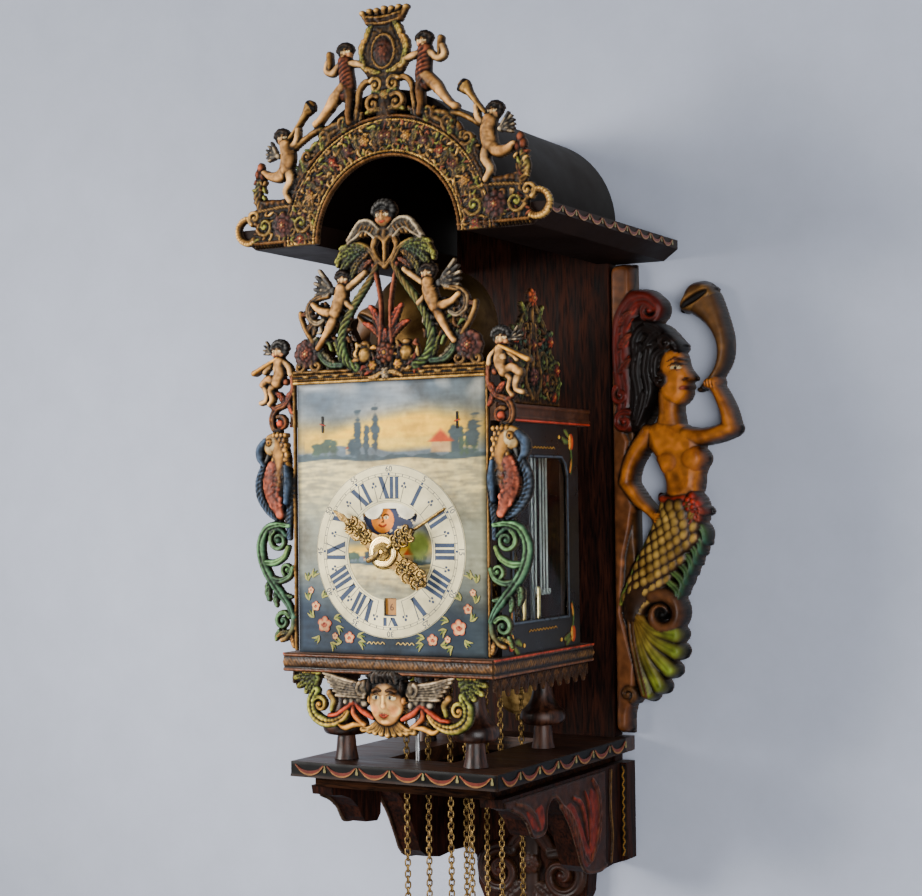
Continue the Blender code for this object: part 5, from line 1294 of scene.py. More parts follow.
@dataclass
class CanopyCrest:
    """The cast crest on the canopy's front edge: arch band, boxes, figures, shield and crown."""

    plane: float = -0.2793
    foot: float = 459.5
    arch: tuple[float, float] = (70.5, 108.5)

    def build(self) -> None:
        """Draw both halves and make the casting."""
        r = Relief((-163.0, 0.0), (163.0, 205.0), 0.85)
        for r.flip in (1.0, -1.0):
            self._band(r)
            self._box(r)
            self._squashed(r, 40.0, 0.93, self._trumpeter)
            self._squashed(r, 105.0, 0.88, self._putto)
        r.flip = 1.0
        self._shield(r)
        r.cut_below(0.15)
        r.finished(*WEAR_AND_SHADE)
        r.v = r.v + self.foot
        settle(r.mesh("crest_casting", Facing.FRONT, self.plane), CAST, ROOT, "cast_ornament",
               "canopy_crest")

    def _squashed(self, r: Relief, level: float, share: float, draw: Callable[[Relief], None]) -> None:
        """Draw something with its heights over a level made lower by a share.

        Args:
            r: the field that is drawn on.
            level: heights over this level are changed.
            share: what is left of them.
            draw: what draws.
        """
        r.press = (level, share)
        draw(r)
        r.press = (0.0, 1.0)

    def _band(self, r: Relief) -> None:
        """The arch between its two rope borders.

        Args:
            r: the field that is drawn on.
        """
        low, high = self.arch
        mid = (low + high) / 2
        r.stroke(ring_points((0, 0), mid, -14, 90, 12), (high - low) / 2 - 0.6, 2.2, UMBER, 1.6, flat=True)
        for radius, size in ((low + 2.0, 2.0), (low + 5.4, 1.2), (high - 2.2, 2.2), (high - 5.6, 1.1)):
            r.stroke(ring_points((0, 0), radius, -8, 90, 14), 0.7 * size, 3.0,
                     BROWN if size > 1.5 else GOLD, 3.0, rib=(radius * 0.42, 0.35), twist=0.9)
        for k, angle in enumerate(np.linspace(4, 88, 8)):
            r.rose(polar(mid, math.radians(angle)), 6.2, (RED, PLUM, OCHRE, BRICK)[k % 4],
                   height=2.4, base=3.4)
            for turn, leaf in ((5.2, GREEN), (-5.2, LEAF)):
                a = math.radians(angle + turn)
                r.leaf(polar(mid - 8, a), polar(mid + 9, a), 2.6, BRONZE, leaf, 0.12, 2.2, 3.4, 3)
        r.scatter([polar(mid + d, a) for a in np.radians(np.linspace(0, 89, 46))
                   for d in (-10.5, -4.0, 4.0, 10.5)], 5.5, 1.5, 3.3)
        r.scatter([polar(high + d, a) for a in np.radians(np.linspace(36, 76, 22)) for d in (1.0, 6.5)],
                  8.0, 2.3, 2.4, (BRONZE, BROWN, GREEN, BRONZE, LEAF, GOLD))
        for angle, way in ((44, 1.2), (56, -1.2), (68, 1.2)):
            a = math.radians(angle)
            r.curl(polar(high + 5, a), angle + 180, way, 6.0, 2.2, BRONZE, 3.2, 3.0)
        for angle in (38, 52, 66):
            a = math.radians(angle)
            r.leaf(polar(high - 2, a), polar(high + 9, a + 0.05), 4.0, GREEN, LEAF, 0.1, 3.5, 3.0)

    def _box(self, r: Relief) -> None:
        """The end box with its rosette, serrated foot and beaded ring.

        Args:
            r: the field that is drawn on.
        """
        r.area([(72.5, 2.6), (139, 2.6), (140, 24), (137, 36), (92, 38), (80, 34)], 2.6, BROWN, 1.6, 2.0)
        for x in np.arange(73.5, 138.5, 3.4):
            r.area([(x, 3.4), (x + 1.7, 0.2), (x + 3.4, 3.4)], 2.6, BRONZE, 1.2, 1.2)
        r.stroke([(72, 5.2), (139, 5.2)], 1.6, 3.2, BROWN, 2.8, rib=(22, 0.35), twist=0.9)
        r.stroke([(80, 35.0), (108, 36.6), (138, 34.0)], 2.2, 3.0, BRONZE, 2.8, rib=(18, 0.35), twist=0.9)
        spots = [(x, y) for x in np.arange(80, 138, 5.2) for y in np.arange(9.5, 34, 5.0)]
        r.scatter(spots, 6.5, 1.6, 3.4)
        r.rose((108, 19.5), 12.0, PLUM, PLUM, 8, 3.2, 3.8)
        r.rose((108, 19.5), 6.4, BRICK, GOLD, 6, 3.6, 4.4)
        for x, y, start, turns in ((88, 20, 200, 1.3), (128, 20, -20, -1.3)):
            r.curl((x, y), start, turns, 8.0, 2.0, BRONZE, 3.2, 3.6, GREEN)
        r.stroke(ring_points((147.5, 17.5), 10.8, -132, 152, 14), [3.4, 3.2, 2.9, 2.9, 3.0], 3.6, BRONZE, 2.2,
                 edge=UMBER, rib=(20, 0.2))
        r.bead_row(ring_points((147.5, 17.5), 12.0, -130, 120, 14), 3.0, 1.2, GOLD, 5.0)
        r.curl((139.5, 29.0), -60, 1.2, 6.0, 2.4, GOLD, 3.5, 3.0)

    def _trumpeter(self, r: Relief) -> None:
        """A kneeling child with a wing who blows a trumpet towards the middle.

        Args:
            r: the field that is drawn on.
        """
        r.stroke([(84, 62), (92, 48), (108, 40.5), (124, 41), (134, 38)], [3.4, 4.0, 3.4, 3.6, 4.0], 3.4,
                 BROWN, 2.2, edge=UMBER, rib=(10, 0.25))
        r.stroke([(134, 38), (137, 50), (134, 62), (131, 70)], [4.0, 4.5, 3.6, 3.0], 3.4, BRONZE, 2.4,
                 tip=LEAF, rib=(6, 0.3), twist=0.8)
        r.scatter([(x, y) for x in (129, 133, 137) for y in (43, 49, 55, 61)], 6.0, 1.8, 3.6)
        for x, y in ((132.5, 76.0), (135.0, 70.0), (130.0, 68.5)):
            r.dome((x, y), (3.6, 5.2), 4.0, BRICK, 3.0, edge=UMBER)
        r.leaf((98, 50), (88, 74), 4.4, BRONZE, BROWN, 0.1, 3.2, 2.6)
        r.leaf((94, 46), (102, 60), 3.2, LEAF, GREEN, -0.1, 3.0, 2.6)
        r.wing((113.5, 86.0), (62, -18), 16.0, 6, SLATE, GREY, 2.8, 2.4)
        r.limb([(104, 95), (102, 84), (104, 72)], [6.6, 7.4, 7.2], TAN, 2.8)
        r.dome((101, 88), (4.6, 4.2), 3.0, SKIN, 6.8)
        r.limb([(104, 72), (112, 66), (121, 67), (127, 71)], [6.6, 5.6, 4.0, 2.6], TAN, 2.8)
        r.limb([(103, 72), (99, 61), (104, 50), (100, 41)], [6.0, 4.8, 3.6, 3.0], SKIN, 2.6)
        r.stroke([(98, 90), (88, 97), (76, 104), (68, 107)], [3.0, 2.6, 2.6, 3.2], 3.6, BRONZE, 2.4,
                 edge=UMBER)
        r.stroke([(102, 99.5), (92, 111.5), (84, 123), (79, 129.5)], [1.8, 2.3, 3.4, 6.4], 4.6, BRONZE, 2.4,
                 tip=GOLD, edge=UMBER)
        # A black oval at the trumpet's mouth, as painted shade inside it
        r.dome((77.6, 130.4), (6.4, 3.0), 2.6, BLACK, 4.4, turn=48)
        r.limb([(100, 92), (93, 98), (91, 109)], [3.4, 3.0, 2.6], SKIN, 4.0)
        r.face((109.0, 103.0), 7.4, SKIN, HAIR, 3.0, -0.9, 0.62)

    def _putto(self, r: Relief) -> None:
        """A standing child in a tunic who holds the shield and lifts a club.

        Args:
            r: the field that is drawn on.
        """
        r.stroke(ring_points((0, 0), 110.5, 52, 73, 6), [3.0, 3.8, 3.0], 3.4, BRONZE, 2.2, edge=UMBER)
        r.leaf((66, 88), (69, 107), 4.6, LEAF, GREEN, 0.1, 3.2, 2.4)
        r.leaf((60, 92), (50, 106), 3.8, GREEN, LEAF, -0.1, 3.0, 2.4)
        r.stroke([(40, 103), (52, 104), (64, 100)], [3.4, 3.0, 3.4], 3.0, BRONZE, 2.2, edge=UMBER)
        r.stroke([(9, 141), (19, 143.5), (26.5, 136), (28.5, 122), (31, 106)], [2.6, 2.8, 2.8, 2.6, 3.4],
                 3.4, BRONZE, 2.2, edge=UMBER, groove=0.2)
        r.limb([(42, 140), (52, 130), (58, 121), (66, 111), (71, 107)], [6.4, 5.6, 4.2, 3.2, 3.8], TAN, 2.8)
        r.limb([(38, 140), (36, 127), (37, 114), (36, 105)], [5.8, 4.8, 3.6, 4.0], BROWN, 2.6)
        r.stroke([(41, 166), (40, 155), (39, 143), (41, 136)], [7.4, 7.2, 8.0, 9.0], 6.6, BRICK, 2.8,
                 edge=UMBER, rib=(7, 0.16), twist=0.9)
        r.limb([(37, 164), (29, 163), (21, 160)], [3.6, 3.2, 3.0], SKIN, 3.2)
        r.limb([(45, 164), (54, 157), (60, 160), (58.5, 168)], [3.8, 3.4, 3.2, 2.8], SKIN, 3.2)
        r.stroke([(56, 160), (56.5, 168), (57, 176)], [2.2, 3.0, 3.0], 4.0, BRONZE, 3.4, edge=UMBER)
        r.limb([(41, 171), (41, 166)], [3.6, 4.4], SKIN, 3.4)
        r.face((40.5, 176.0), 7.6, SKIN, HAIR, 3.0, -0.6, 0.62)

    def _shield(self, r: Relief) -> None:
        """Shield, crown and the scroll knot under them.

        Args:
            r: the field that is drawn on.
        """
        r.stroke([(0, 147), (0, 130), (0, 107)], [9.0, 7.0, 10.0], 3.4, BROWN, 2.0, edge=UMBER)
        half = [(11, 190), (14, 181), (20, 170), (23.5, 158), (20.5, 146), (11, 139)]
        r.area(half + [(-x, y) for x, y in reversed(half)], 3.4, BRONZE, 2.4, 4.0, 3)
        for r.flip in (1.0, -1.0):
            r.leaf((11, 188), (18, 172), 3.2, GREEN, OCHRE, 0.08, 2.6, 5.0)
            r.leaf((19, 175), (22.5, 159), 3.6, OCHRE, GREEN, 0.08, 2.6, 5.0)
            r.leaf((22, 162), (16, 147), 3.6, GREEN, GOLD, 0.12, 2.6, 5.0)
            r.leaf((16, 150), (3, 145), 3.0, GOLD, GREEN, 0.12, 2.6, 5.0)
            r.curl((9.0, 134), 40, 1.4, 6.2, 2.2, GOLD, 3.4, 3.4)
            r.curl((12.0, 118), 130, -1.3, 7.0, 2.6, BRONZE, 3.6, 3.0)
            r.leaf((4, 127), (13, 128), 2.6, GREEN, LEAF, 0.2, 2.8, 4.0)
            r.leaf((3, 112), (20, 110), 3.4, BRONZE, GREEN, 0.15, 3.0, 3.2)
        r.flip = 1.0
        oval = [(11.4 * math.cos(a), 163 + 14.6 * math.sin(a)) for a in np.linspace(0, 2 * math.pi, 22)]
        r.stroke(oval, 1.3, 3.0, BRONZE, 4.6, rib=(24, 0.3), twist=0.8)
        r.dome((0, 163), (10.8, 13.8), 1.8, BRICK, 5.6, edge=UMBER)
        r.rose((0, 163), 5.4, BRICK, BRICK, 6, 1.2, 7.0)
        r.rose((0, 125), 5.0, GOLD, GREEN, 6, 2.6, 4.4)
        r.stroke([(-16, 191), (0, 189), (16, 191)], [3.6, 4.0, 3.6], 4.6, BROWN, 2.4, edge=UMBER, flat=True)
        for y in (187.6, 193.0):
            r.stroke([(-16.5, y + 2.0), (0, y), (16.5, y + 2.0)], 0.9, 2.0, BRONZE, 6.0, rib=(18, 0.3))
        for x, y in ((-22.5, 199.6), (-15.0, 200.6), (-7.5, 200.2), (0, 201.2), (7.5, 200.2), (15.0, 200.6),
                     (22.5, 199.6)):
            r.stroke([(0.74 * x, 192), (x, y)], [3.4, 2.6], 3.6, BRONZE, 2.4, edge=UMBER, groove=0.2)
            r.dome((x, y), (3.0, 2.6), 4.4, GOLD, 2.6, edge=BROWN)


@dataclass
class FrontCrest:
    """The pierced casting over the dial: moulding, flowers, flying children and a winged head."""

    plane: float = -0.2823

    def build(self) -> None:
        """Draw both halves and make the casting."""
        r = Relief((-98.0, 334.0), (98.0, 492.0), 0.8)
        for r.flip in (1.0, -1.0):
            self._moulding(r)
            self._stems(r)
            self._child(r)
            self._wings(r)
        r.flip = 1.0
        self._middle(r)
        r.cut_below(334.6)
        r.cut_beside(-97.4, 97.4)
        r.finished(*WEAR_AND_SHADE)
        settle(r.mesh("front_casting", Facing.FRONT, self.plane), CAST, ROOT, "cast_ornament",
               "front_crest")

    def _moulding(self, r: Relief) -> None:
        """The beaded strip along the dial's top, with the corner rosette on it.

        Args:
            r: the field that is drawn on.
        """
        r.area([(-2, 334), (99, 334), (99, 347), (-2, 347)], 2.4, BROWN, 0.8, 1.2)
        for y, size, paint in ((335.8, 1.2, GOLD), (338.6, 0.8, BRONZE), (342.2, 0.8, BRONZE),
                               (345.2, 1.3, BRONZE)):
            r.stroke([(-2, y), (98, y)], size, 2.2, paint, 2.8, rib=(44, 0.4), twist=0.7)
        for x in (36, 52, 68, 84):
            r.dome((x, 341), (4.0, 1.6), 1.6, GOLD, 3.0)
        r.rose((82.5, 361.5), 13.0, PLUM, PLUM, 9, 3.4, 2.6)
        r.rose((82.5, 361.5), 7.0, BRICK, GOLD, 6, 3.8, 3.4)
        r.curl((90, 350.5), 120, 1.2, 5.2, 2.2, BRONZE, 3.0, 2.2)
        r.curl((72.5, 351.0), 40, -1.2, 5.2, 2.2, BRONZE, 3.0, 2.2)
        r.stroke([(76, 372), (83, 382), (88, 392), (89, 398)], [3.0, 2.6, 2.4, 2.6], 3.0, BRONZE, 2.0,
                 edge=UMBER)

    def _stems(self, r: Relief) -> None:
        """Striped stems from the foot to the middle, scrolls and red leaves.

        Args:
            r: the field that is drawn on.
        """
        r.stroke([(30, 347), (41, 354), (46, 368), (43, 384), (35, 399), (24, 413), (14, 426), (7, 438)],
                 [5.4, 5.0, 4.8, 4.4, 4.0, 3.6, 3.2, 3.0], 4.2, LEAF, 2.0, tip=BROWN, edge=TEAL,
                 rib=(16, 0.3), twist=1.1)
        r.stroke([(46, 350), (58, 351), (67, 358), (68, 368), (60, 371), (56, 364)],
                 [3.4, 3.4, 3.0, 2.6, 2.2, 1.8], 3.4, TEAL, 2.0, tip=LEAF, edge=UMBER, groove=0.3)
        r.leaf((52, 350), (72, 376), 4.4, GREY, LEAF, -0.14, 3.0, 2.0)
        r.leaf((47, 354), (54, 371), 3.4, LEAF, GREEN, 0.1, 3.0, 2.0)
        r.stroke([(6, 366), (5, 384), (5, 402), (8, 420), (12, 436)], [2.2, 2.0, 2.0, 2.0, 2.4], 3.0, BRICK,
                 2.0, edge=UMBER)
        r.leaf((5, 374), (17, 401), 4.2, RED, RED, 0.1, 3.0, 2.0, 6)
        r.leaf((6, 372), (24, 386), 3.4, BRICK, RED, 0.12, 2.8, 2.0, 5)
        r.leaf((5, 370), (11, 390), 2.6, RED, BRICK, 0.1, 2.8, 2.4, 4)
        # Green fans under the winged head, and the knot between them
        r.stroke([(8, 438), (16, 450), (30, 455), (44, 449), (49, 438)], [2.6, 3.0, 3.2, 3.2, 2.0], 3.6,
                 BRONZE, 2.2, tip=GREEN, edge=UMBER, groove=0.3)
        r.leaf((20, 450), (47, 452), 4.6, LEAF, GREEN, 0.1, 3.4, 3.0)
        r.leaf((24, 450), (51, 440), 4.8, LEAF, GREEN, 0.12, 3.4, 3.2)
        r.leaf((22, 449), (47, 428), 4.8, TEAL, GREEN, 0.12, 3.4, 3.0)
        r.leaf((18, 446), (35, 422), 4.4, BRONZE, LEAF, 0.14, 3.2, 2.6)
        r.leaf((14, 440), (27, 424), 3.4, BRICK, BRONZE, 0.16, 3.0, 2.6)
        r.stroke([(0, 434), (8, 442), (12, 452), (8, 461), (1, 456), (0, 448)],
                 [2.8, 2.6, 2.4, 2.4, 2.2, 2.0], 3.6, BRONZE, 2.4, edge=UMBER, groove=0.25)
        r.stroke([(12, 452), (6, 464), (0, 468)], [2.4, 2.8, 3.2], 3.2, BRONZE, 2.4, edge=UMBER)

    def _child(self, r: Relief) -> None:
        """A child who flies outwards and reaches for the middle.

        Args:
            r: the field that is drawn on.
        """
        r.scatter([(x, y) for x in np.arange(40, 76, 7) for y in np.arange(374, 410, 7)
                   if 30 < y - 330 + 0.4 * abs(x - 58) < 78], 9.0, 2.4, 2.0,
                  (BRONZE, BROWN, UMBER, GREY, LEAF))
        r.wing((54, 416), (52, -22), 24.0, 6, GREY, SLATE, 2.0, 2.4)
        r.stroke([(60, 412), (72, 410), (80, 403), (79, 393), (71, 388), (64, 391)],
                 [2.4, 3.2, 3.4, 3.2, 2.8, 2.2], 3.2, BRONZE, 2.0, tip=GREY, edge=UMBER, groove=0.35)
        r.leaf((74, 404), (90, 397), 3.4, BRONZE, BRICK, -0.15, 2.8, 2.2)
        r.leaf((72, 390), (82, 379), 3.2, BRONZE, BROWN, 0.15, 2.8, 2.2)
        r.limb([(52, 396), (60, 397), (68, 400), (74, 405)], [5.4, 4.6, 3.4, 2.6], TAN, 2.8)
        r.limb([(51, 395), (57, 384), (63, 374), (69, 366)], [5.4, 4.4, 3.2, 2.8], TAN, 2.6)
        r.limb([(44, 417), (46, 407), (51, 396)], [6.2, 7.0, 6.2], TAN, 2.8)
        r.dome((45.5, 410), (5.0, 5.0), 2.6, SKIN, 7.6)
        r.limb([(41, 416), (30, 423), (20, 430)], [3.4, 3.0, 2.6], SKIN, 3.2)
        r.limb([(46, 412), (39, 404), (34, 400)], [3.2, 2.8, 2.6], SKIN, 3.4)
        r.face((43.5, 425.5), 7.2, SKIN, HAIR, 3.0, -0.5, 0.6)

    def _wings(self, r: Relief) -> None:
        """One wing of the head on top: a folded V with outlined feathers.

        Args:
            r: the field that is drawn on.
        """
        r.area([(3, 468), (12, 475), (22, 477), (29, 473), (38.5, 460), (36, 455.5), (27, 461), (19, 466),
                (10, 458), (4, 458)], 3.2, GREY, 2.4, 3.0, 2)
        r.stroke([(5, 467), (14, 474.5), (24, 475), (31, 468), (37.5, 459)], 1.5, 2.6, GREY, 4.2,
                 rib=(14, 0.3), twist=0.8)
        for k in range(4):
            r.stroke([(10 + 4 * k, 468 + k), (14 + 4.6 * k, 463 - 0.4 * k)], [1.2, 1.6], 1.4, BRONZE, 5.0,
                     edge=UMBER)
        r.stroke([(10, 459.5), (20, 466.5), (29, 461), (37, 456.5)], 1.3, 2.4, GREY, 4.2)

    def _middle(self, r: Relief) -> None:
        """Flower cluster at the foot and the winged head on top.

        Args:
            r: the field that is drawn on.
        """
        r.scatter([(x, y) for x in np.arange(-30, 31, 6) for y in np.arange(344, 366, 5)], 8.0, 2.4, 3.0,
                  (GOLD, BRONZE, BRICK, RED, BROWN, OCHRE))
        r.rose((0, 359), 9.5, BRICK, OCHRE, 7, 3.4, 4.0)
        for x in (-21, 21):
            r.dome((x, 358), (6.6, 7.6), 4.4, GOLD, 3.0, edge=BRONZE)
            r.dome((x, 367.5), (4.6, 3.0), 3.4, BRONZE, 3.0, edge=UMBER)
            r.rose((0.62 * x, 348.5), 4.6, OCHRE, RED, 6, 2.4, 4.4)
        r.leaf((0, 366), (0, 380), 4.0, BRICK, RED, 0.0, 2.8, 2.8)
        r.rose((0, 341.5), 5.4, GREY, GOLD, 6, 2.6, 4.4)
        for x in (-9, 9):
            r.leaf((0.4 * x, 342), (1.9 * x, 338), 2.6, GOLD, BRONZE, 0.1, 2.4, 4.2)
        r.stroke([(0, 436), (0, 450), (0, 468)], [2.6, 2.2, 5.0], 3.4, BRONZE, 2.4, edge=UMBER)
        r.face((0, 479), 11.0, TAN, SLATE, 2.6, 0.0, 0.6)


@dataclass
class Column:
    """The casting beside the dial: flute player, scrolls, parrot and green acanthus."""

    name: str
    node: str
    side: float
    plane: float = -0.281

    def build(self) -> None:
        """Draw the casting for this side."""
        low, high = (96.4, 141.0) if self.side > 0 else (-141.0, -96.4)
        r = Relief((low, 96.0), (high, 377.0), 0.7)
        r.flip = self.side
        r.area([(96.4, 98), (99.6, 98), (99.6, 346), (96.4, 346)], 2.2, BROWN, 1.2, 1.0)
        r.stroke([(98.2, 99), (98.2, 345)], 0.8, 1.6, BRONZE, 2.8, rib=(60, 0.25))
        self._player(r)
        self._parrot(r)
        self._acanthus(r)
        r.cut_below(97.6)
        r.finished(*WEAR_AND_SHADE)
        settle(r.mesh(self.name, Facing.FRONT, self.plane), CAST, ROOT, "cast_ornament", self.node)

    def _player(self, r: Relief) -> None:
        """A seated child with a flute on red scrolls.

        Args:
            r: the field that is drawn on.
        """
        r.stroke([(99, 340), (101, 350), (106, 354)], [2.0, 2.6, 3.0], 3.0, BROWN, 1.6, edge=UMBER)
        r.stroke([(112, 346), (103, 346), (99.5, 338), (100.5, 327), (107, 318), (117, 314), (122, 305),
                  (120, 296), (113, 294)], [1.8, 2.0, 2.2, 2.4, 3.0, 3.6, 3.4, 3.0, 2.4], 3.6, BRICK, 1.6,
                 tip=BROWN, edge=UMBER, groove=0.3)
        r.dome((106.5, 338), 3.4, 3.0, BRICK, 2.4, edge=UMBER)
        r.leaf((108, 317), (119, 329), 3.2, BRICK, RED, 0.15, 3.0, 2.4)
        r.leaf((106, 318), (99, 330), 2.8, RED, BRICK, -0.1, 3.0, 2.4)
        r.stroke([(118, 314), (124, 318), (127, 322)], [2.8, 2.4, 2.6], 3.0, BRICK, 2.0, edge=UMBER)
        r.leaf((103, 320), (99, 309), 2.6, BRICK, RED, 0.1, 2.8, 2.2)
        r.curl((112, 301), 60, 1.25, 6.0, 2.4, BROWN, 3.4, 2.0, RED)
        r.dome((112, 301), 4.2, 4.6, RED, 2.2, edge=BRICK)
        r.wing((121, 364), (58, 0), 13.0, 4, GREY, SLATE, 1.8, 2.2)
        r.limb([(113, 356), (112, 346), (116, 338)], [6.2, 6.4, 6.0], TAN, 2.4)
        r.dome((113, 350), (4.4, 4.6), 2.2, SKIN, 7.0)
        r.limb([(116, 338), (124, 340), (130, 336)], [5.4, 4.8, 3.8], TAN, 2.8)
        r.limb([(130, 337), (126, 328), (127, 322), (133, 319.5)], [3.8, 3.4, 2.6, 2.4], SKIN, 2.8)
        r.limb([(117, 337), (122, 331), (120, 323), (123, 318)], [4.8, 3.8, 2.8, 2.4], TAN, 2.4)
        r.limb([(109, 356), (103, 351), (101, 345)], [3.4, 2.8, 2.6], SKIN, 2.6)
        r.limb([(117, 356), (125, 351), (128, 347)], [3.4, 3.0, 2.4], SKIN, 3.4)
        r.face((112.5, 366.0), 8.4, SKIN, SLATE, 2.4, 0.6, 0.6)
        r.stroke([(113, 359), (126, 353), (139, 346.5)], [1.6, 1.9, 2.6], 3.4, OCHRE, 6.0, edge=UMBER)

    def _parrot(self, r: Relief) -> None:
        """A parrot with a red breast and blue wings, looking outwards.

        Args:
            r: the field that is drawn on.
        """
        r.stroke([(103, 258), (101.5, 243), (103, 228), (104, 212), (104, 198)], [3.4, 4.8, 4.6, 3.2, 2.4],
                 3.8, BLUE, 1.8, edge=SLATE, groove=0.2, rib=(15, 0.25), twist=0.8)
        r.stroke([(131, 262), (136, 248), (134, 234), (125, 222), (117, 215)], [4.0, 4.8, 4.8, 4.2, 2.4],
                 4.4, BLUE, 2.0, edge=SLATE, groove=0.2, rib=(13, 0.25), twist=0.8)
        r.stroke([(116, 282), (112, 268), (114, 252), (117, 236), (112, 219)], [10.0, 10.5, 11.0, 9.0, 5.0],
                 5.6, OCHRE, 2.2, tip=BRICK, edge=BROWN)
        r.stroke([(119, 262), (122, 248), (119, 234), (112, 219)], [6.5, 8.4, 7.6, 4.2], 3.0,
                 (0.66, 0.31, 0.24, 0.0), 5.4, edge=BRICK)
        for row in range(9):
            for k in range(4):
                at = (105.5 + 4.2 * k + (row % 2) * 2.0 - 0.28 * row, 290 - 4.4 * row)
                r.dome(at, (1.7, 2.2), 0.7, (OCHRE, TAN, OCHRE)[(row + k) % 3], 6.8, edge=BRONZE)
        breast = ((0.54, 0.26, 0.20, 0.0), (0.64, 0.29, 0.22, 0.0))
        for row in range(8):
            for k in range(3):
                at = (115.5 + 4.0 * k + (row % 2) * 1.8 - 0.1 * row * row, 260 - 4.6 * row)
                r.dome(at, (1.8, 2.4), 0.5, breast[(row + k) % 2], 7.6)
        r.limb([(104.5, 262), (103.5, 246), (105, 230)], [2.6, 4.6, 2.6], BLUE, 4.6)
        r.dome((119.5, 281.5), (11.5, 11.0), 4.8, CREAM, 3.2, edge=OCHRE)
        r.stroke([(128, 285), (134, 278), (134, 270), (129.5, 263)], [3.6, 4.6, 4.0, 1.6], 4.8, BLUE, 3.2,
                 edge=SLATE)
        r.stroke([(125, 272), (128, 266)], [3.0, 2.0], 3.0, SLATE, 3.0)
        r.dome((122, 283.5), 3.6, 1.2, OCHRE, 7.6, edge=BROWN)
        r.dome((122, 283.5), 1.5, 1.0, BLACK, 8.4)
        for x in (108, 114):
            r.stroke([(x, 220), (x - 1, 212), (x + 3, 208)], [2.0, 1.6, 1.6], 2.8, BROWN, 2.0, edge=UMBER)

    def _acanthus(self, r: Relief) -> None:
        """The green scroll that the parrot stands on.

        Args:
            r: the field that is drawn on.
        """
        pale = (0.27, 0.45, 0.29, 0.0)
        r.stroke([(104, 209), (116, 210), (128, 206), (135, 193), (133, 177), (125, 162), (114, 149),
                  (105, 138), (100, 128)], [2.2, 3.4, 4.4, 4.8, 5.0, 4.8, 4.4, 3.6, 2.8], 4.6, pale, 1.8,
                 tip=TEAL, edge=TEAL, groove=0.3)
        r.curl((115.5, 196), 60, -1.5, 8.6, 2.7, pale, 4.0, 2.0, TEAL)
        r.stroke([(124, 203), (115, 206), (107, 200)], [3.0, 2.8, 2.4], 3.4, TEAL, 1.8)
        r.stroke([(131, 176), (120, 176), (110, 181), (105, 190)], [3.4, 3.4, 2.8, 2.2], 4.0, pale, 2.0,
                 tip=LEAF, edge=TEAL, groove=0.3)
        r.stroke([(124, 162), (114, 160), (104, 164), (100, 172)], [3.4, 3.4, 2.8, 2.2], 4.0, TEAL, 2.0,
                 tip=pale, edge=UMBER, groove=0.3)
        r.curl((106.5, 170), -60, 1.2, 5.4, 2.0, pale, 3.4, 2.0)
        r.leaf((124, 162), (126, 141), 3.6, pale, TEAL, 0.14, 3.4, 2.0)
        r.leaf((117, 153), (118, 136), 3.2, TEAL, pale, 0.12, 3.2, 2.0)
        r.leaf((112, 148), (101, 146), 2.8, pale, TEAL, 0.1, 3.2, 2.0)
        r.curl((111.5, 124), 150, -1.4, 7.6, 2.8, pale, 4.0, 1.8, TEAL)
        r.stroke([(100, 130), (101, 118), (107, 110), (113, 107)], [2.6, 3.0, 3.0, 2.4], 3.6, TEAL, 1.8,
                 tip=BRONZE, edge=UMBER)
        r.leaf((106, 114), (118, 110), 3.0, LEAF, OCHRE, 0.1, 3.0, 2.0)
        r.leaf((103, 112), (100, 100), 2.6, OCHRE, BRONZE, 0.0, 2.8, 2.0)
        r.leaf((116, 116), (120, 106), 2.4, pale, LEAF, 0.0, 2.8, 2.0)


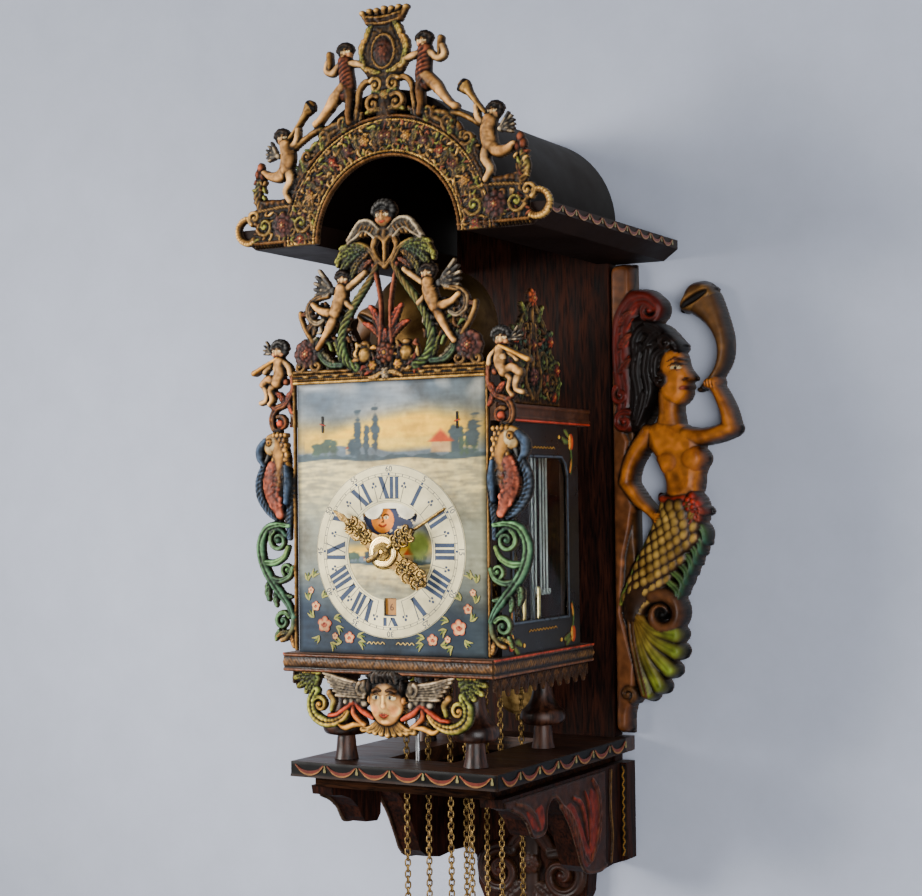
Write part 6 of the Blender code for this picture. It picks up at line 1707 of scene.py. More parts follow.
@dataclass
class Apron:
    """The casting under the base: winged head, ribbons, green scrolls and a shell collar."""

    plane: float = -0.2846

    def build(self) -> None:
        """Draw both halves and make the casting."""
        r = Relief((-99.0, 25.0), (99.0, 85.0), 0.7)
        for r.flip in (1.0, -1.0):
            self._half(r)
        r.flip = 1.0
        self._head(r)
        r.cut_beside(-98.6, 98.6)
        r.finished(*WEAR_AND_SHADE)
        settle(r.mesh("apron_casting", Facing.FRONT, self.plane), CAST, ROOT, "cast_ornament", "apron")

    def _half(self, r: Relief) -> None:
        """Wing, leaf fan, scroll and ribbon of one side.

        Args:
            r: the field that is drawn on.
        """
        r.area([(-2, 79), (99, 79), (99, 85), (-2, 85)], 1.6, BROWN, 0.8, 1.0)
        for k in range(6):
            t = k / 5
            r.stroke([(24, 70 - 9 * t), (44, 73.5 - 12 * t), (66 - 14 * t, 80 - 19 * t)], [3.2, 3.0, 1.6],
                     3.2, (0.66, 0.61, 0.53, 0.05), 2.4 + 1.2 * t, tip=GREY, edge=UMBER, groove=0.3)
        r.dome((23.5, 68), (7.0, 8.0), 4.6, GREY, 2.6, edge=UMBER)
        r.curl((24, 67), 60, -1.2, 6.0, 2.2, GREY, 2.2, 5.0)
        for x, y, size in ((29, 58, 5.0), (36, 56.5, 4.4), (42, 56.0, 3.8), (24, 55, 4.0)):
            r.dome((x, y), size, 4.0, GREY, 2.4, edge=SLATE)
        for tip in ((97, 82), (98, 74), (94, 66), (86, 61), (80, 60)):
            r.leaf((72, 76), tip, 4.6, LEAF, GREEN, 0.06, 3.6, 2.2)
        r.leaf((70, 80), (88, 80), 4.0, GREEN, OCHRE, 0.08, 3.4, 3.0)
        r.stroke([(74, 64), (79, 55), (77, 44), (68, 37.5), (57, 37), (47, 41), (41, 47)],
                 [4.4, 5.2, 5.6, 5.2, 4.6, 3.8, 2.6], 4.8, GREEN, 2.0, tip=OCHRE, edge=LEAF, groove=0.35,
                 rib=(16, 0.12))
        r.curl((70, 52), 20, 1.3, 6.6, 2.6, GREEN, 4.0, 2.0, OCHRE)
        r.stroke([(60, 62), (56, 56), (58, 48)], [3.8, 3.4, 2.4], 3.8, BRONZE, 2.0, tip=GREEN, edge=UMBER)
        r.stroke([(15, 43), (25, 48), (34, 55), (42, 50), (52, 44), (60, 43)],
                 [2.6, 3.0, 3.2, 3.0, 2.6, 2.2], 3.8, RED, 2.6, edge=BRICK)
        r.stroke([(35, 54), (35, 46), (30, 40), (24, 36)], [3.0, 2.8, 2.6, 2.4], 3.4, RED, 2.4, tip=OCHRE,
                 edge=BRICK)
        r.stroke([(24, 36), (34, 36), (44, 33), (50, 35)], [2.4, 2.8, 2.8, 1.6], 3.2, OCHRE, 2.2, edge=UMBER)

    def _head(self, r: Relief) -> None:
        """The child's head with its collar.

        Args:
            r: the field that is drawn on.
        """
        for k in range(-4, 5):
            r.stroke([(2.0 * k, 42), (4.4 * k, 34), (6.4 * k, 29 + 0.9 * abs(k))], [2.2, 2.8, 3.4], 3.4,
                     OCHRE, 3.0 - 0.15 * abs(k), tip=GOLD, edge=BROWN, groove=0.3)
        flesh, shade, blush = (0.96, 0.72, 0.42, 0.0), (0.70, 0.45, 0.23, 0.0), (0.95, 0.58, 0.33, 0.0)
        r.stroke([(-20, 80), (0, 82), (20, 80)], 3.6, 3.0, SLATE, 2.0)
        r.dome((0, 69), (19.4, 16.0), 7.4, HAIR, 2.4, edge=BLACK, power=0.4)
        r.dome((0, 58.0), (17.2, 22.0), 8.6, flesh, 3.0, edge=shade, power=0.36)
        for x, y, size in ((-16.4, 71, (2.6, 6.4)), (16.4, 71, (2.6, 6.4)), (-10.5, 79.4, (7.0, 3.6)),
                           (10.5, 79.4, (7.0, 3.6))):
            r.dome((x, y), size, 2.6, HAIR, 8.0, edge=BLACK)
        r.dome((0, 79.8), (9.0, 4.0), 2.8, HAIR, 9.6, edge=BLACK)
        for x in (-10.5, -6.5, -2.2, 2.2, 6.5, 10.5):
            r.stroke([(0.8 * x, 82), (x, 78.5), (1.08 * x, 75.6 - 0.09 * abs(x))], [1.6, 1.9, 1.0], 1.4,
                     HAIR, 10.6, edge=SLATE)
        for s in (-1, 1):
            eye = (6.8 * s, 61.5)
            r.dome(eye, (4.1, 2.3), 1.0, CREAM, 10.6)
            r.dome(eye, 1.9, 1.3, BLUE, 10.7)
            r.dome(eye, 0.9, 1.6, BLACK, 10.8)
            for lift, size, paint in ((2.7, 0.55, BROWN), (6.4, 0.95, UMBER)):
                r.stroke([(eye[0] - 4.2, eye[1] + lift - 0.9), (eye[0], eye[1] + lift + 0.5),
                          (eye[0] + 4.2, eye[1] + lift - 0.9)], size, 0.9, paint, 11.0)
            r.dome((9.4 * s, 51.0), 6.0, 0.0, blush, edge=flesh, sink=True)
            r.dome((17.0 * s, 59.0), (2.2, 3.8), 3.0, shade, 5.0)
        r.stroke([(0, 62.5), (0, 57.5), (0, 54.6)], [1.2, 1.5, 2.6], 1.5, flesh, 11.2, edge=blush)
        r.stroke([(-3.4, 46.6), (-1.4, 47.4), (0, 47.0), (1.4, 47.4), (3.4, 46.6)], 0.8, 1.2, RED, 10.5)
        r.stroke([(-2.4, 45.8), (0, 45.0), (2.4, 45.8)], 0.85, 1.2, RED, 10.4)
        r.dome((0, 41.4), (4.4, 2.4), 1.0, flesh, 8.6, edge=blush)


@dataclass
class SideCrest:
    """The casting on the case's side: a pyramid of leaves and red flowers."""

    name: str
    node: str
    facing: Facing
    plane: float

    def build(self) -> None:
        """Draw the casting for this side."""
        middle = -200.0 if self.facing is Facing.RIGHT else 200.0
        r = Relief((middle - 60, 313.0), (middle + 60, 418.0), 0.9)
        r.u = r.u - middle
        for r.flip in (1.0, -1.0):
            r.area([(-2, 313), (54, 313), (54, 321), (-2, 321)], 2.0, BROWN, 1.0, 1.4)
            r.stroke([(48, 322), (50, 336), (44, 350), (34, 360), (30, 372), (22, 384), (12, 396),
                      (3, 404)], [4.6, 5.0, 5.0, 4.6, 4.2, 4.0, 3.6, 3.2], 3.2, LEAF, 1.4, tip=BRONZE,
                     edge=UMBER, groove=0.3, rib=(14, 0.2))
            r.curl((36, 334), 20, 1.4, 9.0, 3.0, BRONZE, 3.2, 1.6)
            r.curl((20, 352), 200, -1.4, 9.0, 3.0, BRONZE, 3.2, 1.6, LEAF)
            r.leaf((30, 344), (53, 352), 5.0, LEAF, GREEN, 0.1, 3.0, 2.0)
            r.leaf((24, 366), (40, 380), 4.6, TEAL, LEAF, 0.1, 3.0, 2.0)
            r.leaf((12, 388), (22, 402), 4.0, LEAF, GREEN, 0.1, 3.0, 2.0)
            r.leaf((44, 324), (56, 336), 4.4, GREEN, LEAF, 0.1, 3.0, 2.0)
            r.rose((45, 346), 6.6, RED, OCHRE, 6, 3.0, 3.0)
            r.rose((33, 371), 5.8, RED, OCHRE, 6, 3.0, 3.0)
            r.rose((40, 322), 5.4, RED, OCHRE, 6, 2.6, 3.0)
            r.stroke([(4, 320), (14, 334), (12, 350), (6, 364), (4, 384)], [4.0, 4.2, 4.0, 3.6, 3.0], 3.2,
                     BRONZE, 1.4, edge=UMBER)
            r.scatter([(x, y) for x in np.arange(3, 46, 6) for y in np.arange(322, 350, 6)], 8.0, 2.2, 2.0,
                      (LEAF, BRONZE, BRICK, TEAL, BROWN))
            r.scatter([(x, y) for x in np.arange(2, 28, 6) for y in np.arange(350, 384, 6)], 8.0, 2.2, 2.0,
                      (LEAF, BRONZE, BRICK, TEAL, BROWN))
        r.flip = 1.0
        r.rose((0, 338), 8.0, PLUM, GOLD, 7, 3.2, 3.2)
        r.rose((0, 366), 6.0, BRICK, OCHRE, 6, 3.0, 3.2)
        r.rose((0, 408), 8.4, (0.72, 0.27, 0.12, 0.0), OCHRE, 7, 3.4, 2.6)
        r.stroke([(0, 320), (0, 360), (0, 404)], [5.0, 4.0, 3.0], 3.0, BRONZE, 1.4, edge=UMBER)
        r.cut_below(313.2)
        r.u = r.u + middle
        r.finished(*WEAR_AND_SHADE)
        settle(r.mesh(self.name, self.facing, self.plane), CAST, ROOT, "cast_ornament", self.node)


@dataclass
class Mermaid:
    """The carved horn blower beside the back board, with the moulded strip that carries it."""

    name: str
    node: str
    side: float
    plane: float = 0.0
    lift: float = 8.0
    skin: Rgba = (0.63, 0.365, 0.13, 0.0)
    board: Rgba = (0.38, 0.225, 0.12, 0.0)
    locks: Rgba = (0.09, 0.05, 0.034, 0.0)

    def build(self) -> None:
        """Draw the carving for this side."""
        low, high = (90.8, 223.0) if self.side > 0 else (-223.0, -90.8)
        r = Relief((low, 2.0), (high, 458.0), 1.0)
        r.flip = self.side
        r.ground = self.lift
        self._strip(r)
        self._drapery(r)
        self._body(r)
        self._horn(r)
        self._head(r)
        self._tail(r)
        r.cut_below(3.2)
        # Painted shade in hollows, along the outline and on the rounded edges
        r.finished(0.9, 0.0, 1.5, 0.0, 0.0, 0.6, 9.0)
        settle(r.mesh(self.name, Facing.FRONT, self.plane), CARVED, ROOT, "mermaid_wood", self.node)

    def _strip(self, r: Relief) -> None:
        """The moulded strip with its wavy edge.

        Args:
            r: the field that is drawn on.
        """
        edge = [(92.0, 3), (92.0, 457.5), (114, 457.5), (113, 430), (106, 415), (101, 380), (100, 330),
                (103, 300), (110, 285), (106, 262), (108, 240), (114, 222), (110, 200), (104, 176),
                (102, 150), (100, 120), (106, 96), (113, 70), (112, 48), (110, 34), (106, 22), (105, 3)]
        r.area([(91.6, 3), (91.6, 457.5), (115, 457.5), (115, 60), (110, 34), (106.5, 22), (106, 3)], 5.0,
               BROWN, 4.0, 2.0)
        r.area(edge, 4.0, self.board, 9.0, 2.4)
        r.stroke([(95.0, 4), (95.0, 456)], 0.9, 1.0, UMBER, 12.0)

    def _drapery(self, r: Relief) -> None:
        """Red scrolls behind the hair.

        Args:
            r: the field that is drawn on.
        """
        red = (0.34, 0.09, 0.05, 0.0)
        r.stroke([(140, 414), (130, 421), (117, 418), (107, 403), (103, 380), (104, 352), (107, 330),
                  (105, 312), (110, 300)], [7, 10.5, 12.5, 12.5, 12, 11, 9, 7.4, 5.6], 7.0, red, 9.0,
                 edge=(0.26, 0.10, 0.065, 0.0), groove=0.22)
        for x, y in ((106, 348), (108, 366), (111, 384), (118, 400)):
            r.stroke([(x - 10, y + 4), (x, y + 9), (x + 7, y + 19)], [1.2, 2.2, 0.8], 2.0,
                     (0.45, 0.135, 0.075, 0.0), 13.0, edge=red)
        r.curl((134, 410), 70, -1.3, 11.0, 5.0, red, 6.0, 10.0)
        r.curl((103, 330), 120, 1.2, 8.0, 3.6, red, 5.0, 12.0)
        r.curl((107, 304), 60, 1.25, 9.4, 4.2, red, 6.0, 11.0)
        for y in (352, 376, 398):
            r.leaf((104, y), (117, y + 12), 4.6, red, BRICK, 0.12, 4.0, 13.0)

    def _body(self, r: Relief) -> None:
        """Trunk and arms.

        Args:
            r: the field that is drawn on.
        """
        skin = self.skin
        # dark edges the rounded forms and the fingers as painted shade
        dark = (0.50, 0.27, 0.10, 0.0)
        r.limb([(130, 293), (113, 268), (106, 246)], [8.6, 8.0, 7.2], skin, 9.0, 8.5)
        r.limb([(106, 246), (121, 226), (138, 211)], [7.2, 6.4, 5.4], skin, 9.0, 8.0)
        for k in range(4):
            r.stroke([(138, 212 - 2.4 * k + 3), (147, 211 - 2.6 * k + 3), (152, 207 - 2.6 * k + 4)], 1.8,
                     6.5, skin, 11.0, edge=dark)
        r.area([(126, 297), (140, 304), (150, 306), (160, 303), (176, 294), (184, 286), (184, 276),
                (188, 266), (183, 252), (181, 236), (166, 226), (150, 228), (146, 246), (140, 262),
                (132, 276)], 9.0, skin, 9.0, 9.0, 2)
        r.dome((177, 267), (12.5, 11.5), 5.0, skin, 15.0, edge=dark)
        r.dome((152, 264), (12.0, 11.0), 3.4, skin, 16.0, edge=dark)
        r.limb([(168, 289), (182, 288), (201, 291), (214, 295)], [9.4, 8.8, 8.4, 7.8], skin, 9.0, 9.0)
        r.limb([(213.5, 295), (209, 312), (202, 328), (197, 336)], [7.8, 7.4, 6.4, 5.8], skin, 9.0, 8.5)
        r.limb([(152, 328), (151, 314), (151, 302)], [11.4, 11.2, 13.0], skin, 9.0, 7.5)

    def _horn(self, r: Relief) -> None:
        """The horn with its flared mouth, and the hand that holds it.

        Args:
            r: the field that is drawn on.
        """
        horn = (0.36, 0.24, 0.12, 0.0)
        r.stroke([(179, 333), (188, 337), (198, 345), (206, 360), (206.5, 378), (200, 396), (190, 412),
                  (183, 420)], [2.6, 3.6, 4.8, 6.2, 7.6, 10.0, 14.5, 17.0], 9.5, horn, 8.0,
                 edge=UMBER, steps=8)
        r.dome((180.2, 418.8), (21.0, 7.8), 3.0, horn, 15.0, turn=28.6, edge=BRONZE)
        # The mouth is pressed in and painted black, as shade inside the horn
        r.dome((180.0, 418.4), (17.0, 4.0), 6.0, BLACK, 12.0, turn=28.6, sink=True)
        r.dome((197, 338.5), (8.0, 7.0), 7.0, self.skin, 11.0, turn=30)
        for k in range(4):
            r.stroke([(190.5 + 3.2 * k, 341.5 - 0.4 * k), (191.5 + 3.2 * k, 334.5 - 0.4 * k)], 1.7, 7.4,
                     self.skin, 12.4, edge=BROWN)

    def _head(self, r: Relief) -> None:
        """A head in profile with waved hair.

        Args:
            r: the field that is drawn on.
        """
        skin, dark, line = self.skin, (0.44, 0.24, 0.09, 0.0), (0.24, 0.13, 0.06, 0.0)
        r.area([(112, 404), (130, 406), (144, 392), (157, 384), (163, 374), (150, 366), (142, 346),
                (139, 326), (132, 308), (122, 294), (112, 298), (111, 330), (113, 370)], 7.0, self.locks,
               9.0, 6.0, 2)
        r.area([(148, 374), (160, 374), (167, 366), (169, 357), (173, 350), (177, 345.5), (176.5, 342),
                (172, 340.5), (173.5, 336), (171.5, 333.5), (172, 329), (167, 321), (157, 318), (147, 322),
                (142, 336), (143, 358)], 8.5, skin, 10.0, 8.0, 2)
        r.dome((156, 336), (8.0, 7.4), 1.2, skin, 17.6)
        r.dome((161.2, 353.6), (4.8, 2.4), 1.2, (0.72, 0.62, 0.44, 0.0), 17.8, turn=-6)
        r.dome((162.8, 353.2), 1.9, 1.4, BLACK, 18.2)
        for lift, size, start, paint in ((3.0, 0.95, 155.0, UMBER), (-2.6, 0.6, 156.6, dark),
                                         (7.6, 1.0, 154.2, line)):
            r.stroke([(start, 353.6 + lift - 1.4), (160.8, 354.8 + lift), (166.6, 353.8 + lift)],
                     [0.5 * size, size, 0.6 * size], 1.2, paint, 18.0)
        r.stroke([(167.0, 334.4), (172.2, 334.9)], [0.8, 1.3], 1.2, BRICK, 17.2)
        r.stroke([(170.0, 342.2), (171.6, 343.4)], 0.6, 0.8, line, 17.4)
        for rows, wide in ((((163, 374), (152, 384), (138, 384), (128, 372)), 5.4),
                           (((150, 372), (141, 366), (139, 350), (143, 338)), 5.0),
                           (((140, 388), (128, 392), (120, 380), (122, 362)), 5.6),
                           (((134, 372), (131, 352), (134, 334), (131, 318)), 5.6),
                           (((124, 376), (120, 352), (123, 330), (119, 306)), 5.6),
                           (((130, 330), (126, 314), (121, 300)), 5.0),
                           (((158, 380), (146, 392), (132, 398)), 5.0)):
            r.stroke(rows, [wide, wide, wide * 0.9, wide * 0.5], 5.6, self.locks, 14.0, edge=BLACK,
                     groove=0.3)
        r.curl((152, 378), 20, 1.3, 7.0, 3.2, self.locks, 5.0, 16.0)
        r.curl((146, 342), 90, -1.2, 6.0, 2.8, self.locks, 5.0, 16.0)

    def _tail(self, r: Relief) -> None:
        """Scaled tail, fins, volute and shell fan.

        Args:
            r: the field that is drawn on.
        """
        scale = (0.66, 0.52, 0.25, 0.1)
        for k in range(7):
            x, y = 184 - 4.4 * k, 208 - 9.6 * k
            r.stroke([(x - 8, y), (x + 1, y - 9), (x + 2.5 - 0.5 * k, y - 21)], [4.0, 4.6, 2.6], 5.6, LEAF,
                     8.0 + 0.2 * k, tip=TEAL, edge=UMBER, groove=0.3)
        for k in range(6):
            x, y = 133 - 5.4 * k, 206 - 11.5 * k
            r.stroke([(x + 8, y), (x - 1, y - 8), (x - 6, y - 20)], [3.8, 4.4, 2.4], 5.6, LEAF, 8.0,
                     tip=GREEN, edge=UMBER, groove=0.3)
        spine = smooth([(161, 226), (160, 206), (148, 182), (132, 158), (116, 134), (112, 118)], 8)
        wide = np.interp(np.linspace(0, 1, len(spine)), [0, 0.25, 0.6, 1.0], [18.0, 24.0, 19.0, 10.0])
        r.stroke(spine[::8], wide[::8], 9.0, UMBER, 8.0)
        run = travelled(spine)
        for row, at in enumerate(np.arange(4.0, run[-1] - 4.0, 7.4)):
            here = np.array(spot_on(spine, run, at))
            ahead = np.array(spot_on(spine, run, at + 2)) - here
            ahead = ahead / max(np.hypot(*ahead), 1e-6)
            across = np.array([-ahead[1], ahead[0]])
            half = float(np.interp(at, run, wide))
            turn = math.degrees(math.atan2(ahead[1], ahead[0]))
            for s in np.arange(-half + 4.0 + 4.4 * (row % 2), half - 2.0, 8.8):
                lift = 9.4 * math.sqrt(max(0.0, 1 - (s / half) ** 2)) + 7.4
                spot = here + across * s
                r.dome((spot[0], spot[1]), (6.6, 4.9), 1.9, scale, lift - 0.32 * row + 2.4, turn=turn,
                       edge=UMBER)
        volute = (0.34, 0.21, 0.12, 0.0)
        r.curl((142, 119), 118, -1.35, 18.5, 8.2, volute, 9.0, 8.0, groove=0.0)
        # The volute's eye is pressed in and painted black, as shade in its hollow
        r.dome((142, 119), (7.0, 8.0), 5.0, BLACK, 8.0, sink=True)
        for k, (x, y) in enumerate(((155, 100), (156, 84), (149, 66), (138, 50), (126, 42))):
            r.stroke([(113, 122), ((113 + x) / 2 - 2, (118 + y) / 2 - 4), (x, y)],
                     [3.6, 7.0, 9.0 - 0.3 * k], 8.0, (0.48, 0.34, 0.14, 0.0), 8.6 - 0.4 * k,
                     tip=(0.42, 0.48, 0.15, 0.0), edge=UMBER, groove=0.12)
        r.stroke([(110, 124), (112, 96), (118, 66), (124, 42)], [5.4, 5.0, 5.4, 6.0], 7.0, BROWN, 9.0,
                 edge=UMBER, groove=0.3)
        r.curl((106.5, 42), -60, 1.1, 7.2, 3.6, BROWN, 6.0, 10.0)
        r.stroke([(138, 232), (150, 228), (168, 230)], [3.4, 4.0, 3.6], 5.5, (0.50, 0.16, 0.09, 0.0), 13.0,
                 edge=BRICK)
        red = (0.58, 0.16, 0.10, 0.0)
        for angle in (200, 235, 270, 305, 340):
            a = math.radians(angle)
            r.leaf((174, 222), polar(18, a, (174, 222)), 5.2, red, BRICK, 0.0, 5.0, 14.0, 2)
        r.rose((174, 224), 12.0, red, BRICK, 5, 6.0, 14.0)


def solid(name: str, verts: Sequence[Sequence[float]], faces: Sequence[Sequence[int]]) -> bpy.types.Object:
    """Make an object from points and faces, with its faces turned outwards.

    Args:
        name: the piece's name.
        verts: points in metres.
        faces: numbers of each face's points.
    Returns:
        The new object.
    """
    mesh = bpy.data.meshes.new(name)
    mesh.from_pydata([tuple(v) for v in verts], [], [tuple(f) for f in faces])
    with edited(mesh) as shape:
        bmesh.ops.recalc_face_normals(shape, faces=shape.faces)
    return placed(name, mesh)


def prisms(name: str, outlines: Sequence[Sequence[Point]], back: float, front: float) -> bpy.types.Object:
    """Flat pieces cut from outlines (x, z in millimetres) between two Y planes in metres.

    Args:
        name: the piece's name.
        outlines: one outline for each piece.
        back: Y of the rear plane.
        front: Y of the front plane.
    Returns:
        One object of all pieces.
    """
    verts, faces = [], []
    for ring in outlines:
        first, count = len(verts), len(ring)
        verts += [(x * MM, front, z * MM) for x, z in ring] + [(x * MM, back, z * MM) for x, z in ring]
        faces.append([first + k for k in range(count)])
        faces.append([first + count + k for k in reversed(range(count))])
        for k in range(count):
            n = (k + 1) % count
            faces.append([first + k, first + count + k, first + count + n, first + n])
    return solid(name, verts, faces)


def lathe(name: str, profile: Sequence[Point], at: Sequence[float], axis: Axis = Axis.UP, sides: int = 64,
          sharp: float = 40.0) -> bpy.types.Object:
    """Turn a profile of (radius, height) points in metres about an axis.

    Args:
        name: the piece's name.
        profile: points from one end to the other; an end with a radius closes on itself.
        at: where the axis stands.
        axis: the way that the heights run.
        sides: facets around.
        sharp: edges over this angle in degrees stay crisp.
    Returns:
        The new object.
    """
    verts, faces = [], []
    for r, h in profile:
        for k in range(sides):
            a = 2 * math.pi * k / sides
            c, s = r * math.cos(a), r * math.sin(a)
            spot = {Axis.UP: (c, s, h), Axis.FRONT: (c, -h, s), Axis.RIGHT: (h, c, s)}[axis]
            verts.append(tuple(o + p for o, p in zip(spot, at)))
    closed = profile[0][0] > 1e-6 and profile[-1][0] > 1e-6
    rows = len(profile)
    for i in range(rows if closed else rows - 1):
        for k in range(sides):
            a, b = i * sides + k, i * sides + (k + 1) % sides
            n = ((i + 1) % rows) * sides
            faces.append((a, b, n + (k + 1) % sides, n + k))
    obj = solid(name, verts, faces)
    welded(obj.data)
    obj.data.shade_smooth()
    obj.data.set_sharp_from_angle(angle=math.radians(sharp))
    return obj


def figures(name: str, entries: Sequence[tuple[str, float, float, float, float]], plane: float,
            deep: float) -> bpy.types.Object:
    """Plain figures as thin raised shapes.

    Args:
        name: the piece's name.
        entries: text, x, z, height in millimetres and turn in degrees, clockwise from upright.
        plane: Y of their front, in metres.
        deep: their thickness.
    Returns:
        One mesh of all figures.
    """
    verts, faces = [], []
    for text, x, z, size, turn in entries:
        curve = bpy.data.curves.new("figure", "FONT")
        curve.body = text
        curve.size = size * 1.38 * MM
        curve.align_x = "CENTER"
        curve.align_y = "CENTER"
        curve.extrude = deep / 2
        curve.resolution_u = 3
        holder = placed("figure", curve)
        bpy.context.view_layer.update()
        mesh = bpy.data.meshes.new_from_object(holder.evaluated_get(bpy.context.evaluated_depsgraph_get()))
        a = math.radians(turn)
        first = len(verts)
        for v in mesh.vertices:
            u, w = v.co.x, v.co.y
            verts.append((x * MM + u * math.cos(a) + w * math.sin(a), plane + deep / 2 - v.co.z,
                          z * MM - u * math.sin(a) + w * math.cos(a)))
        faces += [[first + k for k in p.vertices] for p in mesh.polygons]
        bpy.data.objects.remove(holder)
        bpy.data.curves.remove(curve)
        bpy.data.meshes.remove(mesh)
    obj = solid(name, verts, faces)
    welded(obj.data)
    return obj


@dataclass
class Dial:
    """The painted dial plate: landscape, chapter ring, figures, flowers, moon disc and date ring."""

    rear: float = -0.280
    front: float = -0.2821
    half: float = 95.5
    low: float = 96.9
    high: float = 335.9
    hub: float = 186.5
    ring: tuple[float, float] = (42.5, 75.4)
    moon_middle: float = 226.5
    moon_plane: float = -0.2776
    moon_radius: float = 31.0
    date_plane: float = -0.27985
    date_radius: float = 48.6
    minute_radius: float = 71.4
    ring_lift: float = 0.0007

    def build(self) -> None:
        """Make all pieces of the dial."""
        self._picture()
        self._ring()
        self._marks()
        self._flowers()
        self._moon()
        self._date()

    def _landscape(self, u: np.ndarray, v: np.ndarray, seed: int) -> np.ndarray:
        """A lake in the evening: clouds, glow, hills, trees, water and a dark foot.

        Args:
            u: places across, in millimetres.
            v: places up.
            seed: for the cloud and ripple noise.
        Returns:
            Seen colours for every place.
        """
        chance = np.random.default_rng(seed)
        cloud = blurred(chance.standard_normal(u.shape), 7.0) * 14
        streak = chance.standard_normal(u.shape)
        wisp = blurred(sum(np.roll(streak, k, 1) for k in range(-7, 8)) / 3.9, 0.8) * 1.1

        def mix(share: np.ndarray, first: np.ndarray, second: Sequence[float]) -> np.ndarray:
            """Blend a field of colours towards one colour."""
            s = np.clip(share, 0, 1)[..., None]
            return first * (1 - s) + np.asarray(second) * s

        def even(colour: Sequence[float]) -> np.ndarray:
            """A field of one colour."""
            return np.tile(np.array(colour), u.shape + (1,))

        rgb = even((0.33, 0.39, 0.46))
        rgb = mix(0.35 + 0.6 * cloud, rgb, (0.56, 0.60, 0.64))
        rgb = mix((v - 318) / 20 * (0.4 + 0.5 * cloud), rgb, (0.60, 0.63, 0.67))
        glow = np.exp(-((v - 289 - 6 * np.sin(u / 34.0)) / 13.0) ** 2)
        glow = glow * np.clip(1.25 - np.abs(u + 2) / 104, 0, 1)
        rgb = mix(1.5 * glow + 0.35 * cloud * glow, rgb, (0.93, 0.73, 0.20))
        rgb = mix(1.4 * np.exp(-((v - 281) / 4.5) ** 2) * (np.abs(u) < 88), rgb, (0.90, 0.76, 0.32))
        hills = np.full(u.shape, 273.0)
        for x, wide, tall in ((-52, 20, 7), (-20, 14, 5), (60, 26, 3.5)):
            hills = hills + tall * np.exp(-((u - x) / wide) ** 2)
        rgb = mix((hills - v) / 1.2, rgb, (0.38, 0.44, 0.50))
        near = 270.5 + 0.9 * np.sin(u / 5.0) + 0.7 * np.sin(u / 2.3 + 1) + 1.2 * (np.abs(u) > 60)
        rgb = mix((near - v) / 0.8, rgb, (0.27, 0.33, 0.37))
        for x, y, wide, tall in ((-66, 279, 7, 9), (-57, 277, 6, 7), (-75, 277, 7, 7), (63, 278, 5, 8),
                                 (72, 281, 3, 12), (78, 279, 3, 10), (84, 277, 6, 7)):
            crown = 1 - np.hypot((u - x) / wide, (v - y) / tall) + 0.35 * wisp
            rgb = mix(3 * crown, rgb, (0.26, 0.33, 0.30))
        rgb = mix(4 * (1 - np.maximum(np.abs(u + 40) / 5, np.abs(v - 274) / 2.6)), rgb, (0.66, 0.60, 0.48))
        roof = 1 - np.abs(u + 40) / 6.5 - np.clip((276 - v), 0, 99) * 9 - np.clip(v - 276.4, 0, 99) / 4.2
        rgb = mix(4 * roof, rgb, (0.58, 0.27, 0.16))
        for x, y, wide, tall in ((-32, 288, 4.2, 22), (-23, 284, 3.4, 17), (-14, 291, 4.0, 24),
                                 (-38, 278, 6, 9), (66, 284, 6, 15), (84, 287, 7, 18)):
            crown = 1 - np.hypot((u - x) / wide, (v - y) / tall) + 0.3 * wisp + 0.12 * cloud
            rgb = mix(3 * crown, rgb, (0.24, 0.29, 0.33))
        rgb = mix(4 * (1 - np.maximum(np.abs(u - 52) / 11, np.abs(v - 276) / 5.0)), rgb, (0.70, 0.58, 0.42))
        roof = 1 - np.abs(u - 52) / 15 - np.clip((280 - v), 0, 99) * 9 - np.clip(v - 280.5, 0, 99) / 13
        rgb = mix(3 * roof, rgb, (0.70, 0.28, 0.14))
        shore = 266.5 + 1.2 * np.sin(u / 13.0)
        lake = mix(0.5 + 0.8 * wisp, even((0.60, 0.59, 0.50)), (0.77, 0.73, 0.55))
        lake = mix(0.7 * np.exp(-((u - 10) / 40) ** 2) * np.exp(-((v - 262) / 14) ** 2), lake,
                   (0.84, 0.76, 0.52))
        lake = mix(0.8 - (v - 216) / 34 + 0.12 * cloud, lake, (0.50, 0.53, 0.50))
        dark = mix(0.5 + 0.4 * cloud, even((0.15, 0.19, 0.25)), (0.20, 0.25, 0.31))
        fade = np.clip((178 + 8 * np.sin(u / 22) + 4 * cloud - v) / 46, 0, 1)[..., None]
        lake = lake * (1 - fade) + dark * fade
        below = np.clip((shore - v) / 0.9, 0, 1)[..., None]
        rgb = rgb * (1 - below) + lake * below
        shade = np.clip((u - 20) / 70, 0, 1)[..., None] * np.array([0.10, 0.12, 0.18])
        return np.clip(rgb * (np.array([1.05, 1.01, 0.95]) - shade) * (1 + 0.05 * wisp[..., None]), 0, 1)

    def _picture(self) -> None:
        """The painted plate, with the openings for moon, date and arbor."""
        r = Relief((-self.half, self.low), (self.half, self.high), 1.0)
        gu, gv = np.meshgrid(r.u, r.v)
        r.area([(-self.half, self.low), (self.half, self.low), (self.half, self.high),
                (-self.half, self.high)], 0.1, SLATE, 2.0, 1.0)
        r.paint[..., :3] = self._landscape(gu, gv, 3)
        inner = np.hypot(gu, gv - self.hub)
